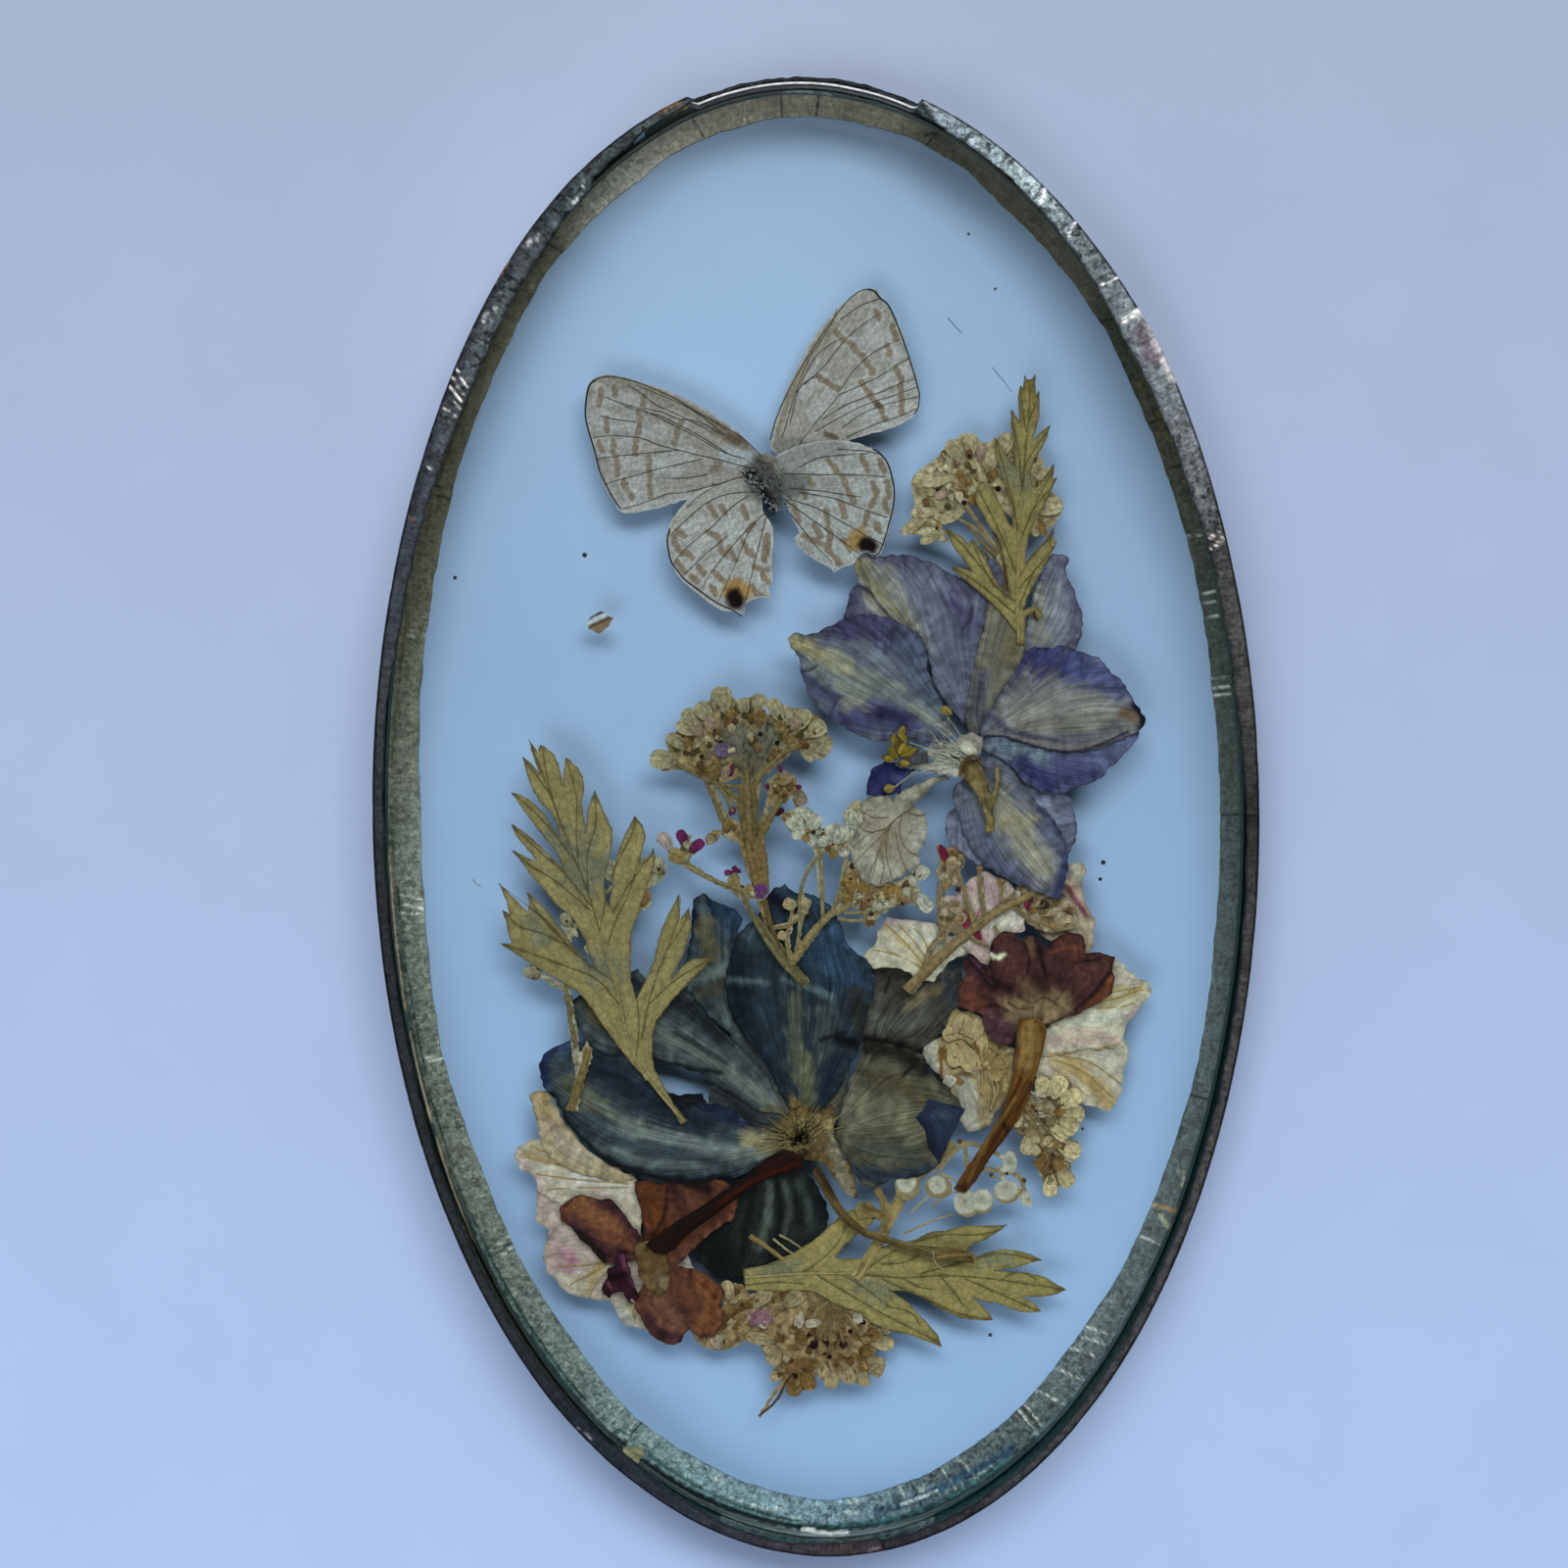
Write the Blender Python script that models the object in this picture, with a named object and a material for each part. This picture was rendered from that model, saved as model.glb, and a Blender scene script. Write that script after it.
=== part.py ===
"""Pressed flower frame.

Two oval panes of clear glass hold a loose layer of pressed flowers, leaves and a small
butterfly. One length of soft metal foil tape binds the rim, folded over both panes. The frame
lies on its back: +Z is the side it is looked at from, +Y is the long way up, +X is right, and
the origin is in the middle of the oval, on the surface that the frame lies on.
"""
import math

import bpy
import numpy as np
from mathutils import Vector, geometry

# ---- Driving dimensions, in metres ----
LENGTH = 0.1518            # over the tape, the long way
WIDTH = 0.0905             # over the tape, the short way
LEAN = 0.0015              # how far the hand-cut oval's ends lean, left at the top, right below
GLASS = 0.0020             # thickness of one pane
POCKET = 0.0026            # between the panes, where the pressed pieces lie
TAPE = 0.00025             # thickness of the foil
GAP = 0.00015              # left between the foil and the panes
PILE_GAP = 0.00012         # left between pressed pieces that lie on each other
TAPE_BEVEL = 0.0004        # the foil's rounding over the rim
BACK_FLAP = 0.0036         # how far the foil is folded over the back pane, on average
BACK_FLAP_WAVE = 0.0004    # and how much that varies round the rim
FRONT_FLAPS = (            # degrees round the rim from +X, and the front fold's width there
    (0, 0.0016), (40, 0.0019), (75, 0.0022), (104, 0.0019), (125, 0.0024),
    (150, 0.0021), (200, 0.0020), (240, 0.0016), (262, 0.0012), (300, 0.0014), (340, 0.0015),
)
RIM_STATIONS = 64          # places round the rim where the foil's section stands

PETAL = 0.00009            # thicknesses of the pressed pieces
LEAF = 0.00012
FLORET = 0.00020
STALK = 0.00032

BACK_GLASS_BASE = TAPE + GAP
PILE_BASE = BACK_GLASS_BASE + GLASS
FRONT_GLASS_BASE = PILE_BASE + POCKET
THICKNESS = FRONT_GLASS_BASE + GLASS + GAP + TAPE

# The pressed pieces are set out on a sheet marked about ten to the millimetre, x to the right
# and y down, which lies on the back pane. Every outline below is a list of marks on it.
SHEET_UNIT = 0.0001014
SHEET_MIDDLE = (831.2, 830.4)     # the mark under the middle of the oval
CELL = 2.5                        # marks to a cell, where the height of the pile is kept
MERGE = 0.25                      # marks: nearer points of crossing outlines become one

# Colours as the dried pieces show them
FOIL = (0.30, 0.31, 0.30)
CLEAR = (0.80, 0.90, 0.90)
WING = (0.42, 0.36, 0.27)
HAIR = (0.10, 0.10, 0.10)
SPAR = (0.35, 0.28, 0.20)
OLIVE = (0.33, 0.27, 0.09)
STRAW = (0.45, 0.32, 0.14)
VIOLET = (0.16, 0.16, 0.34)
MAUVE = (0.28, 0.24, 0.38)
INDIGO = (0.05, 0.04, 0.22)
GREY_OLIVE = (0.24, 0.23, 0.17)
CLAW = (0.52, 0.50, 0.42)
ANTHER = (0.40, 0.26, 0.05)
BROWN = (0.22, 0.13, 0.04)
BLUSH = (0.55, 0.48, 0.40)
SLATE = (0.06, 0.09, 0.14)
NAVY = (0.02, 0.03, 0.12)
OCHRE = (0.30, 0.20, 0.08)
CREAM = (0.66, 0.60, 0.42)
PEACH = (0.62, 0.47, 0.28)
MAROON = (0.13, 0.03, 0.03)
RUST = (0.22, 0.08, 0.02)
PLUM = (0.07, 0.01, 0.05)


# ---- The rim ----

def rim_point(angle, inset=0.0):
    """A point of the hand-cut oval, moved inwards by inset along the rim's own normal.

    The oval is x = a cos t - lean (sin t + sin^3 t) / 2, y = b sin t.
    """
    half_x, half_y = WIDTH / 2, LENGTH / 2
    sine, cosine = math.sin(angle), math.cos(angle)
    x = half_x * cosine - LEAN * (sine + sine ** 3) / 2
    y = half_y * sine
    along_x = -half_x * sine - LEAN * (cosine + 3 * sine ** 2 * cosine) / 2
    along_y = half_y * cosine
    length = math.hypot(along_x, along_y)
    return x - inset * along_y / length, y + inset * along_x / length


def rim_angles(count):
    return [2 * math.pi * step / count for step in range(count)]


def front_flap(angle):
    """Width of the foil's front fold, between the places in FRONT_FLAPS."""
    degrees, widths = zip(*FRONT_FLAPS)
    return float(np.interp(math.degrees(angle), degrees + (360,), widths + widths[:1]))


def back_flap(angle):
    """Width of the foil's back fold: wider on the left than on the right."""
    return BACK_FLAP - BACK_FLAP_WAVE * math.cos(angle + 0.4) + 0.0002 * math.sin(5 * angle)


def foil_section(angle):
    """The foil's section as (inset from the rim, height), a U lying open to the inside."""
    top, bevel = THICKNESS, TAPE_BEVEL
    back, front = back_flap(angle), front_flap(angle)
    return [
        (bevel, 0), (back, 0), (back, TAPE), (TAPE, TAPE),
        (TAPE, top - TAPE), (front, top - TAPE), (front, top),
        (bevel, top), (0, top - bevel), (0, bevel),
    ]


# ---- Making objects ----

def material(name, colour, roughness=0.75, metallic=0.0, transmission=0.0):
    finish = bpy.data.materials.new(name)
    finish.use_nodes = True
    shader = finish.node_tree.nodes["Principled BSDF"]
    shader.inputs["Base Color"].default_value = (*colour, 1.0)
    shader.inputs["Roughness"].default_value = roughness
    shader.inputs["Metallic"].default_value = metallic
    shader.inputs["Transmission Weight"].default_value = transmission
    return finish


def add_object(name, vertices, faces, finish):
    mesh = bpy.data.meshes.new(name)
    mesh.from_pydata(vertices, [], faces)
    mesh.update()
    mesh.materials.append(finish)
    piece = bpy.data.objects.new(name, mesh)
    bpy.context.scene.collection.objects.link(piece)
    return piece


def ring_faces(rings, around):
    """Faces between neighbouring rings, the last of which joins the first."""
    faces = []
    for ring in range(rings):
        here, there = ring * around, (ring + 1) % rings * around
        for point in range(around):
            after = (point + 1) % around
            faces.append((here + point, here + after, there + after, there + point))
    return faces


def prism(name, outline, bottom, top, finish):
    """A closed solid between two heights over one counter-clockwise outline."""
    count = len(outline)
    vertices = [(x, y, bottom) for x, y in outline] + [(x, y, top) for x, y in outline]
    faces = [tuple(reversed(range(count))), tuple(range(count, 2 * count))]
    for point in range(count):
        after = (point + 1) % count
        faces.append((point, after, count + after, count + point))
    return add_object(name, vertices, faces, finish)


# ---- Outlines on the layout sheet ----

def strip(points, start, end=None):
    """Outline of a stem: a band along the points, its width running from start to end."""
    path = np.array(points, dtype=float)
    along = np.gradient(path, axis=0)
    along /= np.linalg.norm(along, axis=1)[:, None]
    across = np.column_stack((-along[:, 1], along[:, 0]))
    half = np.linspace(start, start if end is None else end, len(path))[:, None] / 2
    left, right = path + across * half, path - across * half
    return [tuple(mark) for mark in np.vstack((left, right[::-1]))]


def disc(x, y, radius, long=None, turn=0.0, sides=10):
    """Outline of a round bud or petal, or of an oval one whose longer half-width is long."""
    outline = []
    for step in range(sides):
        angle = 2 * math.pi * step / sides
        u, v = radius * math.cos(angle), (long or radius) * math.sin(angle)
        outline.append((x + u * math.cos(turn) - v * math.sin(turn),
                        y + u * math.sin(turn) + v * math.cos(turn)))
    return outline


def inside(points, outline):
    """Which of the points lie within the outline, by counting crossings to their right."""
    x, y = points[:, 0], points[:, 1]
    crossings = np.zeros(len(points), dtype=int)
    corners = np.array(outline)
    for (x1, y1), (x2, y2) in zip(corners, np.roll(corners, -1, axis=0)):
        spans = (y1 > y) != (y2 > y)
        if y1 != y2:
            crossings += spans & (x < x1 + (y - y1) * (x2 - x1) / (y2 - y1))
    return crossings % 2 == 1


def inside_any(points, outlines):
    return np.any([inside(points, outline) for outline in outlines], axis=0)


def triangulate(marks, edges, faces, outlines):
    """Triangles over the marks that lie within the outlines, with the edges kept."""
    found = geometry.delaunay_2d_cdt([Vector(mark) for mark in marks], edges, faces, 0, MERGE)
    marks, triangles = np.array(found[0]), np.array(found[2])
    kept = triangles[inside_any(marks[triangles].mean(axis=1), outlines)]
    return marks, kept


def border(triangles):
    """The edges that only one triangle has, in that triangle's direction."""
    directed = {(int(a), int(b)) for tri in triangles for a, b in zip(tri, np.roll(tri, -1))}
    return [edge for edge in directed if edge[::-1] not in directed]


def merged(outlines):
    """Marks and triangles of the one flat shape that overlapping outlines cover together."""
    starts = np.cumsum([0] + [len(outline) for outline in outlines])
    faces = [list(range(start, stop)) for start, stop in zip(starts, starts[1:])]
    marks = [mark for outline in outlines for mark in outline]
    marks, triangles = triangulate(marks, [], faces, outlines)
    edges = sorted(border(triangles))
    used = sorted({point for edge in edges for point in edge})
    place = {point: index for index, point in enumerate(used)}
    edges = [(place[a], place[b]) for a, b in edges]
    return triangulate(marks[used], edges, [], outlines)


# ---- The pile of pressed pieces ----

class Pile:
    """The pressed pieces, laid down one on another from the back pane to the front."""

    def __init__(self):
        across = int(WIDTH / SHEET_UNIT / CELL) + 2
        along = int(LENGTH / SHEET_UNIT / CELL) + 2
        self.left = SHEET_MIDDLE[0] - across * CELL / 2
        self.top = SHEET_MIDDLE[1] - along * CELL / 2
        columns, rows = np.meshgrid(np.arange(across), np.arange(along))
        self.cells = np.column_stack((self.left + columns.ravel() * CELL,
                                      self.top + rows.ravel() * CELL))
        self.shape = columns.shape
        self.height = np.full(self.shape, PILE_BASE)

    def footprint(self, outlines):
        """The cells under a piece, with the cells next to them."""
        under = inside_any(self.cells, outlines).reshape(self.shape)
        for axis in (0, 1):
            under = under | np.roll(under, 1, axis) | np.roll(under, -1, axis)
        return under

    def lay(self, name, colour, thickness, outlines):
        """Lay a flat piece on whatever is already there under it."""
        under = self.footprint(outlines)
        bottom = self.height[under].max() + PILE_GAP
        self.height[under] = bottom + thickness
        marks, triangles = merged(outlines)
        count = len(marks)
        x = (marks[:, 0] - SHEET_MIDDLE[0]) * SHEET_UNIT
        y = (SHEET_MIDDLE[1] - marks[:, 1]) * SHEET_UNIT
        low, high = np.full(count, bottom), np.full(count, bottom + thickness)
        vertices = np.vstack((np.column_stack((x, y, low)), np.column_stack((x, y, high))))
        faces = [tuple(tri) for tri in triangles.tolist()]
        faces += [tuple(count + point for point in reversed(tri)) for tri in triangles.tolist()]
        faces += [(b, a, count + a, count + b) for a, b in border(triangles)]
        return add_object(name, vertices.tolist(), faces, material(name, colour))


# ---- The pressed pieces: each is (colour, thickness, outlines) ----

def butterfly():
    left_fore = [
        (777, 462), (767, 454), (758, 443), (741, 430), (721, 416), (697, 403), (673, 393),
        (653, 387), (636, 382), (620, 380), (607, 382), (600, 387), (597, 398), (596, 412),
        (598, 428), (602, 446), (606, 462), (611, 482), (618, 499), (626, 512), (634, 521),
        (653, 520), (673, 516), (692, 510), (715, 503), (745, 496), (770, 488),
    ]
    right_fore = [
        (786, 455), (791, 431), (797, 414), (804, 392), (814, 373), (826, 348), (838, 331),
        (850, 317), (863, 304), (875, 296), (888, 291), (895, 292), (901, 303), (908, 309),
        (914, 319), (920, 332), (925, 348), (930, 365), (935, 380), (938, 395), (939, 411),
        (934, 421), (926, 427), (909, 435), (889, 440), (867, 447), (848, 453), (824, 460),
        (800, 468),
    ]
    left_hind = [
        (772, 486), (750, 487), (736, 492), (716, 498), (702, 508), (692, 519), (685, 529),
        (680, 543), (680, 558), (684, 570), (690, 584), (702, 597), (717, 609), (734, 621),
        (750, 624), (758, 627), (761, 614), (775, 609), (787, 609), (784, 600), (788, 592),
        (787, 572), (789, 548), (787, 533), (780, 524), (777, 505),
    ]
    right_hind = [
        (786, 468), (807, 456), (824, 451), (848, 448), (872, 450), (887, 455), (899, 463),
        (908, 475), (912, 490), (913, 504), (911, 519), (909, 533), (905, 548), (900, 563),
        (896, 568), (884, 562), (878, 565), (870, 575), (860, 578), (852, 583), (843, 576),
        (831, 570), (816, 558), (810, 548), (816, 543), (813, 535), (808, 526), (803, 514),
        (797, 498),
    ]
    body = [
        (760, 481), (768, 473), (776, 462), (788, 464), (797, 480), (799, 500), (795, 519),
        (788, 521), (781, 507), (773, 494), (764, 486),
    ]
    scrap = [(612, 622), (625, 630), (620, 637), (610, 646), (599, 640), (600, 631)]
    return {
        "butterfly_left_forewing": (WING, PETAL, [left_fore]),
        "butterfly_right_forewing": (WING, PETAL, [right_fore]),
        "butterfly_left_hindwing": (WING, PETAL, [left_hind]),
        "butterfly_right_hindwing": (WING, PETAL, [right_hind]),
        "butterfly_body": (HAIR, FLORET, [body]),
        "wing_scrap": (SPAR, PETAL, [scrap]),
    }


def violet_flower():
    upper_left = [
        (874, 568), (900, 566), (923, 565), (944, 570), (964, 580), (980, 589), (992, 582),
        (1005, 567), (1018, 573), (1025, 590), (1023, 606), (1013, 618), (1008, 632),
        (1003, 645), (1000, 665), (996, 700), (984, 738), (970, 722), (956, 700), (945, 662),
        (925, 640), (898, 636), (861, 634), (864, 618), (868, 604), (874, 595), (877, 588),
        (871, 579),
    ]
    left = [
        (803, 650), (811, 646), (823, 648), (841, 641), (859, 632), (877, 627), (898, 628),
        (918, 635), (936, 645), (945, 660), (947, 684), (957, 707), (966, 725), (975, 748),
        (962, 760), (940, 757), (918, 755), (900, 757), (875, 750), (859, 740), (844, 730),
        (831, 717), (823, 702), (818, 686), (814, 668), (807, 660),
    ]
    upper_right = [
        (1075, 562), (1093, 566), (1093, 571), (1089, 578), (1095, 594), (1100, 607),
        (1105, 622), (1107, 635), (1105, 648), (1100, 661), (1085, 675), (1055, 690),
        (1036, 680), (1045, 650), (1052, 622), (1058, 600), (1066, 580),
    ]
    centre = [
        (1012, 613), (1030, 602), (1046, 606), (1046, 640), (1046, 668), (1041, 684),
        (1028, 703), (1013, 730), (1003, 750), (990, 752), (986, 730), (992, 692), (998, 665),
        (1004, 643),
    ]
    right = [
        (1046, 667), (1057, 660), (1072, 661), (1087, 659), (1103, 666), (1121, 672),
        (1131, 684), (1144, 694), (1152, 707), (1158, 718), (1165, 727), (1168, 733),
        (1164, 744), (1149, 753), (1128, 762), (1103, 767), (1080, 767), (1057, 762),
        (1034, 754), (1011, 750), (1000, 754), (1003, 738), (1013, 718), (1025, 698),
        (1038, 682),
    ]
    right_lower = [
        (995, 761), (1010, 752), (1035, 756), (1060, 763), (1100, 765), (1135, 757),
        (1164, 744), (1159, 756), (1149, 768), (1134, 782), (1121, 795), (1103, 802),
        (1085, 808), (1069, 809), (1054, 803), (1041, 795), (1031, 782), (1013, 771),
    ]
    lower = [
        (974, 803), (984, 794), (993, 782), (1003, 770), (1018, 774), (1031, 782), (1044, 799),
        (1057, 817), (1072, 832), (1082, 848), (1089, 866), (1090, 884), (1087, 900),
        (1083, 917), (1070, 914), (1054, 908), (1034, 900), (1016, 890), (998, 876),
        (985, 855), (979, 835), (973, 817),
    ]
    lower_back = [
        (1040, 790), (1070, 804), (1088, 808), (1094, 818), (1096, 829), (1100, 847),
        (1096, 862), (1089, 876), (1060, 876), (1030, 880), (998, 882), (985, 872), (970, 860),
        (965, 847), (969, 829), (990, 815), (1015, 800),
    ]
    small = [
        (885, 811), (885, 799), (889, 787), (900, 778), (914, 779), (925, 783), (935, 786),
        (923, 795), (919, 809), (903, 812),
    ]
    heart = [
        (950, 756), (966, 760), (980, 752), (992, 748), (1003, 752), (1001, 766), (990, 777),
        (981, 793), (962, 791), (945, 786), (928, 785), (940, 778), (952, 777), (946, 766),
    ]
    spur = [
        (981, 779), (990, 775), (999, 775), (1003, 787), (1008, 800), (1012, 817), (1015, 848),
        (1005, 849), (1003, 826), (995, 810), (984, 795),
    ]
    twig = strip([(1018, 782), (1016, 806), (1008, 828)], 5, 8)
    anthers = [
        disc(921, 750, 4, 9, turn=0.2), disc(914, 757, 4, 9, turn=-0.5),
        disc(923, 764, 4, 9, turn=-0.6), disc(909, 772, 4, 10, turn=1.5),
        disc(914, 768, 4, 9, turn=-0.9), disc(931, 771, 4, 9, turn=0.9),
        disc(922, 780, 4, 9, turn=1.6),
    ]
    filaments = [
        [(916, 758), (925, 762), (932, 768), (946, 768), (947, 778), (930, 782), (917, 776)],
    ]
    return {
        "violet_upper_left_petal": (VIOLET, PETAL, [upper_left]),
        "violet_left_petal": (VIOLET, PETAL, [left]),
        "violet_upper_right_petal": (MAUVE, PETAL, [upper_right]),
        "violet_centre_petal": (GREY_OLIVE, PETAL, [centre]),
        "violet_right_petal": (VIOLET, PETAL, [right]),
        "violet_right_lower_petal": (INDIGO, PETAL, [right_lower]),
        "violet_lower_petal": (VIOLET, PETAL, [lower]),
        "violet_lower_back_petal": (MAUVE, PETAL, [lower_back]),
        "violet_small_petal": (INDIGO, PETAL, [small]),
        "violet_heart": (CLAW, PETAL, [heart]),
        "violet_spur": (BROWN, FLORET, [spur, twig]),
        "violet_stamens": (ANTHER, PETAL, anthers + filaments),
    }


def pale_petal():
    blade = [
        (885, 814), (879, 825), (881, 837), (873, 848), (867, 866), (871, 881), (878, 891),
        (885, 901), (895, 904), (911, 899), (926, 891), (939, 881), (938, 871), (944, 858),
        (946, 845), (945, 832), (936, 824), (930, 820), (942, 811), (955, 800), (970, 795),
        (966, 789), (948, 796), (930, 803), (917, 809), (912, 820), (908, 808), (895, 810),
    ]
    return {"pale_petal": (BLUSH, PETAL, [blade])}


def leaves():
    top = [
        (1037, 658), (1037, 645), (1031, 636), (1019, 622), (1003, 606), (985, 591),
        (971, 578), (980, 578), (993, 583), (985, 572), (975, 560), (968, 547), (964, 538),
        (974, 542), (984, 549), (990, 555), (992, 549), (999, 557), (1006, 570), (1013, 584),
        (1022, 598), (1030, 610), (1031, 606), (1029, 590), (1025, 570), (1020, 550),
        (1011, 537), (1003, 523), (996, 510), (997, 500), (1001, 490), (1010, 494),
        (1019, 508), (1028, 528), (1033, 537), (1034, 525), (1030, 505), (1025, 490),
        (1019, 472), (1016, 456), (1015, 443), (1021, 453), (1028, 464), (1036, 474),
        (1036, 452), (1033, 435), (1032, 415), (1037, 423), (1042, 430), (1040, 412),
        (1040, 400), (1042, 392), (1045, 396), (1046, 381), (1049, 386), (1054, 386),
        (1057, 380), (1058, 403), (1061, 397), (1062, 410), (1060, 430), (1054, 448),
        (1063, 440), (1073, 432), (1069, 446), (1063, 458), (1057, 466), (1053, 488),
        (1057, 498), (1067, 485), (1077, 471), (1075, 487), (1080, 486), (1074, 498),
        (1066, 514), (1059, 526), (1053, 540), (1048, 562), (1047, 576), (1053, 565),
        (1063, 556), (1077, 537), (1072, 556), (1078, 557), (1068, 574), (1058, 592),
        (1050, 607), (1045, 622), (1055, 618), (1062, 622), (1065, 628), (1060, 632),
        (1056, 624), (1047, 629), (1046, 657),
    ]
    left = [
        (695, 1148), (686, 1133), (676, 1117), (662, 1104), (647, 1088), (635, 1073),
        (618, 1050), (605, 1031), (592, 1015), (573, 1003), (554, 991), (532, 977), (509, 962),
        (522, 963), (519, 953), (516, 939), (512, 928), (520, 933), (516, 918), (509, 901),
        (520, 912), (532, 924), (539, 931), (540, 921), (537, 909), (547, 918), (558, 929),
        (570, 945), (581, 961), (592, 973), (606, 987), (602, 975), (592, 950), (581, 934),
        (567, 923), (557, 910), (540, 891), (530, 877), (520, 866), (532, 872), (549, 880),
        (540, 869), (527, 853), (521, 840), (535, 849), (549, 861), (565, 877), (576, 888),
        (567, 869), (554, 853), (538, 832), (521, 808), (535, 813), (551, 826), (571, 855),
        (564, 832), (551, 818), (540, 797), (533, 772), (543, 780), (551, 790), (544, 772),
        (539, 753), (549, 768), (551, 759), (565, 770), (571, 783), (574, 800), (577, 772),
        (589, 783), (596, 797), (594, 818), (598, 852), (600, 826), (607, 806), (618, 832),
        (625, 848), (623, 869), (618, 891), (617, 912), (622, 926), (624, 905), (629, 875),
        (637, 853), (648, 832), (658, 848), (656, 867), (652, 882), (660, 878), (667, 865),
        (668, 878), (662, 899), (653, 929), (645, 950), (644, 972), (644, 999), (649, 1019),
        (659, 999), (667, 980), (672, 958), (679, 939), (693, 912), (694, 938), (703, 926),
        (705, 942), (699, 969), (686, 997), (705, 980), (729, 977), (713, 993), (694, 1012),
        (678, 1031), (668, 1047), (666, 1069), (668, 1090), (678, 1109), (689, 1128),
        (701, 1143),
    ]
    bottom = [
        (758, 1297), (760, 1319), (793, 1320), (830, 1321), (842, 1327), (856, 1335),
        (876, 1342), (890, 1353), (910, 1361), (927, 1365), (944, 1371), (962, 1377),
        (958, 1366), (949, 1355), (939, 1345), (929, 1334), (915, 1323), (906, 1319),
        (927, 1321), (942, 1326), (954, 1335), (968, 1342), (983, 1348), (1000, 1350),
        (1015, 1350), (1009, 1341), (1000, 1332), (992, 1325), (1007, 1331), (1022, 1333),
        (1037, 1340), (1051, 1342), (1064, 1341), (1056, 1332), (1045, 1326), (1061, 1326),
        (1076, 1324), (1090, 1319), (1080, 1313), (1068, 1306), (1053, 1302), (1034, 1300),
        (1017, 1299), (1036, 1296), (1051, 1292), (1065, 1288), (1051, 1282), (1029, 1277),
        (1010, 1280), (995, 1285), (988, 1280), (990, 1275), (1007, 1267), (1020, 1259),
        (1029, 1252), (1008, 1253), (988, 1253), (964, 1258), (949, 1260), (937, 1266),
        (922, 1271), (905, 1273), (893, 1278), (884, 1285), (866, 1287), (853, 1286),
        (862, 1274), (876, 1262), (889, 1252), (898, 1238), (886, 1227), (873, 1236),
        (859, 1242), (846, 1254), (834, 1265), (817, 1276), (800, 1285), (778, 1294),
    ]
    return {
        "leaf_top": (OLIVE, LEAF, [top]),
        "leaf_left": (OLIVE, LEAF, [left]),
        "leaf_bottom": (OLIVE, LEAF, [bottom]),
    }


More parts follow.
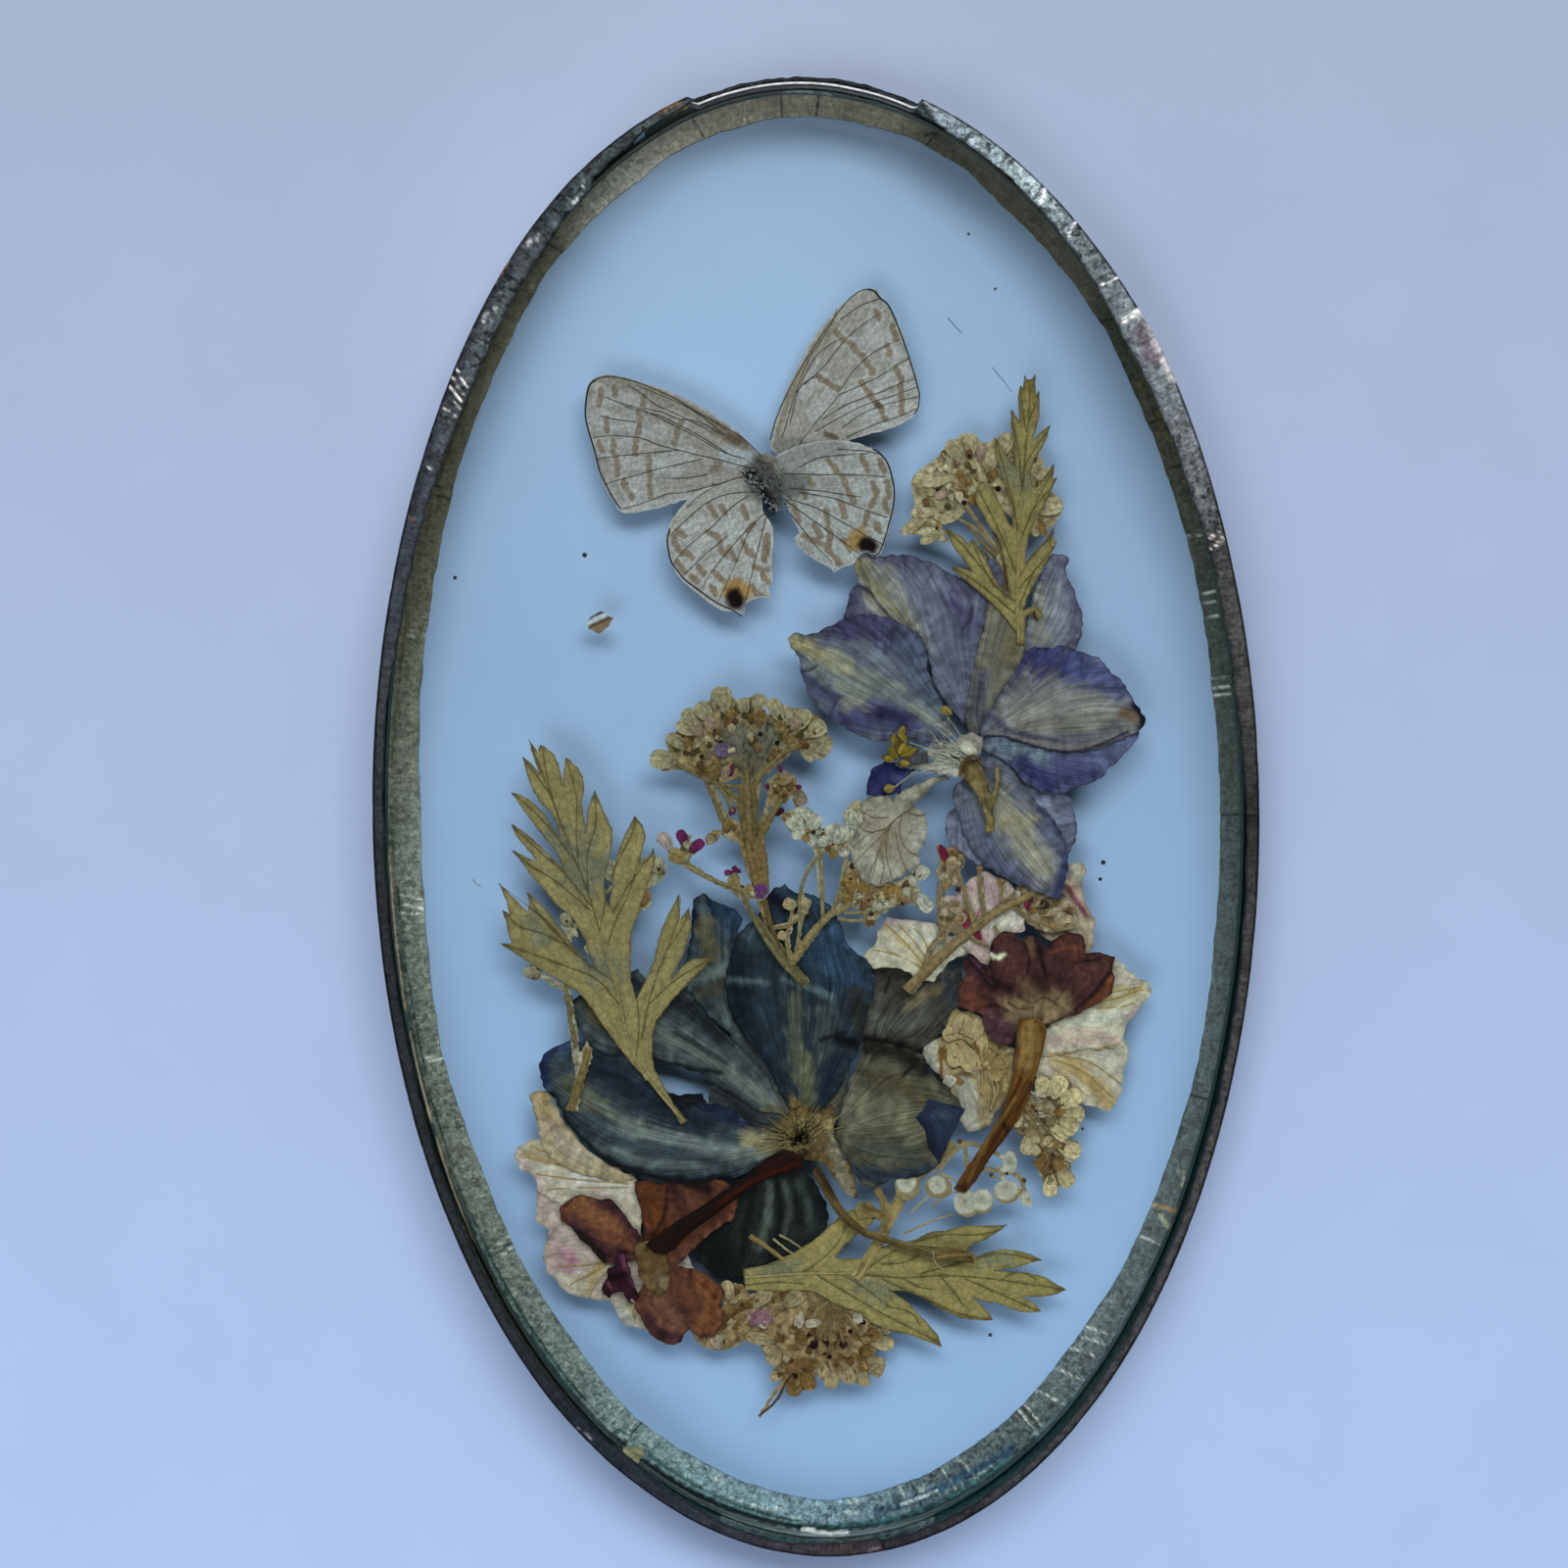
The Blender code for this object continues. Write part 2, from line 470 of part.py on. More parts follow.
def umbels():
    top_head = [
        (915, 540), (930, 535), (934, 511), (931, 488), (940, 477), (952, 469), (966, 457),
        (977, 450), (979, 443), (986, 439), (996, 441), (1003, 450), (1012, 449), (1020, 443),
        (1032, 438), (1045, 446), (1064, 463), (1067, 475), (1076, 500), (1085, 508),
        (1086, 519), (1077, 530), (1068, 541), (1058, 546), (1040, 530), (1018, 515),
        (1000, 500), (985, 522), (968, 527), (962, 538), (970, 553), (948, 547),
    ]
    top_rays = [
        strip([(1033, 618), (1018, 585), (998, 562), (966, 540)], 7, 4),
        strip([(1033, 618), (1026, 580), (1012, 550), (988, 515)], 7, 4),
    ]
    centre_head = [
        (664, 776), (666, 768), (677, 766), (683, 768), (680, 760), (680, 751), (690, 750),
        (691, 741), (696, 735), (694, 728), (709, 728), (716, 720), (726, 713), (732, 703),
        (741, 700), (747, 709), (751, 717), (762, 712), (773, 708), (778, 713), (778, 722),
        (785, 730), (785, 715), (792, 712), (802, 720), (817, 723), (828, 727), (840, 735),
        (844, 750), (850, 760), (847, 768), (836, 769), (831, 774), (822, 771), (812, 764),
        (803, 772), (793, 781), (784, 789), (772, 795), (752, 794), (735, 800), (719, 796),
        (703, 787), (690, 785), (681, 787), (671, 784),
    ]
    centre_stem = [
        (754, 858), (758, 874), (764, 893), (770, 912), (776, 933), (785, 957), (796, 976),
        (809, 993), (820, 1008), (827, 1002), (813, 986), (802, 971), (792, 952), (785, 933),
        (782, 912), (784, 893), (782, 870), (776, 857), (765, 850),
    ]
    centre_rays = [
        strip([(722, 796), (741, 838), (760, 862)], 6, 8),
        strip([(735, 800), (754, 822), (764, 850)], 5, 6),
        strip([(760, 788), (763, 838), (765, 862)], 8),
        strip([(776, 790), (770, 830), (768, 862)], 5),
        strip([(786, 804), (780, 835), (768, 862)], 5, 8),
    ]
    centre_florets = [
        [(782, 797), (792, 790), (800, 786), (812, 793), (815, 804), (821, 812), (818, 822),
         (811, 824), (809, 812), (800, 817), (790, 827), (783, 818), (784, 806)],
        [(720, 855), (727, 847), (736, 848), (736, 838), (745, 833), (753, 839), (758, 852),
         (756, 861), (746, 858), (736, 851), (729, 860), (721, 862)],
    ]
    sprig = [
        [(669, 859), (676, 849), (685, 856), (684, 866), (693, 867), (692, 847), (705, 853),
         (704, 859), (719, 858), (713, 868), (707, 873), (700, 882), (690, 882), (683, 874),
         (679, 864)],
        strip([(697, 878), (716, 891), (735, 902), (752, 911), (762, 925), (771, 940),
               (782, 957), (792, 972)], 5),
        [(738, 893), (742, 889), (746, 891), (749, 884), (754, 893), (757, 908), (750, 912),
         (745, 904), (744, 894)],
        disc(776, 911, 7, 9), strip([(776, 912), (763, 914), (757, 914)], 6, 9),
    ]
    white = [
        [(797, 831), (807, 828), (819, 823), (830, 828), (832, 836), (838, 845), (851, 840),
         (862, 842), (864, 825), (872, 818), (880, 818), (881, 835), (876, 848), (871, 853),
         (866, 866), (863, 875), (855, 870), (840, 870), (836, 857), (828, 855), (819, 857),
         (809, 851), (800, 840)],
        strip([(809, 982), (826, 959), (841, 939), (862, 921), (880, 907)], 8, 7),
        strip([(840, 937), (837, 906), (834, 876), (828, 852)], 4),
        strip([(813, 976), (816, 950), (818, 921), (820, 900), (829, 881), (842, 865)], 4),
        [(864, 878), (876, 882), (887, 898), (904, 901), (927, 893), (938, 878), (945, 891),
         (936, 900), (940, 911), (949, 931), (941, 929), (931, 922), (915, 925), (901, 932),
         (892, 945), (883, 945), (880, 929), (862, 924), (852, 927), (857, 900), (861, 877)],
        strip([(808, 980), (804, 960), (808, 942), (808, 924)], 3), disc(807, 923, 6, sides=8),
        strip([(788, 948), (807, 941), (821, 928)], 4), disc(822, 924, 5, sides=8),
        strip([(806, 962), (800, 955)], 4), disc(799, 955, 5, sides=8),
    ]
    pink = [
        [(924, 1010), (931, 1016), (953, 992), (978, 968), (997, 953), (1017, 933),
         (1041, 917), (1038, 908), (1019, 923), (995, 940), (970, 960), (948, 984)],
        strip([(943, 990), (951, 966), (960, 955), (959, 931), (965, 896)], 5),
        strip([(997, 943), (985, 914), (977, 888)], 6, 5),
        strip([(1005, 934), (1002, 902), (1001, 880)], 5, 4),
        strip([(1028, 922), (1023, 898)], 5),
        [(955, 861), (967, 866), (975, 863), (985, 872), (984, 884), (979, 893), (977, 904),
         (962, 905), (956, 893), (958, 880)],
        [(960, 922), (975, 919), (990, 927), (990, 948), (976, 953), (961, 950)],
        [(1038, 905), (1062, 904), (1085, 912), (1100, 932), (1098, 948), (1075, 952),
         (1055, 946), (1042, 930)],
    ]
    left = [
        strip([(588, 1080), (583, 1040), (578, 1003), (580, 945)], 8, 7),
        [(584, 1068), (593, 1073), (599, 1063), (604, 1073), (597, 1100), (589, 1135),
         (578, 1133), (586, 1100)],
        disc(543, 992, 9, 8), strip([(578, 1010), (545, 993)], 6, 5),
        [(572, 932), (582, 934), (590, 955), (578, 958), (573, 946)],
        strip([(582, 950), (610, 920), (632, 898)], 5),
        [(620, 878), (645, 877), (668, 875), (679, 880), (680, 890), (672, 900), (655, 903),
         (625, 900)],
        strip([(635, 895), (650, 915)], 6), disc(657, 920, 8, 9),
    ]
    bottom = [
        [(738, 1316), (749, 1313), (758, 1315), (764, 1324), (793, 1318), (830, 1318),
         (855, 1332), (875, 1342), (892, 1355), (903, 1363), (915, 1375), (896, 1381),
         (891, 1391), (905, 1396), (900, 1404), (888, 1407), (882, 1417), (873, 1415),
         (866, 1413), (857, 1411), (849, 1420), (840, 1413), (833, 1407), (832, 1422),
         (818, 1423), (813, 1429), (805, 1423), (800, 1407), (786, 1409), (793, 1394),
         (781, 1387), (776, 1375), (760, 1372), (749, 1378), (735, 1382), (721, 1379),
         (708, 1369), (706, 1360), (724, 1350), (738, 1335), (734, 1325)],
        strip([(802, 1410), (788, 1430), (775, 1450)], 4, 3),
    ]
    right = [
        [(1036, 1150), (1045, 1130), (1051, 1118), (1061, 1113), (1077, 1104), (1089, 1099),
         (1097, 1113), (1097, 1126), (1107, 1136), (1102, 1148), (1092, 1151), (1090, 1162),
         (1102, 1167), (1104, 1180), (1094, 1182), (1095, 1201), (1083, 1211), (1074, 1224),
         (1068, 1212), (1061, 1197), (1058, 1182), (1050, 1177), (1050, 1163), (1038, 1156)],
    ]
    beads = [
        disc(926, 1212, 13, 14), disc(958, 1212, 14, 12), disc(988, 1229, 14),
        disc(1003, 1227, 11, 13), disc(1028, 1217, 14, 12), disc(1031, 1187, 7, 12),
        [(1040, 1214), (1051, 1216), (1054, 1232), (1046, 1231), (1041, 1224)],
        strip([(985, 1166), (958, 1190), (926, 1210)], 5, 4),
        strip([(985, 1166), (962, 1190), (957, 1208)], 5, 4),
        strip([(985, 1166), (988, 1195), (988, 1225)], 5, 4),
        strip([(985, 1166), (1005, 1172), (1030, 1185)], 5, 4),
        strip([(988, 1192), (1010, 1194), (1040, 1199), (1049, 1222)], 4, 5),
        strip([(1022, 1193), (1027, 1213)], 5),
    ]
    return {
        "umbel_top": (STRAW, FLORET, [top_head] + top_rays),
        "umbel_centre": (STRAW, FLORET,
                         [centre_head, centre_stem] + centre_rays + centre_florets),
        "pink_sprig": (STRAW, FLORET, sprig),
        "white_umbel": (CREAM, FLORET, white),
        "pink_umbel": (STRAW, FLORET, pink),
        "umbel_left": (STRAW, FLORET, left),
        "umbel_bottom": (STRAW, FLORET, bottom),
        "umbel_right": (CREAM, FLORET, right),
        "white_florets": (CREAM, PETAL, beads),
    }


def blue_flower():
    left = [
        (551, 1083), (562, 1071), (575, 1065), (593, 1064), (605, 1073), (620, 1079),
        (640, 1079), (658, 1093), (673, 1108), (690, 1118), (704, 1116), (717, 1117),
        (721, 1126), (746, 1132), (767, 1147), (791, 1156), (800, 1166), (793, 1177),
        (776, 1188), (758, 1199), (732, 1205), (696, 1208), (667, 1207), (640, 1197),
        (617, 1185), (596, 1167), (578, 1147), (566, 1123), (553, 1107),
    ]
    upper_left = [
        (580, 1030), (586, 1020), (597, 1016), (620, 1008), (645, 992), (650, 990), (658, 999),
        (675, 1003), (697, 1008), (705, 1017), (725, 1040), (748, 1064), (776, 1092),
        (791, 1114), (803, 1138), (779, 1137), (750, 1120), (726, 1106), (705, 1094),
        (667, 1086), (628, 1079), (608, 1073), (593, 1058), (583, 1038),
    ]
    top_left = [
        (706, 918), (716, 912), (722, 915), (732, 922), (746, 927), (757, 937), (752, 958),
        (748, 976), (745, 991), (745, 1010), (750, 1035), (762, 1057), (752, 1062),
        (730, 1045), (708, 1020), (697, 1006), (699, 987), (703, 964), (705, 940),
    ]
    top = [
        (754, 953), (767, 940), (777, 930), (785, 912), (791, 907), (801, 903), (811, 910),
        (835, 916), (847, 925), (858, 943), (864, 961), (873, 973), (885, 981), (892, 993),
        (891, 1017), (885, 1038), (879, 1064), (864, 1096), (852, 1120), (838, 1135),
        (815, 1140), (800, 1123), (785, 1094), (770, 1073), (752, 1049), (743, 1028),
        (740, 1003), (745, 977),
    ]
    right_upper = [
        (884, 986), (906, 987), (925, 985), (945, 988), (965, 988), (980, 990), (986, 1008),
        (980, 1034), (968, 1049), (953, 1067), (941, 1077), (915, 1072), (882, 1068),
        (872, 1050), (875, 1015),
    ]
    right_lower = [
        (884, 1065), (892, 1063), (914, 1068), (941, 1077), (948, 1093), (962, 1105),
        (973, 1116), (984, 1132), (976, 1147), (965, 1164), (959, 1186), (950, 1195),
        (935, 1202), (912, 1204), (894, 1211), (879, 1208), (870, 1197), (862, 1179),
        (853, 1161), (856, 1143), (864, 1114), (876, 1082),
    ]
    bottom = [
        (775, 1192), (795, 1190), (812, 1190), (825, 1200), (835, 1214), (844, 1235),
        (844, 1253), (832, 1267), (817, 1277), (794, 1288), (765, 1303), (740, 1308),
        (716, 1294), (708, 1276), (722, 1255), (738, 1238), (752, 1220),
    ]
    heart = [
        (793, 1146), (803, 1135), (818, 1128), (834, 1133), (848, 1126), (853, 1140),
        (851, 1156), (860, 1178), (870, 1197), (876, 1224), (866, 1220), (848, 1198),
        (836, 1186), (820, 1183), (805, 1174), (796, 1160),
    ]
    stalk = [
        (834, 1188), (846, 1207), (862, 1234), (880, 1251), (908, 1262),
        (940, 1270), (957, 1272), (975, 1273), (990, 1279), (995, 1289), (985, 1288),
        (964, 1285), (938, 1279), (905, 1269), (877, 1259), (857, 1242), (838, 1213),
        (829, 1196),
    ]
    tan = strip([(972, 1166), (946, 1191), (924, 1217), (909, 1244), (894, 1274), (873, 1307)],
                14, 11)
    fork = strip([(896, 1213), (903, 1228), (911, 1242)], 6)
    dry_floret = [
        (872, 1236), (879, 1226), (888, 1233), (913, 1240), (908, 1250), (885, 1244),
        (877, 1247),
    ]
    return {
        "blue_left_petal": (SLATE, PETAL, [left]),
        "blue_upper_left_petal": (SLATE, PETAL, [upper_left]),
        "blue_top_left_petal": (SLATE, PETAL, [top_left]),
        "blue_top_petal": (NAVY, PETAL, [top]),
        "blue_right_upper_petal": (SLATE, PETAL, [right_upper]),
        "blue_right_lower_petal": (GREY_OLIVE, PETAL, [right_lower]),
        "blue_bottom_petal": (NAVY, PETAL, [bottom]),
        "blue_heart": (OCHRE, PETAL, [heart]),
        "blue_stalk": (BROWN, STALK, [stalk]),
        "tan_stalk": (STRAW, FLORET, [tan, fork, dry_floret]),
    }


def right_side_flowers():
    upper_left = [
        (880, 978), (892, 965), (898, 950), (905, 937), (917, 939), (936, 940), (955, 943),
        (966, 952), (988, 965), (992, 971), (978, 978), (966, 986), (960, 995), (953, 1002),
        (941, 1002), (928, 994), (912, 989), (888, 989),
    ]
    upper = [
        (959, 914), (977, 913), (987, 901), (1004, 889), (1017, 894), (1034, 904),
        (1047, 930), (1046, 950), (1026, 958), (1018, 968), (1012, 985), (1002, 988),
        (990, 975), (977, 956), (961, 943), (959, 920),
    ]
    pink_right = [
        (1084, 900), (1090, 896), (1092, 885), (1100, 879), (1108, 883), (1110, 892),
        (1105, 901), (1108, 914), (1114, 932), (1119, 941), (1117, 955), (1117, 968),
        (1109, 976), (1090, 968), (1070, 960), (1058, 945), (1062, 930), (1075, 918),
    ]
    right = [
        (1050, 1046), (1070, 1040), (1095, 1032), (1120, 1010), (1128, 990), (1140, 979),
        (1150, 987), (1163, 999), (1175, 1006), (1177, 1016), (1168, 1026), (1160, 1036),
        (1151, 1050), (1147, 1063), (1138, 1070), (1112, 1072), (1087, 1077), (1062, 1078),
        (1050, 1064),
    ]
    lower_right = [
        (1056, 1074), (1085, 1072), (1115, 1066), (1145, 1058), (1152, 1068), (1153, 1080),
        (1149, 1099), (1146, 1116), (1141, 1129), (1133, 1138), (1123, 1133), (1111, 1130),
        (1096, 1126), (1079, 1113), (1058, 1099),
    ]
    crumple = [
        (977, 1031), (1002, 1038), (1012, 1055), (1036, 1072), (1036, 1090), (1031, 1114),
        (1017, 1138), (1007, 1153), (988, 1156), (978, 1140), (972, 1118), (970, 1108),
        (953, 1094), (941, 1077), (949, 1065), (963, 1057), (969, 1040),
    ]
    corolla = [
        (979, 1026), (980, 1007), (985, 992), (982, 980), (989, 973), (1000, 980),
        (1009, 989), (1010, 975), (1013, 962), (1021, 953), (1033, 951), (1043, 960),
        (1051, 955), (1058, 954), (1065, 967), (1075, 960), (1089, 952), (1102, 953),
        (1108, 960), (1108, 973), (1121, 972), (1138, 976), (1136, 991), (1138, 1004),
        (1133, 1016), (1119, 1026), (1099, 1036), (1082, 1041), (1068, 1050), (1052, 1052),
        (1038, 1048), (1036, 1062), (1024, 1067), (1013, 1062), (1004, 1045), (1003, 1036),
        (990, 1032),
    ]
    stalk = [
        (1040, 1040), (1038, 1052), (1036, 1080), (1031, 1109), (1021, 1136), (1009, 1158),
        (995, 1180), (982, 1199), (973, 1214), (985, 1218), (997, 1204), (1012, 1180),
        (1029, 1158), (1043, 1136), (1051, 1116), (1060, 1089), (1066, 1065), (1068, 1050),
        (1060, 1040),
    ]
    return {
        "cream_petal_upper_left": (CREAM, PETAL, [upper_left]),
        "cream_petal_upper": (BLUSH, PETAL, [upper]),
        "pink_petals_right": (BLUSH, PETAL, [pink_right]),
        "cream_petal_right": (CREAM, PETAL, [right]),
        "cream_petal_lower_right": (CREAM, PETAL, [lower_right]),
        "cream_crumpled_flower": (CREAM, FLORET, [crumple]),
        "red_right_corolla": (MAROON, PETAL, [corolla]),
        "red_right_stalk": (RUST, STALK, [stalk]),
    }


def left_side_flowers():
    peach = [
        (538, 1117), (558, 1114), (564, 1126), (575, 1146), (589, 1164), (606, 1180),
        (627, 1193), (650, 1204), (627, 1207), (609, 1204), (595, 1200), (573, 1191),
        (558, 1180), (550, 1164), (546, 1144), (541, 1126),
    ]
    upper = [
        (523, 1182), (527, 1173), (537, 1167), (548, 1165), (565, 1178), (600, 1195),
        (648, 1206), (656, 1240), (652, 1262), (620, 1252), (585, 1238), (560, 1226),
        (547, 1215), (545, 1203), (530, 1195),
    ]
    lower = [
        (547, 1213), (546, 1229), (545, 1249), (559, 1259), (555, 1270), (553, 1285),
        (557, 1301), (568, 1312), (575, 1321), (593, 1327), (607, 1330), (622, 1332),
        (628, 1342), (636, 1355), (650, 1359), (672, 1361), (700, 1356), (711, 1345),
        (712, 1310), (707, 1298), (700, 1282), (690, 1285), (660, 1275),
        (650, 1255), (620, 1243), (585, 1228), (560, 1217),
    ]
    corolla = [
        [(570, 1237), (575, 1229), (588, 1222), (600, 1222), (611, 1226), (622, 1225),
         (629, 1230), (638, 1243), (647, 1254), (657, 1266), (660, 1285), (640, 1288),
         (618, 1291), (609, 1283), (600, 1272), (591, 1267), (586, 1258), (577, 1251),
         (571, 1245)],
        [(646, 1207), (665, 1205), (676, 1208), (687, 1204), (715, 1200), (736, 1206),
         (752, 1224), (752, 1234), (750, 1243), (737, 1252), (721, 1263), (707, 1276),
         (694, 1290), (683, 1296), (664, 1290), (655, 1268), (657, 1256), (653, 1238),
         (649, 1222)],
        [(672, 1290), (694, 1293), (707, 1297), (719, 1301), (730, 1309), (738, 1316),
         (739, 1323), (735, 1332), (738, 1346), (734, 1359), (728, 1365), (714, 1365),
         (703, 1359), (698, 1365), (696, 1372), (685, 1374), (671, 1370), (662, 1361),
         (653, 1346), (646, 1333), (655, 1315)],
    ]
    bud = [
        (629, 1284), (637, 1279), (640, 1288), (643, 1302), (647, 1313), (652, 1324),
        (646, 1332), (641, 1331), (635, 1319), (629, 1319), (622, 1326), (615, 1322),
        (614, 1312), (620, 1303), (619, 1295), (627, 1293),
    ]
    throat = [
        (646, 1274), (651, 1269), (667, 1268), (681, 1267), (678, 1278), (683, 1292),
        (683, 1305), (680, 1319), (670, 1323), (661, 1317), (653, 1305), (649, 1290),
    ]
    stalk = [
        (820, 1180), (818, 1191), (802, 1196), (788, 1200), (770, 1209), (752, 1222),
        (734, 1236), (716, 1249), (698, 1263), (684, 1277), (668, 1278), (658, 1270),
        (671, 1260), (689, 1247), (712, 1233), (734, 1218), (757, 1202), (775, 1190),
        (790, 1180), (799, 1174), (812, 1176),
    ]
    return {
        "peach_petal": (PEACH, PETAL, [peach]),
        "cream_left_upper_petal": (CREAM, PETAL, [upper]),
        "cream_left_lower_petal": (BLUSH, PETAL, [lower]),
        "red_left_corolla": (MAROON, PETAL, corolla),
        "red_left_bud": (PLUM, FLORET, [bud]),
        "red_left_throat": (OCHRE, PETAL, [throat]),
        "red_left_stalk": (RUST, STALK, [stalk]),
    }


# From the back pane to the front
PRESSING_ORDER = (
    "umbel_top", "violet_upper_right_petal", "violet_upper_left_petal",
    "cream_left_lower_petal", "cream_left_upper_petal", "peach_petal",
    "blue_bottom_petal", "umbel_bottom", "red_left_corolla", "red_left_bud",
    "red_left_throat", "blue_right_upper_petal", "cream_petal_upper_left",
    "cream_petal_upper", "pink_petals_right", "cream_petal_lower_right", "cream_petal_right",
    "cream_crumpled_flower", "umbel_right", "pink_umbel", "leaf_bottom", "tan_stalk",
    "white_florets", "blue_top_left_petal", "blue_upper_left_petal", "blue_left_petal",
    "blue_top_petal", "blue_right_lower_petal", "blue_heart", "blue_stalk", "red_left_stalk",
    "umbel_left", "leaf_left", "umbel_centre", "pink_sprig", "white_umbel", "pale_petal",
    "violet_lower_back_petal", "violet_lower_petal", "violet_centre_petal",
    "violet_left_petal", "violet_right_lower_petal", "violet_right_petal",
    "violet_small_petal", "violet_heart", "violet_stamens", "violet_spur",
    "red_right_corolla", "red_right_stalk", "leaf_top", "butterfly_left_forewing",
    "butterfly_right_forewing", "butterfly_left_hindwing", "butterfly_right_hindwing",
    "butterfly_body", "wing_scrap",
)

# Where the foil is torn off the front of the top edge, down to the front pane's side
TORN_FOIL = [(701, 40), (943, 40), (951, 92), (934, 126), (905, 150), (740, 150), (706, 118)]
TORN_DEPTH = GLASS + TAPE + GAP


def make_foil():
    finish = material("foil", FOIL, roughness=0.35, metallic=1.0)
    angles = rim_angles(RIM_STATIONS)
    vertices = [(*rim_point(angle, inset), height)
                for angle in angles for inset, height in foil_section(angle)]
    around = len(foil_section(0))
    foil = add_object("foil_tape", vertices, ring_faces(RIM_STATIONS, around), finish)
    outline = [((x - SHEET_MIDDLE[0]) * SHEET_UNIT, (SHEET_MIDDLE[1] - y) * SHEET_UNIT)
               for x, y in reversed(TORN_FOIL)]
    cutter = prism("torn_stretch", outline, THICKNESS - TORN_DEPTH, 2 * THICKNESS, finish)
    cutter.hide_render = True
    cutter.display_type = "WIRE"
    cut = foil.modifiers.new("torn off", "BOOLEAN")
    cut.operation = "DIFFERENCE"
    cut.solver = "EXACT"
    cut.object = cutter


def make_pane(name, bottom):
    finish = material(name, CLEAR, roughness=0.03, transmission=1.0)
    outline = [rim_point(angle, TAPE + GAP) for angle in rim_angles(RIM_STATIONS)]
    prism(name, outline, bottom, bottom + GLASS, finish)


def make_specimens():
    specimens = {}
    for plant in (butterfly, violet_flower, pale_petal, leaves, umbels, blue_flower,
                  right_side_flowers, left_side_flowers):
        specimens.update(plant())
    pile = Pile()
    for name in PRESSING_ORDER:
        pile.lay(name, *specimens[name])


def main():
    for item in list(bpy.context.scene.objects):
        bpy.data.objects.remove(item)
    make_foil()
    make_pane("back_glass", BACK_GLASS_BASE)
    make_pane("front_glass", FRONT_GLASS_BASE)
    make_specimens()


main()
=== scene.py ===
"""Looks of the pressed flower frame: two oval glass panes bound with foil tape, and between them
pressed flowers, leaves and a small butterfly.

Lengths are worked out in millimetres and put into the meshes in metres. The pressed pieces are
traced in marks, about ten to the millimetre, x to the right and y down. The marks are pixels of
the photograph that the frame is made after. mm() turns them into millimetres, x to the right and
y up, from the middle of the oval.
"""
import math

import bpy
import numpy as np
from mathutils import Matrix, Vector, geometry


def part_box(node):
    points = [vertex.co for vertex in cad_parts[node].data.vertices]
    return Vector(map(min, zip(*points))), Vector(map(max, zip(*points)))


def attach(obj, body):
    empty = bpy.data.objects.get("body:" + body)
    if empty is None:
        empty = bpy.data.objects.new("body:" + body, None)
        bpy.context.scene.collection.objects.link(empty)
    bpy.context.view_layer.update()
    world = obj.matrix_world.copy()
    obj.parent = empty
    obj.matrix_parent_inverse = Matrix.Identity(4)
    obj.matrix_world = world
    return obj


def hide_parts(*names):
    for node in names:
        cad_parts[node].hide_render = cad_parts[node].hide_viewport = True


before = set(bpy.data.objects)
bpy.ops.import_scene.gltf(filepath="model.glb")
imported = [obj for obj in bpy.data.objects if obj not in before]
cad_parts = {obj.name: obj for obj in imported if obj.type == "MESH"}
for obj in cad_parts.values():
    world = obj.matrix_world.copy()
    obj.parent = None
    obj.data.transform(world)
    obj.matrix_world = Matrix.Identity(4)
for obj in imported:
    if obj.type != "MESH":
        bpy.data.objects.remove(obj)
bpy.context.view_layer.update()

# ---- The frame's sizes, in millimetres ----
LENGTH = 151.8
WIDTH = 90.5
LEAN = 1.5                 # how far the oval's top swings left, and its bottom right
GLASS = 2.0                # thickness of a pane
FOIL = 0.25                # thickness of the tape
GAP = 0.15                 # between the tape and the glass
THICKNESS = 7.4            # of the whole frame
ON_GLASS = 7.0             # height of the front pane's upper side
BETWEEN = 4.3              # height at which loose bits lie between the panes
TORN = (74.4, 104.5)       # degrees round the rim between which the foil's front fold is gone
TORN_DEPTH = 1.6           # how far the foil's edge lies below the front there

MARK = 0.1014              # one mark, a pixel of the photograph, in millimetres
MIDDLE = (831.2, 830.4)    # the middle of the oval, in marks
FAR_IN = 9.0               # distance from the edge, for pieces that have none to speak of

# How bright a white surface looks where the pieces lie, red, green and blue
SEEN_LIGHT = np.array((0.70, 0.86, 0.94))


# ---- Marks, colours and fields ----

def mm(marks):
    """Millimetres of marks: (x, y) to ((x - middle), (middle - y)) * MARK."""
    return (np.asarray(marks, float) - MIDDLE) * (MARK, -MARK)


def seen(red, green, blue):
    """Surface colour of a piece that looks like this, 0 to 255, where it lies in the frame."""
    value = np.array((red, green, blue)) / 255
    linear = np.where(value < 0.04045, value / 12.92, ((value + 0.055) / 1.055) ** 2.4)
    return np.clip(linear / SEEN_LIGHT, 0.002, 0.92)


def as_seen(colours):
    """Surface colours for rows of red, green and blue, as seen() gives them."""
    return np.stack([seen(*row) for row in colours])


def smooth(low, high, value):
    """0 below low, 1 above high, and an S-shaped step between: t * t * (3 - 2 * t)."""
    t = np.clip((value - low) / (high - low), 0, 1)
    return t * t * (3 - 2 * t)


def waves(points, size, seed, count=14):
    """Soft random relief from -1 to 1: a mean of sines whose directions and phases are random
    and whose wavelengths lie round size, in millimetres."""
    rng = np.random.default_rng(seed)
    points = np.atleast_2d(np.asarray(points, float))
    turn = rng.uniform(0, 2 * np.pi, count)
    length = size * rng.uniform(0.6, 1.7, count)
    phase = rng.uniform(0, 2 * np.pi, count)
    along = points @ np.stack((np.cos(turn), np.sin(turn)))
    return np.clip(np.sin(along * 2 * np.pi / length + phase).sum(axis=1) / count ** 0.5, -1, 1)


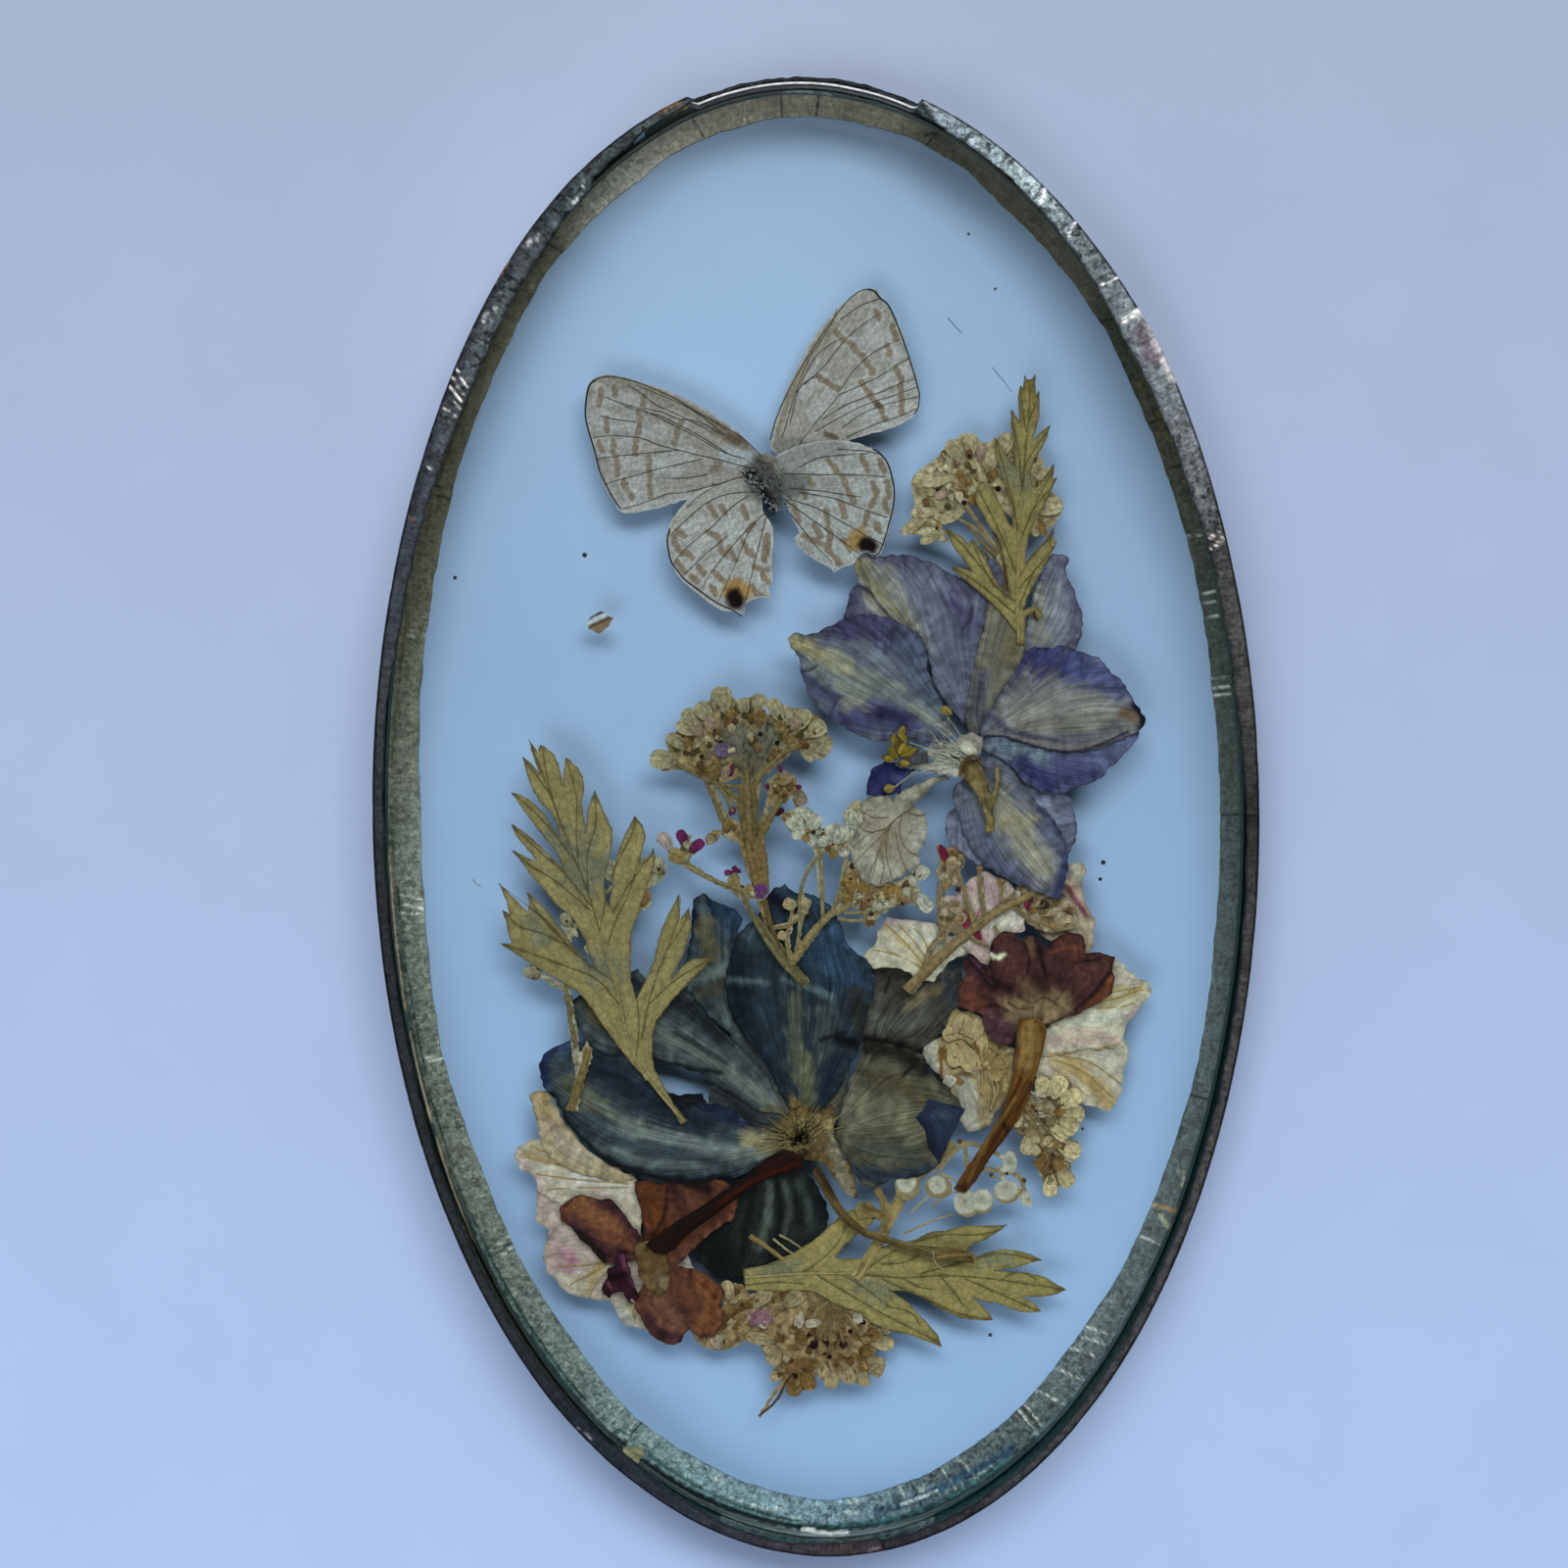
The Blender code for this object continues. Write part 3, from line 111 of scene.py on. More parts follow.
def curve(points, count):
    """A Catmull-Rom curve through the points, at count places evenly spread over its spans."""
    points = np.asarray(points, float)
    ends = np.vstack((2 * points[0] - points[1], points, 2 * points[-1] - points[-2]))
    place = np.linspace(0, len(points) - 1, count)
    span = np.minimum(place.astype(int), len(points) - 2)
    t = (place - span)[:, None]
    a, b, c, d = ends[span], ends[span + 1], ends[span + 2], ends[span + 3]
    return 0.5 * (2 * b + (c - a) * t + (2 * a - 5 * b + 4 * c - d) * t ** 2
                  + (3 * b - a - 3 * c + d) * t ** 3)


def from_path(points, path):
    """For each point: distance to the path, length along it there, and offset to its left."""
    best = np.full(len(points), np.inf)
    along = np.zeros(len(points))
    side = np.zeros(len(points))
    before = 0.0
    for start, stop in zip(path[:-1], path[1:]):
        step = stop - start
        length = max(math.hypot(*step), 1e-9)
        rel = points - start
        t = np.clip(rel @ step / length ** 2, 0, 1)
        gap = rel - t[:, None] * step
        distance = np.hypot(gap[:, 0], gap[:, 1])
        nearer = distance < best
        best[nearer] = distance[nearer]
        along[nearer] = before + t[nearer] * length
        left = step[0] * rel[:, 1] - step[1] * rel[:, 0]
        side[nearer] = (np.sign(left) * distance)[nearer]
        before += length
    return best, along, side


def inside(points, loops):
    """Whether each point lies within the closed loops: an odd number of crossings to its right."""
    x, y = points[:, 0], points[:, 1]
    odd = np.zeros(len(points), bool)
    for loop in loops:
        for (x1, y1), (x2, y2) in zip(loop, np.roll(loop, -1, axis=0)):
            if y1 != y2:
                spans = (y1 > y) != (y2 > y)
                odd ^= spans & (x < x1 + (y - y1) * (x2 - x1) / (y2 - y1))
    return odd


# ---- Meshes ----

class Patch:
    """Part of a mesh: corners in millimetres, triangles, and at each corner a colour, a place
    in the flow of its fibres (across, along) and its distance from the piece's edge. The kind of
    a triangle says which of the piece's finishes it has, and starts as the first."""

    def __init__(self, corners, faces, tint, flow=None, edge=None):
        count = len(corners)
        self.corners = corners
        self.faces = faces
        self.tint = np.broadcast_to(tint, (count, 3))
        self.flow = np.zeros((count, 2)) if flow is None else flow
        self.edge = np.full(count, FAR_IN) if edge is None else edge
        self.kind = np.zeros(len(faces), int)


# How each piece is toned, red, green and blue, by the start of its name. The tones were fitted,
# so that a piece's mean colour in a picture comes near its mean colour in the photograph.
TONES = {
    "butterfly": (0.53, 0.67, 0.81), "butterfly_body": (0.66, 0.73, 0.71),
    "butterfly_left_forewing": (0.49, 0.62, 0.77),
    "butterfly_right_hindwing": (0.49, 0.63, 0.76),
    "wing": (0.57, 0.79, 1.03),
    "violet_upper_right": (0.88, 1.11, 0.96), "violet_upper_left": (0.68, 0.76, 0.78),
    "violet_left": (0.60, 0.71, 0.70), "violet_right_petal": (0.53, 0.62, 0.76),
    "violet_right_lower": (0.70, 0.85, 0.78), "violet_lower": (0.70, 0.77, 0.75),
    "violet_lower_back": (0.75, 0.97, 0.91), "violet_centre": (0.62, 0.69, 0.65),
    "violet_heart": (0.71, 0.86, 0.95), "violet_small": (0.60, 0.82, 0.84),
    "violet_stamens": (0.33, 0.44, 0.44), "violet_spur": (0.51, 0.75, 1.05),
    "leaf_bottom": (0.62, 0.72, 0.75), "leaf_top": (0.52, 0.60, 0.63),
    "leaf_left": (0.55, 0.64, 0.74),
    "umbel_top": (0.50, 0.58, 0.60), "umbel_bottom": (0.41, 0.44, 0.43),
    "umbel_centre": (0.38, 0.45, 0.46), "umbel_left": (0.38, 0.48, 0.53),
    "umbel_right": (0.50, 0.55, 0.56), "white_umbel": (0.49, 0.61, 0.74),
    "pink_umbel": (0.50, 0.63, 0.92), "pink_sprig": (0.47, 0.68, 0.94),
    "pink_petals": (0.58, 0.72, 0.85),
    "blue": (0.50, 0.57, 0.57), "blue_bottom": (0.35, 0.41, 0.32),
    "blue_right_upper": (0.49, 0.53, 0.49), "blue_top_left": (0.41, 0.54, 0.54),
    "blue_upper_left": (0.42, 0.50, 0.48), "blue_top_petal": (0.43, 0.52, 0.46),
    "blue_left": (0.49, 0.60, 0.62), "blue_heart": (0.44, 0.52, 0.49),
    "blue_stalk": (0.36, 0.53, 0.46),
    "cream_left_lower": (0.57, 0.70, 0.80), "cream_petal_lower_right": (0.68, 0.77, 0.85),
    "cream_left_upper": (0.66, 0.79, 0.98), "cream_petal_upper_left": (0.72, 0.85, 0.97),
    "cream_petal_right": (0.71, 0.85, 0.93), "cream_petal_upper": (0.71, 0.85, 0.93),
    "cream_crumpled": (0.54, 0.60, 0.60), "peach": (0.53, 0.68, 0.89),
    "red_left_corolla": (0.46, 0.61, 0.62), "red_right_corolla": (0.42, 0.54, 0.55),
    "red_left_throat": (0.40, 0.41, 0.33), "red_left_bud": (0.36, 0.29, 0.28),
    "red_right_stalk": (0.41, 0.53, 0.46), "red_left_stalk": (0.17, 0.10, 0.025),
    "tan_stalk": (0.70, 0.96, 1.33), "white_florets": (0.64, 0.76, 0.80),
    "pale": (0.54, 0.67, 0.73), "loose": (0.50, 0.60, 0.66),
}
# How much of its colour is taken away, and how much stronger its light and dark are
GREYED = {"violet": 0.30, "violet_heart": 0, "violet_stamens": 0, "violet_spur": 0,
          "blue": 0.15, "umbel": 0.1, "butterfly": 0.1}
DEEPENED = {
    "violet": 1.15, "blue": 1.35, "umbel": 1.25, "red": 1.35, "red_left": 1.7, "leaf": 1.45,
    "peach": 1.4, "white_florets": 1.5, "tan": 1.3, "pink": 1.3, "pale": 1.15, "butterfly": 1.25}

# How much of the fibres' direction is a fan from the petal's base
FANNED = {"violet": 0.7, "violet_centre": 0.3, "violet_small": 0, "blue": 0.45, "blue_heart": 0,
          "cream_petal": 0.5, "cream_left": 0.5}


def by_name(name, table, usual):
    """The table's value for the longest start of the name that it has."""
    found = [start for start in table if name.startswith(start)]
    return table[max(found, key=len)] if found else usual


def toned(name, tint):
    """The painted colours greyed, deepened by a power of their lightness over its mean, and
    toned."""
    light = tint @ (0.25, 0.6, 0.15)
    grey = by_name(name, GREYED, 0)
    tint = tint * (1 - grey) + light[:, None] * grey
    deeper = (light / light.mean()) ** (by_name(name, DEEPENED, 1) - 1)
    return tint * deeper[:, None] * by_name(name, TONES, (1, 1, 1))


def make(name, patches, finishes, replaces=(), sharp=45):
    """One mesh object of several patches, riding on the frame."""
    counts = np.cumsum([0] + [len(patch.corners) for patch in patches])
    corners = np.concatenate([patch.corners for patch in patches]) * 0.001
    faces = np.concatenate([patch.faces + start for patch, start in zip(patches, counts)])
    tint = toned(name, np.concatenate([patch.tint for patch in patches]))
    flow = np.concatenate([patch.flow for patch in patches])
    edge = np.concatenate([patch.edge for patch in patches])
    kind = np.concatenate([patch.kind for patch in patches])
    mesh = bpy.data.meshes.new(name)
    mesh.vertices.add(len(corners))
    mesh.vertices.foreach_set("co", corners.ravel())
    mesh.loops.add(faces.size)
    mesh.loops.foreach_set("vertex_index", faces.ravel())
    mesh.polygons.add(len(faces))
    mesh.polygons.foreach_set("loop_start", np.arange(0, faces.size, 3))
    mesh.polygons.foreach_set("material_index", kind)
    mesh.update(calc_edges=True)
    mesh.polygons.foreach_set("use_smooth", np.ones(len(faces), bool))
    mesh.set_sharp_from_angle(angle=math.radians(sharp))
    colours = mesh.attributes.new("tint", "FLOAT_COLOR", "POINT")
    colours.data.foreach_set("color", np.column_stack((tint, np.ones(len(tint)))).ravel())
    mesh.attributes.new("edge", "FLOAT", "POINT").data.foreach_set("value", edge)
    mesh.uv_layers.new(name="flow").data.foreach_set("uv", flow[faces.ravel()].ravel())
    for finish in finishes:
        mesh.materials.append(finish)
    mesh.validate()
    piece = bpy.data.objects.new(name, mesh)
    bpy.context.scene.collection.objects.link(piece)
    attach(piece, "root")
    if replaces:
        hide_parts(*replaces)
    return piece


def quads(rows, columns, wrap_rows=False, wrap_columns=False):
    """Triangles over a grid of rows and columns, each square cut in two."""
    row = np.arange(rows if wrap_rows else rows - 1)[:, None]
    column = np.arange(columns if wrap_columns else columns - 1)[None, :]
    a = row * columns + column
    b = row * columns + (column + 1) % columns
    c = (row + 1) % rows * columns + (column + 1) % columns
    d = (row + 1) % rows * columns + column
    return np.stack((a, b, c, a, c, d), axis=-1).reshape(-1, 3)


# ---- Borders of the pressed pieces ----

SHARP_TURN = 52            # degrees


def node_loops(name):
    """The closed borders of a slab's upper face, in millimetres, without the slivers."""
    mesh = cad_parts[name].data
    corners = np.empty(len(mesh.vertices) * 3)
    mesh.vertices.foreach_get("co", corners)
    corners = corners.reshape(-1, 3) * 1000
    mesh.calc_loop_triangles()
    triangles = np.empty(len(mesh.loop_triangles) * 3, int)
    mesh.loop_triangles.foreach_get("vertices", triangles)
    triangles = triangles.reshape(-1, 3)
    height = corners[triangles][:, :, 2]
    triangles = triangles[(height > corners[:, 2].max() - 0.01).all(axis=1)]
    keys, index = np.unique(np.round(corners[:, :2] * 1e4).astype(int), axis=0,
                            return_inverse=True)
    triangles = index.ravel()[triangles]
    edges = np.concatenate((triangles[:, :2], triangles[:, 1:], triangles[:, ::-2]))
    forward = {(int(a), int(b)) for a, b in edges}
    following = {a: b for a, b in forward if (b, a) not in forward}
    loops = []
    while following:
        start, here = following.popitem()
        loop = [start]
        while here != start:
            loop.append(here)
            here = following.pop(here)
        loop = keys[loop] / 1e4
        area = np.cross(loop, np.roll(loop, -1, axis=0)).sum() / 2
        if abs(area) > 0.05:
            loops.append(loop)
    return sorted(loops, key=len, reverse=True)


def rounded(loop, spacing):
    """The closed loop through the same points, curved between them and even in spacing. Each
    span is a Hermite curve, whose tangents follow the loop, and break where it turns by more
    than SHARP_TURN."""
    after, before = np.roll(loop, -1, axis=0), np.roll(loop, 1, axis=0)
    out, back = after - loop, loop - before
    out_length = np.hypot(*out.T)[:, None]
    back_length = np.hypot(*back.T)[:, None]
    bend = np.sum(out * back, axis=1)[:, None] / (out_length * back_length)
    tangent = out / out_length + back / back_length
    tangent /= np.maximum(np.hypot(*tangent.T)[:, None], 1e-9)
    is_corner = bend < math.cos(math.radians(SHARP_TURN))
    leave = np.where(is_corner, out / out_length, tangent) * out_length
    arrive = np.roll(np.where(is_corner, back / back_length, tangent), -1, axis=0) * out_length
    steps = np.maximum(np.ceil(out_length[:, 0] / spacing).astype(int), 1)
    span = np.repeat(np.arange(len(loop)), steps)
    first = np.repeat(np.cumsum(steps) - steps, steps)
    t = ((np.arange(len(span)) - first) / steps[span])[:, None]
    return (loop[span] * (2 * t ** 3 - 3 * t ** 2 + 1) + leave[span] * (t ** 3 - 2 * t ** 2 + t)
            + after[span] * (3 * t ** 2 - 2 * t ** 3) + arrive[span] * (t ** 3 - t ** 2))


def ragged(loop, depth, size, seed):
    """The loop moved in and out along its normal by random waves, as a dry edge is."""
    step = np.roll(loop, -1, axis=0) - np.roll(loop, 1, axis=0)
    step /= np.maximum(np.hypot(*step.T)[:, None], 1e-9)
    normal = np.column_stack((step[:, 1], -step[:, 0]))
    return loop + normal * (waves(loop, size, seed) * depth)[:, None]


# ---- Kinds of patch ----

# Millimetres above a sheet's lower side: where its hollows start to level off, and the least
FLOOR = 0.05
LEAST = 0.015
UNDERSIDE_SHADE = 0.8            # painted shade: how bright a sheet's lower side and the hollows of its upper side are painted


class Sheet:
    """A thin sheet cut along a border: its height is a function of x and y, on a grid of places
    set as in a honeycomb, which is joined to the border by Delaunay triangles."""

    def __init__(self, name, spacing=0.3, frayed=0.04, fray_size=1.2, loops=None, seed=1):
        low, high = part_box(name)
        self.base, self.top = low.z * 1000, high.z * 1000
        coarse = node_loops(name) if loops is None else loops
        self.loops = [ragged(rounded(loop, spacing), frayed, fray_size, seed) for loop in coarse]
        border = np.concatenate(self.loops)
        corner, far = border.min(axis=0), border.max(axis=0)
        across = np.arange(corner[0], far[0], spacing)
        along = np.arange(corner[1], far[1], spacing * 0.866)
        grid = np.stack(np.meshgrid(across, along), axis=-1)
        grid[1::2, :, 0] += spacing / 2
        grid = grid.reshape(-1, 2)
        grid = grid[inside(grid, self.loops)]
        edge = self.edge_distance(grid)
        grid, edge = grid[edge > spacing * 0.6], edge[edge > spacing * 0.6]
        places = np.concatenate((border, grid))
        starts = np.cumsum([0] + [len(loop) for loop in self.loops])
        edges = [(a, a + 1 if a + 1 < stop else start)
                 for start, stop in zip(starts, starts[1:]) for a in range(start, stop)]
        found = geometry.delaunay_2d_cdt(places.tolist(), edges, [], 0, 1e-5)
        self.places = np.array([tuple(place) for place in found[0]])
        triangles = np.array(found[2])
        self.triangles = triangles[inside(self.places[triangles].mean(axis=1), self.loops)]
        self.edge, self.round = self.edge_distance(self.places, True)
        self.flow = self.places.copy()
        self.streaks = waves(self.places, 1.2, 8)
        self.tint = np.ones((len(self.places), 3))

    def edge_distance(self, points, with_round=False):
        """Distance of each point from the border, and the place round the border it is near."""
        found = np.full(len(points), np.inf)
        place = np.zeros(len(points))
        for loop in self.loops:
            closed = np.vstack((loop[::2], loop[:1]))
            distance, along, _ = from_path(points, closed)
            place = np.where(distance < found, along, place)
            found = np.minimum(found, distance)
        return (found, place) if with_round else found

    def flow_along(self, path, fan=0.0):
        """Lets the fibres follow a midline: across is the place between the midline, 0, and the
        border, 1, to its left and right; along is the length along the midline. The share fan of
        across is the angle from the midline as seen from its start, 1 at 40 degrees."""
        line = curve(mm(path), 12)
        distance, along, side = from_path(self.places, line)
        away = self.places - line[0]
        ahead = line[3] - line[0]
        turn = np.arctan2(ahead[0] * away[:, 1] - ahead[1] * away[:, 0], away @ ahead)
        across = side / (distance + self.edge + 0.15)
        lean = np.sign(np.sum(turn * side)) * turn / math.radians(40)
        self.flow = np.column_stack((across * (1 - fan) + lean * fan, along))
        self.streaks = waves(self.flow * (7, 0.45), 1.0, 9, 24)

    def flow_from(self, centre):
        """Lets the fibres spread from a point: across is the angle, along the distance."""
        rel = self.places - mm(centre)
        self.flow = np.column_stack((np.arctan2(rel[:, 1], rel[:, 0]) * 2, np.hypot(*rel.T)))
        self.streaks = waves(self.flow * (7, 0.45), 1.0, 9, 24)

    def fill(self, colour):
        """Paints the whole sheet in one colour."""
        self.tint = np.tile(np.asarray(colour, float), (len(self.places), 1))

    def blend(self, colour, share):
        """Moves the colour towards another one by a share at each place."""
        share = np.clip(share, 0, 1)[:, None]
        self.tint = self.tint * (1 - share) + np.asarray(colour) * share

    def stroke(self, colour, width, path, strength=1.0, rough=0.35, soft=0.5):
        """A soft stroke: full on the path, none at about width marks from it, with an uneven
        edge that is twice soft of the width wide."""
        path = mm(path) if len(path) < 3 else curve(mm(path), 4 * len(path))
        distance = from_path(self.places, path)[0] / (width * MARK)
        distance = distance * (1 + rough * self.streaks)
        self.blend(colour, strength * (1 - smooth(0.65 - soft, 0.65 + soft, distance)))

    def pleats(self, size, reach):
        """Small folds that run in from the border: waves of the place round it, from -1 to 1,
        which fade out at reach, in millimetres."""
        along = np.column_stack((self.round, 0.35 * self.edge))
        return waves(along, size, 3, 20) * np.exp(-(self.edge / reach) ** 1.5)

    def patch(self, relief=None):
        """The closed sheet: its upper side has the relief, in millimetres, below the slab's top,
        and from FLOOR down it levels off towards LEAST, as 1 / depth, above the lower side. The
        lower side is flat and painted darker as shade, and so are the hollows of the upper side."""
        count = len(self.places)
        relief = np.zeros(count) if relief is None else relief
        thin = (self.top - self.base) * (1 - smooth(0, 0.25, self.edge))
        height = self.top - relief - 0.4 * thin - self.base
        reach = FLOOR - LEAST
        levelled = LEAST + reach ** 2 / (reach + np.maximum(FLOOR - height, 0))
        upper = self.base + np.where(height > FLOOR, height, levelled)
        # Painted shade: darker where the upper side sinks close to the lower one
        hollow_shade = 1 - (1 - UNDERSIDE_SHADE) * (1 - smooth(-0.03, 0.02, height))
        edges = np.concatenate((self.triangles[:, :2], self.triangles[:, 1:],
                                self.triangles[:, ::-2]))
        key = edges[:, 0] * count + edges[:, 1]
        rim = edges[~np.isin(key, edges[:, 1] * count + edges[:, 0])]
        sides = np.concatenate((
            np.column_stack((rim[:, 1], rim[:, 0], rim[:, 0] + count)),
            np.column_stack((rim[:, 1], rim[:, 0] + count, rim[:, 1] + count))))
        corners = np.concatenate((np.column_stack((self.places, upper)),
                                  np.column_stack((self.places, np.full(count, self.base)))))
        faces = np.concatenate((self.triangles, self.triangles[:, ::-1] + count, sides))
        shaded = self.tint * hollow_shade[:, None]
        return Patch(corners, faces, np.concatenate((shaded, self.tint * UNDERSIDE_SHADE)),
                     np.tile(self.flow, (2, 1)), np.tile(self.edge, 2))


def rods(paths, widths, heights, base, tint, sides=6, ribs=0.0, cup=0.0, tip=None):
    """Stems: an oval section carried along each path and closed at both ends. Its half-width is
    half of widths, its height runs from base, and ribs waves its radius round the section. For
    petals, cup lifts both sides of it by a share of its half-width, times cos^2 of the angle.
    paths is rods by places by 2; widths, heights and base are rods by places; the colour runs
    from tint to tip along each."""
    paths = np.asarray(paths, float)
    count, places = paths.shape[:2]
    widths = np.broadcast_to(widths, (count, places))
    heights = np.broadcast_to(heights, (count, places))
    base = np.broadcast_to(base, (count, places))
    along = np.gradient(paths, axis=1)
    along /= np.maximum(np.linalg.norm(along, axis=2, keepdims=True), 1e-9)
    across = np.stack((-along[..., 1], along[..., 0]), axis=-1)
    angle = np.arange(sides) * 2 * np.pi / sides
    radius = 1 + ribs * np.cos(angle * 7)
    reach = (widths[..., None] * np.cos(angle) * radius / 2)[..., None] * across[:, :, None]
    flat = paths[:, :, None] + reach
    height = base[..., None] + heights[..., None] * (1 + np.sin(angle) * radius) / 2
    height = height + cup * widths[..., None] / 2 * np.cos(angle) ** 2
    rings = np.concatenate((flat, height[..., None]), axis=-1)
    middle = np.concatenate((paths, (base + heights / 2)[..., None]), axis=-1)
    per_rod = places * sides + 2
    corners = np.concatenate((rings.reshape(count, -1, 3), middle[:, :1], middle[:, -1:]), axis=1)
    ring = np.arange(sides)
    first, last = places * sides, places * sides + 1
    start = np.column_stack(((ring + 1) % sides, ring, np.full(sides, first)))
    end = (places - 1) * sides
    stop = np.column_stack((end + ring, end + (ring + 1) % sides, np.full(sides, last)))
    one = np.concatenate((quads(places, sides, wrap_columns=True)[:, ::-1], start, stop))
    faces = (one + (np.arange(count) * per_rod)[:, None, None]).reshape(-1, 3)
    length = np.zeros((count, places))
    length[:, 1:] = np.cumsum(np.linalg.norm(np.diff(paths, axis=1), axis=2), axis=1)
    flow = np.zeros((count, per_rod, 2))
    flow[:, :first, 0] = np.tile(angle / np.pi, places)
    flow[:, :first, 1] = np.repeat(length, sides, axis=1)
    tint = np.broadcast_to(np.asarray(tint, float), (count, 3))[:, None]
    tip = tint if tip is None else np.asarray(tip)[:, None]
    share = (length / np.maximum(length[:, -1:], 1e-9))[..., None]
    shade = tint * (1 - share) + tip * share
    shade = np.concatenate((np.repeat(shade, sides, axis=1), shade[:, :1], shade[:, -1:]), axis=1)
    return Patch(corners.reshape(-1, 3), faces, shade.reshape(-1, 3), flow.reshape(-1, 2))


# ---- Finishes ----

class Nodes:
    """Shorthand for building one material's nodes."""

    def __init__(self, name):
        self.finish = bpy.data.materials.new(name)
        self.finish.use_nodes = True
        self.tree = self.finish.node_tree
        self.shader = self.tree.nodes["Principled BSDF"]

    def add(self, kind, inputs=(), **settings):
        """A new node of this kind, with its settings and the values or links of its inputs."""
        node = self.tree.nodes.new("ShaderNode" + kind)
        for name, value in settings.items():
            setattr(node, name, value)
        for socket, value in dict(inputs).items():
            self.put(node.inputs[socket], value)
        return node

    def put(self, socket, value):
        """Links a socket's output to an input, or gives the input a plain value."""
        if isinstance(value, bpy.types.NodeSocket):
            self.tree.links.new(value, socket)
        else:
            socket.default_value = value

    def set(self, **inputs):
        """Puts values into the shader's inputs, by their names with _ for a space."""
        for name, value in inputs.items():
            self.put(self.shader.inputs[name.replace("_", " ")], value)

    def here(self):
        """The place on the piece, in metres."""
        return self.add("TexCoord").outputs["Object"]

    def tint(self):
        """The colour painted on the piece."""
        return self.add("Attribute", attribute_name="tint").outputs["Color"]

    def flow(self, across, along):
        """The flow of the fibres, stretched so that one unit is across or along long."""
        uv = self.add("UVMap", uv_map="flow").outputs["UV"]
        scaled = self.add("VectorMath", {0: uv, 1: (across, along, 1)}, operation="MULTIPLY")
        return scaled.outputs[0]

    def noise(self, vector, scale=1.0, detail=3.0, roughness=0.55, distortion=0.0):
        """Soft noise from 0 to 1, mostly near a half."""
        node = self.add("TexNoise", {"Vector": vector, "Scale": scale, "Detail": detail,
                                     "Roughness": roughness, "Distortion": distortion})
        return node.outputs["Fac"]

    def span(self, value, low, high, start=0.3, stop=0.7):
        """The value's stretch from start to stop turned into low to high."""
        node = self.add("MapRange", {0: value, 1: start, 2: stop, 3: low, 4: high})
        return node.outputs[0]

    def times(self, colour, factor):
        """A colour times a number."""
        node = self.add("VectorMath", {0: colour, "Scale": factor}, operation="SCALE")
        return node.outputs[0]

    def sum(self, a, b):
        """Two numbers added."""
        return self.add("Math", {0: a, 1: b}, operation="ADD").outputs[0]

    def product(self, a, b):
        """Two numbers multiplied."""
        return self.add("Math", {0: a, 1: b}, operation="MULTIPLY").outputs[0]

    def mix(self, share, a, b):
        """The colour a with a share of the colour b in it."""
        node = self.add("Mix", data_type="RGBA")
        for index, value in ((0, share), (6, a), (7, b)):
            self.put(node.inputs[index], value)
        return node.outputs[2]

    def bump(self, height, depth, strength=1.0):
        """Relief of so many millimetres from a height of 0 to 1."""
        node = self.add("Bump", {"Strength": strength, "Distance": depth * 0.001,
                                 "Height": height})
        self.put(self.shader.inputs["Normal"], node.outputs[0])


def dry_plant(name, fibres=14, fibre_share=0.35, mottle=1.2, mottle_share=0.25, grain_share=0.12,
              depth=0.05, roughness=0.72, drift=0.12, net=0.0, net_share=0.0):
    """Dried petal, leaf or stem: the painted tint, times streaks along the fibres, soft blotches
    and fine grain, with relief from the same streaks and blotches. A net of fine dark veins lies
    over leaves and pale petals: the borders of cells that are net millimetres wide."""
    nodes = Nodes(name)
    streaks = nodes.noise(nodes.flow(fibres, drift), detail=4, roughness=0.6, distortion=0.3)
    blotches = nodes.noise(nodes.here(), scale=1000 / mottle, detail=4, roughness=0.6)
    grain = nodes.noise(nodes.here(), scale=9000, detail=2)
    colour = nodes.times(nodes.tint(), nodes.span(streaks, 1 - fibre_share, 1 + fibre_share))
    colour = nodes.times(colour, nodes.span(blotches, 1 - mottle_share, 1 + mottle_share))
    colour = nodes.times(colour, nodes.span(grain, 1 - grain_share, 1 + grain_share))
    height = nodes.sum(nodes.product(streaks, 0.6), nodes.sum(blotches, nodes.product(grain, 0.2)))
    if net:
        bent = nodes.add("TexNoise", {"Vector": nodes.here(), "Scale": 900}).outputs["Color"]
        moved = nodes.add("MixRGB", {0: 0.0006, 1: nodes.here(), 2: bent}, blend_type="ADD")
        cells = nodes.add("TexVoronoi", {"Vector": moved.outputs[0], "Scale": 1000 / net},
                          feature="DISTANCE_TO_EDGE").outputs["Distance"]
        lines = nodes.span(cells, 1 - net_share, 1, 0.0, 0.12)
        colour = nodes.times(colour, lines)
        height = nodes.sum(height, nodes.product(lines, -0.6))
    nodes.set(Base_Color=colour, Roughness=roughness)
    nodes.shader.inputs["Specular IOR Level"].default_value = 0.06
    nodes.bump(height, depth)
    return nodes.finish


# ---- Camera, light, floor ----

# Painted light: the paper is darker towards the window and lighter away from it, against the
# window light's falloff
FLOOR_NEAR = (0.455, 0.60, 0.93, 1)
FLOOR_FAR = (0.388, 0.458, 0.635, 1)
CAMERA_PLACE = (-0.00316, 0.003085, 0.2074)
CAMERA_LENS = 45           # millimetres, on a sensor 36 wide


def window(name, place, aim, size, energy, colour):
    """A soft rectangular light at a place, turned towards its aim."""
    light = bpy.data.lights.new(name, "AREA")
    light.shape = "RECTANGLE"
    light.size, light.size_y = size
    light.energy = energy
    light.color = colour
    lamp = bpy.data.objects.new(name, light)
    lamp.location = place
    offset = np.array(aim) - np.array(place)
    flat = math.hypot(offset[0], offset[1])
    lamp.rotation_euler = (math.atan2(flat, -offset[2]), 0, math.atan2(-offset[0], offset[1]))
    bpy.context.scene.collection.objects.link(lamp)


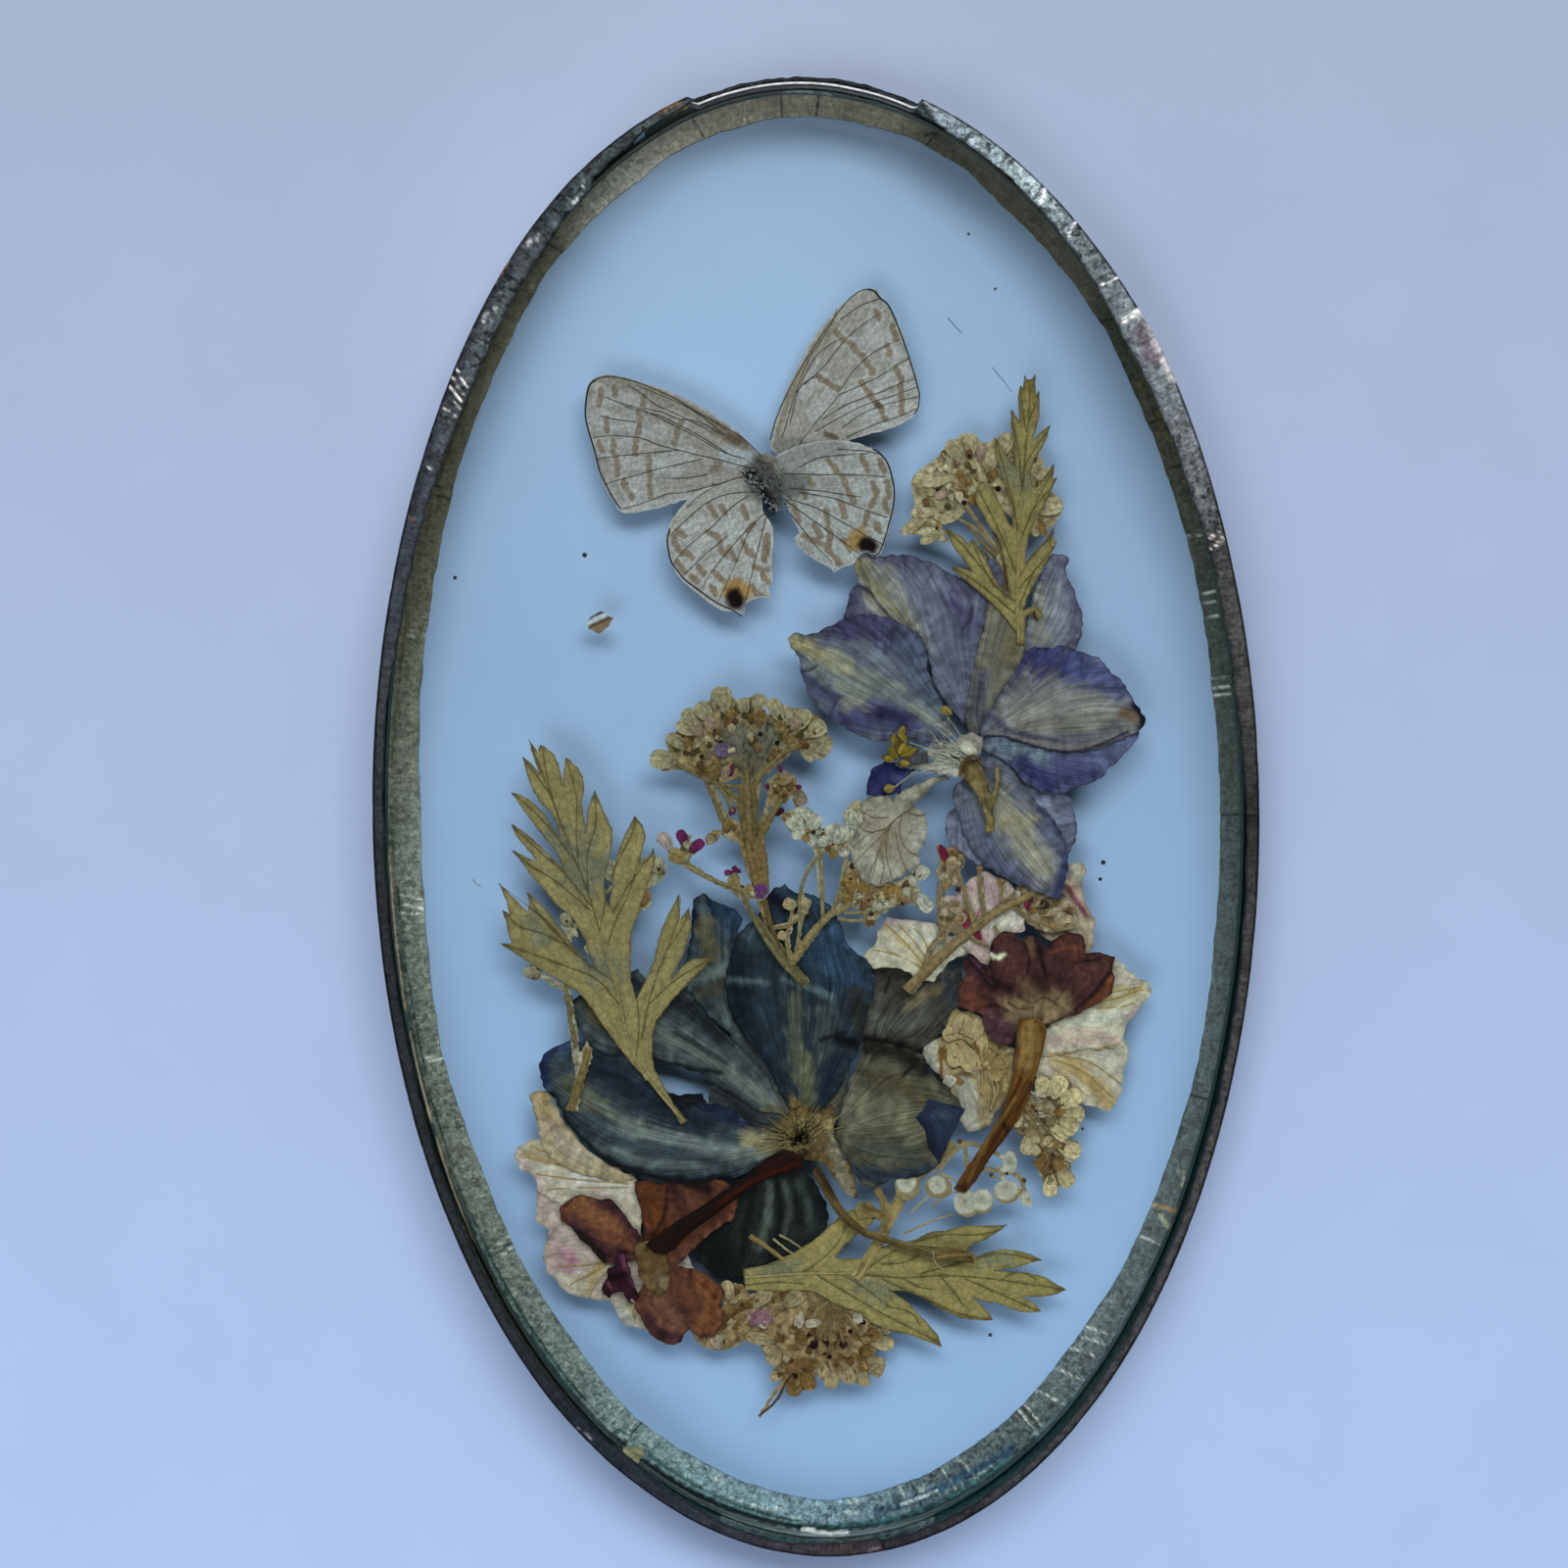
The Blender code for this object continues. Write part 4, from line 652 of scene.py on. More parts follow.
def make_room():
    """The room's light: dim overhead, brighter low down towards the window, as an S-shaped step
    along y, and at both sides, as 0.22 x squared."""
    world = bpy.data.worlds.new("room")
    world.use_nodes = True
    tree = world.node_tree
    way = tree.nodes.new("ShaderNodeSeparateXYZ")
    tree.links.new(tree.nodes.new("ShaderNodeTexCoord").outputs["Generated"], way.inputs[0])
    window_side = tree.nodes.new("ShaderNodeMapRange")
    window_side.interpolation_type = "SMOOTHSTEP"
    for index, value in enumerate((0.22, 0.75, 0.015, 0.55)):
        window_side.inputs[index + 1].default_value = value
    tree.links.new(way.outputs["Y"], window_side.inputs[0])
    side = tree.nodes.new("ShaderNodeMath")
    side.operation = "MULTIPLY"
    tree.links.new(way.outputs["X"], side.inputs[0])
    tree.links.new(way.outputs["X"], side.inputs[1])
    both = tree.nodes.new("ShaderNodeMath")
    both.operation = "MULTIPLY_ADD"
    both.inputs[1].default_value = 0.22
    tree.links.new(side.outputs[0], both.inputs[0])
    tree.links.new(window_side.outputs[0], both.inputs[2])
    back = tree.nodes["Background"]
    back.inputs[0].default_value = (0.90, 0.95, 1.0, 1)
    tree.links.new(both.outputs[0], back.inputs[1])
    bpy.context.scene.world = world


def make_stage():
    """A pale sheet below, with painted light on it, wide soft light from the top, and the camera
    straight above.
    """
    bpy.ops.mesh.primitive_plane_add(size=3)
    floor = bpy.context.object
    floor.name = "floor"
    nodes = Nodes("pale_paper")
    fleck = nodes.noise(nodes.here(), scale=60, detail=5)
    along = nodes.add("SeparateXYZ", {0: nodes.here()}).outputs["Y"]
    paper = nodes.mix(nodes.span(along, 0, 1, -0.08, 0.08), FLOOR_NEAR, FLOOR_FAR)
    # Painted light: the sheet is painted up to a fifth brighter under the upper part of the frame,
    # as if more light fell there
    away = nodes.add("VectorMath", {0: nodes.here(), 1: (-0.008, 0.052, 0)},
                     operation="DISTANCE").outputs["Value"]
    paper = nodes.times(paper, nodes.span(away, 1.2, 1.0, 0.008, 0.042))
    nodes.set(Base_Color=nodes.times(paper, nodes.span(fleck, 0.98, 1.02)), Roughness=0.9)
    floor.data.materials.append(nodes.finish)

    camera = bpy.data.cameras.new("camera")
    camera.sensor_width = 36
    camera.lens = CAMERA_LENS
    camera.clip_start = 0.01
    holder = bpy.data.objects.new("camera", camera)
    holder.location = CAMERA_PLACE
    bpy.context.scene.collection.objects.link(holder)
    bpy.context.scene.camera = holder
    bpy.context.scene.view_settings.view_transform = "Standard"

    window("window", (0.12, 0.64, 0.93), (0, 0, 0), (1.3, 0.4), 10.3, (1.0, 0.99, 0.97))
    window("room", (-0.35, -0.6, 0.85), (0, 0, 0), (0.9, 0.5), 4.6, (0.95, 0.97, 1.0))
    make_room()


# ---- Rim: panes and foil ----

def rim_line(angle, inset):
    """The hand-cut oval x = a cos t - lean (sin t + sin^3 t) / 2, y = b sin t, moved inwards by
    inset along its normal."""
    sine, cosine = np.sin(angle), np.cos(angle)
    x = WIDTH / 2 * cosine - LEAN * (sine + sine ** 3) / 2
    y = LENGTH / 2 * sine
    along = np.stack((-WIDTH / 2 * sine - LEAN * (cosine + 3 * sine ** 2 * cosine) / 2,
                      LENGTH / 2 * cosine))
    along /= np.hypot(*along)
    return x - inset * along[1], y + inset * along[0]


def glass_finish():
    """Clear float glass, faintly green; light for the pieces below passes straight through."""
    nodes = Nodes("clear_glass")
    nodes.set(Base_Color=(0.965, 1.0, 1.0, 1), Roughness=0.0, IOR=1.5)
    nodes.shader.inputs["Transmission Weight"].default_value = 1.0
    through = nodes.add("BsdfTransparent", {"Color": (0.955, 0.995, 1.0, 1)})
    ray = nodes.add("LightPath").outputs
    onward = nodes.add("Math", {0: ray["Is Shadow Ray"], 1: ray["Is Diffuse Ray"]},
                       operation="MAXIMUM")
    either = nodes.add("MixShader", {0: onward.outputs[0],
                                     1: nodes.shader.outputs[0], 2: through.outputs[0]})
    output = nodes.tree.nodes["Material Output"]
    nodes.tree.links.new(either.outputs[0], output.inputs["Surface"])
    return nodes.finish


def cut_edge_finish():
    """The panes' cut edge: dull and dark, with small chips."""
    nodes = Nodes("cut_edge")
    chips = nodes.noise(nodes.here(), scale=1100, detail=4, roughness=0.7)
    colour = nodes.times(nodes.tint(), nodes.span(chips, 0.55, 1.5))
    nodes.set(Base_Color=colour, Roughness=nodes.span(chips, 0.25, 0.5))
    nodes.bump(chips, 0.06)
    return nodes.finish


def foil_finish(name, fine, lustre):
    """Soft foil tape: dull metal, creased across its width with painted light and shade along the
    creases, stained in blotches, and painted with small lit and shaded facets and bright glints,
    as strongly as the edge attribute says."""
    nodes = Nodes(name)
    creases = nodes.noise(nodes.flow(0.55, 2.2), detail=5, roughness=0.65, distortion=0.8)
    dents = nodes.noise(nodes.flow(0.9, 0.5), detail=2)
    specks = nodes.noise(nodes.here(), scale=fine, detail=4, roughness=0.7)
    stain = nodes.noise(nodes.here(), scale=420, detail=6, roughness=0.7)
    bent = nodes.add("TexNoise", {"Vector": nodes.here(), "Scale": fine / 2}).outputs["Color"]
    moved = nodes.add("MixRGB", {0: 0.0005, 1: nodes.here(), 2: bent}, blend_type="ADD")
    cells = nodes.add("TexVoronoi", {"Vector": moved.outputs[0], "Scale": fine * 0.7})
    facet = nodes.add("SeparateXYZ", {0: cells.outputs["Color"]}).outputs["X"]
    amount = nodes.add("Attribute", attribute_name="edge").outputs["Fac"]
    # Painted light: facets of random brightness and bright glints, standing in for light off
    # crinkled foil
    facet_light_and_glints = nodes.sum(
        nodes.span(facet, -0.8, 0.6, 0, 1), nodes.span(specks, -0.2, 1.5, 0.45, 0.72))
    facet_light_factor = nodes.sum(nodes.product(amount, facet_light_and_glints), 1.0)
    colour = nodes.times(nodes.tint(), nodes.span(stain, 0.8, 1.2))
    # Painted light and shade along the creases
    colour = nodes.times(colour, nodes.span(creases, 0.8, 1.25))
    colour = nodes.times(colour, nodes.add("Math", {0: facet_light_factor, 1: 0.12},
                                           operation="MAXIMUM").outputs[0])
    nodes.set(Base_Color=colour, Metallic=lustre, Roughness=nodes.span(creases, 0.28, 0.5))
    nodes.shader.inputs["Specular IOR Level"].default_value = 0.08
    height = nodes.sum(creases, nodes.product(dents, 1.6))
    nodes.bump(nodes.sum(height, nodes.product(specks, 0.4)), 0.10, 1.0)
    return nodes.finish


# Tables of the rim: degrees round it, and the value there. The tints were fitted by comparing the
# foil's mean colours round the rim in a picture with those in the photograph, so they carry
# painted light as well as the foil's own colour.
FRONT_FLAPS = (            # width of the front fold
    (0, 1.4), (5, 1.7), (10, 1.9), (22, 2.05), (26, 2.4), (30, 2.5), (38, 2.85), (41, 2.9),
    (44, 2.6), (52, 2.15), (60, 1.9), (70, 1.9), (74, 1.5), (105, 0.9), (112, 1.2), (117, 1.5),
    (119.6, 1.5), (121, 2.3), (123.8, 2.3), (124.6, 1.8), (126.5, 2.4), (136, 2.5), (146, 2.4),
    (152, 2.1), (158, 1.8), (166, 1.6), (172, 1.2), (195, 1.2), (220, 1.2), (232, 1.5), (243, 1.8),
    (249, 1.6), (256, 1.25), (262, 1.15), (268, 1.4), (276.5, 1.7), (277.5, 1.2), (300, 1.05),
    (330, 1.1), (345, 1.15), (360, 1.4),
)
BACK_FLAPS = (             # width of the rear fold
    (0, 2.6), (10, 2.65), (20, 2.4), (37, 2.55), (43, 2.2), (55, 2.5), (60, 2.7), (66, 2.2),
    (75, 2.3), (80, 2.65), (90, 2.7), (100, 2.95), (110, 2.8), (115, 3.1), (120, 2.85), (130, 2.4),
    (140, 2.75), (150, 2.7), (160, 3.1), (170, 3.35), (180, 3.9), (190, 3.75), (200, 3.25),
    (210, 3.8), (220, 3.7), (230, 4.0), (240, 3.5), (250, 4.0), (260, 4.0), (270, 3.75),
    (280, 4.1), (295, 4.1), (300, 3.85), (310, 3.8), (320, 3.1), (330, 2.8), (340, 2.4),
    (350, 2.65), (360, 2.6),
)
BULGES = (                 # how far the foil stands out from the cut oval
    (0, 0.2), (10, 0.3), (20, 0.35), (28, 0.5), (38, 0.75), (43, 0.6), (50, 0.4), (60, 0.25),
    (72, 0.1), (104, 0.0), (112, 0.1), (122, 0.25), (132, 0.25), (142, 0.1), (150, 0), (190, 0),
    (205, 0.15), (232, 0.2), (240, 0.1), (246, 0), (290, 0), (360, 0.2),
)
FOLD_TINTS = (             # colour of the front fold, painted brighter where it catches the window at the upper right, and how crinkled it is: the strength of its painted facets and glints
    (0, (37, 43, 45, 40)), (10, (58, 66, 68, 50)), (20, (54, 61, 65, 60)), (25, (72, 84, 90, 90)),
    (30, (84, 98, 107, 70)), (36, (92, 109, 119, 50)), (44, (94, 113, 123, 60)),
    (48, (78, 95, 104, 85)), (54, (99, 122, 132, 90)), (58, (124, 152, 163, 85)),
    (66, (107, 132, 144, 90)), (72, (95, 118, 132, 90)), (74, (42, 55, 59, 40)),
    (105, (46, 57, 60, 80)), (118, (46, 59, 65, 80)), (122, (50, 66, 74, 85)),
    (128, (50, 62, 70, 80)), (140, (64, 78, 86, 80)), (150, (55, 67, 76, 65)),
    (158, (47, 58, 70, 45)), (170, (45, 56, 63, 40)), (185, (34, 42, 47, 35)),
    (215, (33, 41, 45, 30)), (235, (28, 38, 48, 25)), (252, (37, 47, 60, 30)),
    (265, (50, 53, 63, 45)), (272, (54, 55, 61, 50)), (279, (36, 39, 49, 45)),
    (300, (53, 60, 67, 45)), (330, (58, 64, 68, 50)), (350, (56, 62, 66, 50)),
    (360, (37, 43, 45, 40)),
)
REAR_TINTS = (             # colour of the rear fold's sticky side, its own beige and grey painted lighter along the top against the rim's shadow there, and how crinkled it is: the strength of its painted facets and glints
    (0, (80, 94, 94, 35)), (10, (77, 88, 85, 30)), (20, (76, 84, 79, 40)), (30, (85, 86, 74, 40)),
    (43, (74, 78, 71, 40)), (47, (106, 107, 93, 25)), (66, (109, 111, 98, 20)),
    (71, (96, 97, 84, 30)), (76, (163, 162, 146, 25)), (95, (165, 164, 150, 27)),
    (110, (176, 177, 166, 35)), (120, (167, 171, 163, 40)), (128, (110, 111, 97, 30)),
    (150, (97, 97, 84, 30)), (158, (100, 100, 85, 35)), (168, (108, 113, 102, 45)),
    (185, (125, 136, 130, 50)), (205, (118, 128, 122, 55)), (222, (122, 133, 129, 60)),
    (240, (132, 158, 162, 60)), (255, (140, 172, 186, 65)), (272, (136, 168, 188, 68)),
    (288, (90, 106, 114, 70)), (300, (92, 105, 108, 66)), (312, (104, 116, 122, 64)),
    (318, (102, 115, 119, 45)), (335, (92, 104, 107, 40)), (350, (85, 97, 101, 40)),
    (360, (80, 94, 94, 35)),
)
FOLD_PLEATS = (21.9, 29.2, 42.4, 46.2, 52.4, 57.6, 67.6, 121, 134, 139.5, 143.6, 144.4, 145.1,
               145.8, 146.5, 156.8, 276.9)
REAR_PLEATS = (            # where the rear fold is pleated, each pleat also painted with a pale line as a highlight: degrees at its outer and inner side
    (9.6, 9.7), (10.2, 10.4), (10.9, 11.0), (16.0, 16.2), (17.2, 17.5), (18.0, 18.2), (22.8, 23.2),
    (97.5, 98.6), (114.6, 113.6), (116.0, 114.6), (165.6, 165.3), (186.5, 187.4), (187.2, 188.2),
    (188.0, 188.5), (200.0, 199.8), (200.5, 200.3), (217.9, 217.3), (218.9, 218.2), (238.9, 238.5),
    (241.1, 240.6), (281.8, 281.2), (288.4, 287.9), (291.5, 290.6), (300.2, 300.7), (301.1, 301.8),
    (304.6, 303.8), (308.0, 307.0), (310.8, 309.9), (312.3, 311.4), (313.4, 312.6), (323.3, 323.0),
)
REAR_FOLD_SHADES = (             # folds across it, painted only as dark lines: painted shade
    (29.0, 29.2), (33.5, 33.3), (43.4, 44.6), (71.2, 72.4), (87.4, 87.8), (92.5, 92.7),
    (104.8, 104.2), (127.5, 127.0), (152.8, 152.5), (153.7, 153.4), (218.4, 217.8), (241.6, 241.3),
    (283.4, 283.0), (300.7, 301.3), (336.6, 336.6),
)
BLACK, TEAL, MIST = (9, 24, 29), (26, 55, 58), (110, 150, 155)
# Strokes: colour, width in millimetres, strength, and a path of degrees round the rim and
# millimetres in from its outer edge, as seen from straight above. The white and near-white
# strokes are painted highlights and glints, on pleats and facets and along the panes' edges, and
# the thin dark strokes on pleats are painted shade in their furrows.
FOLD_MARKS = (
    ((28, 37, 45), 0.9, 0.8, ((122, 0.5), (132, 0.45), (142, 0.5), (157, 0.45))),
    ((205, 210, 210), 0.16, 1, ((21.2, 1.9), (21.9, 0.3))),
    ((200, 205, 205), 0.12, 1, ((22.0, 1.8), (22.5, 0.5))),
    ((50, 50, 48), 0.2, 0.8, ((29.2, 2.0), (29.2, -0.2))),
    ((165, 175, 184), 0.8, 0.9, ((35.6, 0.4), (42.0, -0.1))),
    ((84, 86, 100), 1.5, 0.95, ((37.8, 1.3), (40.8, 1.1))),
    ((245, 250, 250), 0.45, 1, ((42.2, 2.1), (42.5, -0.3))),
    ((60, 66, 66), 0.15, 0.9, ((46.9, 2.0), (46.6, 0.0))),
    ((220, 232, 236), 0.16, 1, ((46.2, 1.9), (45.9, 0.1))),
    ((70, 80, 84), 1.2, 0.5, ((48.4, 1.2), (51.2, 1.0))),
    ((225, 238, 242), 0.18, 1, ((52.0, 1.8), (52.6, 0.2))),
    ((52, 60, 62), 0.2, 0.9, ((52.9, 1.8), (53.2, 0.0))),
    ((235, 245, 248), 0.35, 0.8, ((56.4, 1.5), (57.2, 0.3))),
    ((30, 38, 40), 0.28, 1, ((57.2, 1.8), (57.8, -0.2))),
    ((30, 38, 40), 0.16, 1, ((67.3, 1.9), (67.3, 0.0))),
    ((30, 38, 40), 0.16, 1, ((67.9, 1.9), (67.9, 0.0))),
    ((34, 48, 52), 0.6, 1, ((72.0, 1.8), (74.6, 0.1))),
    ((120, 140, 152), 0.25, 0.9, ((72.0, 0.6), (73.8, 0.3))),
    ((150, 168, 175), 0.2, 1, ((119.8, 0.7), (121.5, 1.6), (123.4, 2.0))),
    ((24, 30, 30), 0.25, 1, ((119.0, 0.4), (120.8, 1.3), (123.0, 1.6))),
    ((96, 78, 56), 0.3, 0.9, ((106, 0.4), (109, 0.3))),
    ((96, 78, 56), 0.3, 0.9, ((131.8, 0.1), (134.6, 0.1))),
    ((34, 40, 42), 0.35, 0.8, ((125.0, 1.4), (125.4, 0.0))),
    ((150, 168, 176), 0.3, 0.8, ((128.0, 1.4), (130.0, 0.6))),
    ((155, 170, 178), 0.25, 0.8, ((136.5, 1.2), (138.2, 0.8))),
    ((32, 38, 40), 0.2, 0.8, ((139.2, 1.8), (139.7, 0.4))),
    ((200, 212, 218), 0.12, 1, ((143.2, 0.4), (144.3, 2.0))),
    ((210, 222, 226), 0.12, 1, ((144.0, 0.3), (145.0, 2.1))),
    ((215, 226, 230), 0.12, 1, ((144.8, 0.4), (145.7, 2.1))),
    ((215, 226, 230), 0.12, 1, ((145.6, 0.6), (146.3, 2.1))),
    ((200, 212, 218), 0.14, 1, ((146.8, 0.9), (147.0, 2.0))),
    ((26, 32, 34), 0.12, 1, ((143.6, 0.4), (144.7, 2.0))),
    ((26, 32, 34), 0.12, 1, ((144.4, 0.3), (145.3, 2.1))),
    ((26, 32, 34), 0.12, 1, ((145.2, 0.4), (146.0, 2.1))),
    ((190, 205, 210), 0.25, 1, ((152.0, 1.25), (152.1, 0.95))),
    ((62, 52, 46), 0.25, 0.9, ((156.2, 0.2), (157.0, 1.5))),
    ((120, 130, 142), 0.08, 0.8, ((235.8, 0.4), (236.8, 0.6), (238.2, 0.45))),
    ((110, 100, 112), 0.3, 0.7, ((275.2, 0.4), (276.6, 0.6))),
    ((24, 24, 28), 0.25, 1, ((276.9, 1.5), (277.2, 0.1))))
REAR_MARKS = (
    ((185, 172, 150), 0.22, 1, ((183, 1.6), (195.6, 1.6))),
    ((185, 172, 150), 0.22, 1, ((197.6, 1.65), (205.2, 1.6))),
    ((172, 160, 138), 0.2, 1, ((206.6, 1.6), (216, 1.5))),
    (BLACK, 0.14, 0.9, ((178, 1.85), (218, 1.8))),
    ((84, 98, 92), 0.2, 0.9, ((180, 2.05), (216, 2.0))),
    (TEAL, 0.22, 0.9, ((186, 2.3), (240, 2.35))),
    ((86, 82, 72), 0.25, 0.8, ((216, 1.4), (240, 1.5))),
    (BLACK, 0.5, 1, ((214, 1.85), (226, 1.9), (240, 2.05))),
    ((92, 122, 122), 0.14, 1, ((214, 2.25), (228, 2.5), (240, 2.75))),
    (TEAL, 0.16, 1, ((214, 2.45), (240, 2.92))),
    ((130, 145, 140), 0.14, 0.9, ((214, 2.65), (240, 3.1))),
    ((104, 124, 130), 0.6, 0.95, ((256, 1.75), (266, 1.95), (276, 1.95), (284, 1.7))),
    (BLACK, 0.95, 1, ((240, 2.15), (250, 2.4), (258, 2.65), (268, 2.7))),
    (MIST, 0.14, 1, ((240, 2.9), (256, 3.05), (272, 3.15))),
    (TEAL, 0.18, 0.8, ((240, 3.15), (272, 3.4))),
    ((196, 222, 228), 0.16, 1, ((243.5, 3.5), (252, 3.7), (262, 3.85))),
    ((72, 106, 112), 0.14, 0.7, ((240, 3.35), (262, 3.6))),
    ((18, 46, 54), 0.85, 1, ((268, 2.7), (276, 2.7), (284, 2.4), (292, 2.05), (303, 1.8))),
    ((66, 92, 92), 0.12, 0.8, ((272, 1.6), (286, 1.6))),
    ((120, 150, 150), 0.12, 0.9, ((268, 1.7), (271, 1.8))),
    ((58, 104, 112), 0.4, 0.9, ((270, 3.0), (284, 2.85), (296, 2.6))),
    ((48, 82, 112), 0.9, 0.85, ((277, 3.9), (284, 4.0), (290, 3.9), (297, 3.1))),
    ((222, 236, 240), 0.14, 1, ((269, 3.9), (274, 4.0), (280, 4.05), (286, 3.85))),
    ((235, 245, 248), 0.25, 1, ((272.2, 4.3), (274.6, 4.25))),
    ((190, 214, 220), 0.2, 1, ((265, 3.5), (266, 3.5))),
    ((150, 182, 192), 0.1, 1, ((287, 3.35), (293, 3.05), (300, 2.75))),
    ((44, 70, 74), 0.3, 0.9, ((300, 1.8), (320, 1.55))),
    ((98, 124, 136), 0.4, 0.7, ((300, 2.35), (320, 2.1))),
    ((30, 54, 58), 0.16, 0.9, ((320, 1.5), (345, 1.55), (359.9, 1.75))),
    ((205, 216, 222), 0.12, 0.9, ((258.2, 1.7), (259.5, 1.65))),
    ((205, 216, 222), 0.14, 0.9, ((261.2, 1.65), (264, 1.6))),
    ((205, 216, 222), 0.3, 0.95, ((266.4, 2.5), (268, 2.35), (270, 2.2), (272.5, 2.2))),
    ((250, 252, 252), 0.18, 1, ((266.6, 2.65), (268.2, 2.5))),
    ((42, 60, 62), 0.75, 0.95, ((70, 1.7), (80, 1.7), (87, 1.65))),
    ((62, 74, 75), 0.75, 0.95, ((86, 1.65), (96, 1.6), (106, 1.55))),
    ((76, 84, 82), 0.6, 0.9, ((105, 1.6), (112, 1.75), (120, 1.8))),
    ((30, 38, 38), 0.2, 0.8, ((105, 1.35), (112, 1.5), (118, 1.7))),
    ((160, 182, 190), 0.14, 1, ((86.0, 2.0), (88.5, 1.95), (92, 1.95))),
    ((150, 192, 220), 0.4, 1, ((111.5, 1.35), (112.7, 1.25))),
    ((60, 60, 50), 0.5, 0.5, ((46, 2.1), (60, 1.9), (71, 2.1))),
    ((34, 34, 28), 0.3, 0.8, ((71.0, 2.0), (72.6, 3.2))),
    ((50, 50, 40), 0.6, 0.7, ((126, 2.2), (140, 2.3), (152, 2.2))),
    ((128, 112, 62), 0.18, 0.8, ((31.5, 2.8), (34, 2.7))),
    ((128, 112, 62), 0.18, 0.8, ((36, 3.0), (37.2, 3.1))),
    ((150, 128, 70), 0.14, 0.8, ((105.2, 1.0), (109, 0.9))),
    ((84, 80, 58), 0.3, 0.7, ((164, 2.1), (176, 1.9))),
    ((172, 146, 100), 0.4, 0.9, ((326.3, 4.3), (326.6, 1.9))),
    ((176, 182, 156), 0.45, 0.9, ((325.0, 2.1), (325.6, 3.1))),
    ((166, 172, 150), 0.3, 0.9, ((328.8, 2.1), (330.0, 2.3))),
    ((190, 205, 205), 0.3, 1, ((283.6, 4.9), (284.4, 4.6))),
    ((205, 218, 218), 0.35, 1, ((273.2, 5.4), (274.4, 5.3))),
    ((190, 204, 204), 0.3, 1, ((253, 5.1), (254.5, 4.8))),
    ((200, 212, 212), 0.3, 1, ((262.0, 4.3), (263.6, 4.35))),
    ((180, 194, 194), 0.25, 1, ((232.0, 4.6), (233.0, 4.9))))


def around(angle, table):
    """Values from a table of (degrees, value), with straight lines between."""
    degrees = np.array([row[0] for row in table], float)
    values = np.array([row[1] for row in table], float).reshape(len(table), -1)
    at = np.degrees(angle) % 360
    return np.stack([np.interp(at, degrees, column) for column in values.T], axis=-1)


def rim_length(degrees):
    """How far round the rim a place is, in millimetres."""
    angle = np.linspace(0, 2 * np.pi, 1441)
    x, y = rim_line(angle, 0)
    length = np.concatenate(([0], np.cumsum(np.hypot(np.diff(x), np.diff(y)))))
    return np.interp(degrees, np.degrees(angle), length)


def places_seen(angle, inset, height):
    """Places on the rim as they look from above: length round it, and how far in. To the inset
    comes the depth times the slope of the sight line, less where that runs through glass."""
    x, y = rim_line(angle, 0)
    slope = np.hypot(x + 3.16, y - 3.085) / 205
    depth = np.interp(height, (0.25, 2.3, 5.15, 7.4), (4.75, 3.8, 1.4, 0.0))
    length = rim_length(np.degrees(angle))
    shape = np.broadcast_shapes(inset.shape, height.shape)
    far = inset + slope[:, None] * depth
    return np.stack((np.broadcast_to(length[:, None], shape), far), axis=-1).reshape(-1, 2)


def streaked(tint, places, marks):
    """The tints with soft strokes over them, none of them reaching past its own width."""
    uneven = waves(places, 0.8, 21, 20)
    for colour, width, strength, path in marks:
        path = np.array(path, float)
        path[:, 0] = rim_length(path[:, 0])
        near = (np.abs(places[:, 0] - path[:, 0].mean()) < np.ptp(path[:, 0]) / 2 + 1)
        distance = from_path(places[near], path)[0] / (width / 2) * (1 + 0.3 * uneven[near])
        share = (strength * (1 - smooth(0.4, 1.5, distance)))[:, None]
        tint[near] = tint[near] * (1 - share) + seen(*colour) * share
    return tint


def torn_share(angle):
    """1 along the torn stretch, 0 elsewhere."""
    degrees = np.degrees(angle)
    return smooth(TORN[0] - 0.25, TORN[0] + 0.25, degrees) * (
        1 - smooth(TORN[1] - 0.6, TORN[1] + 0.6, degrees))


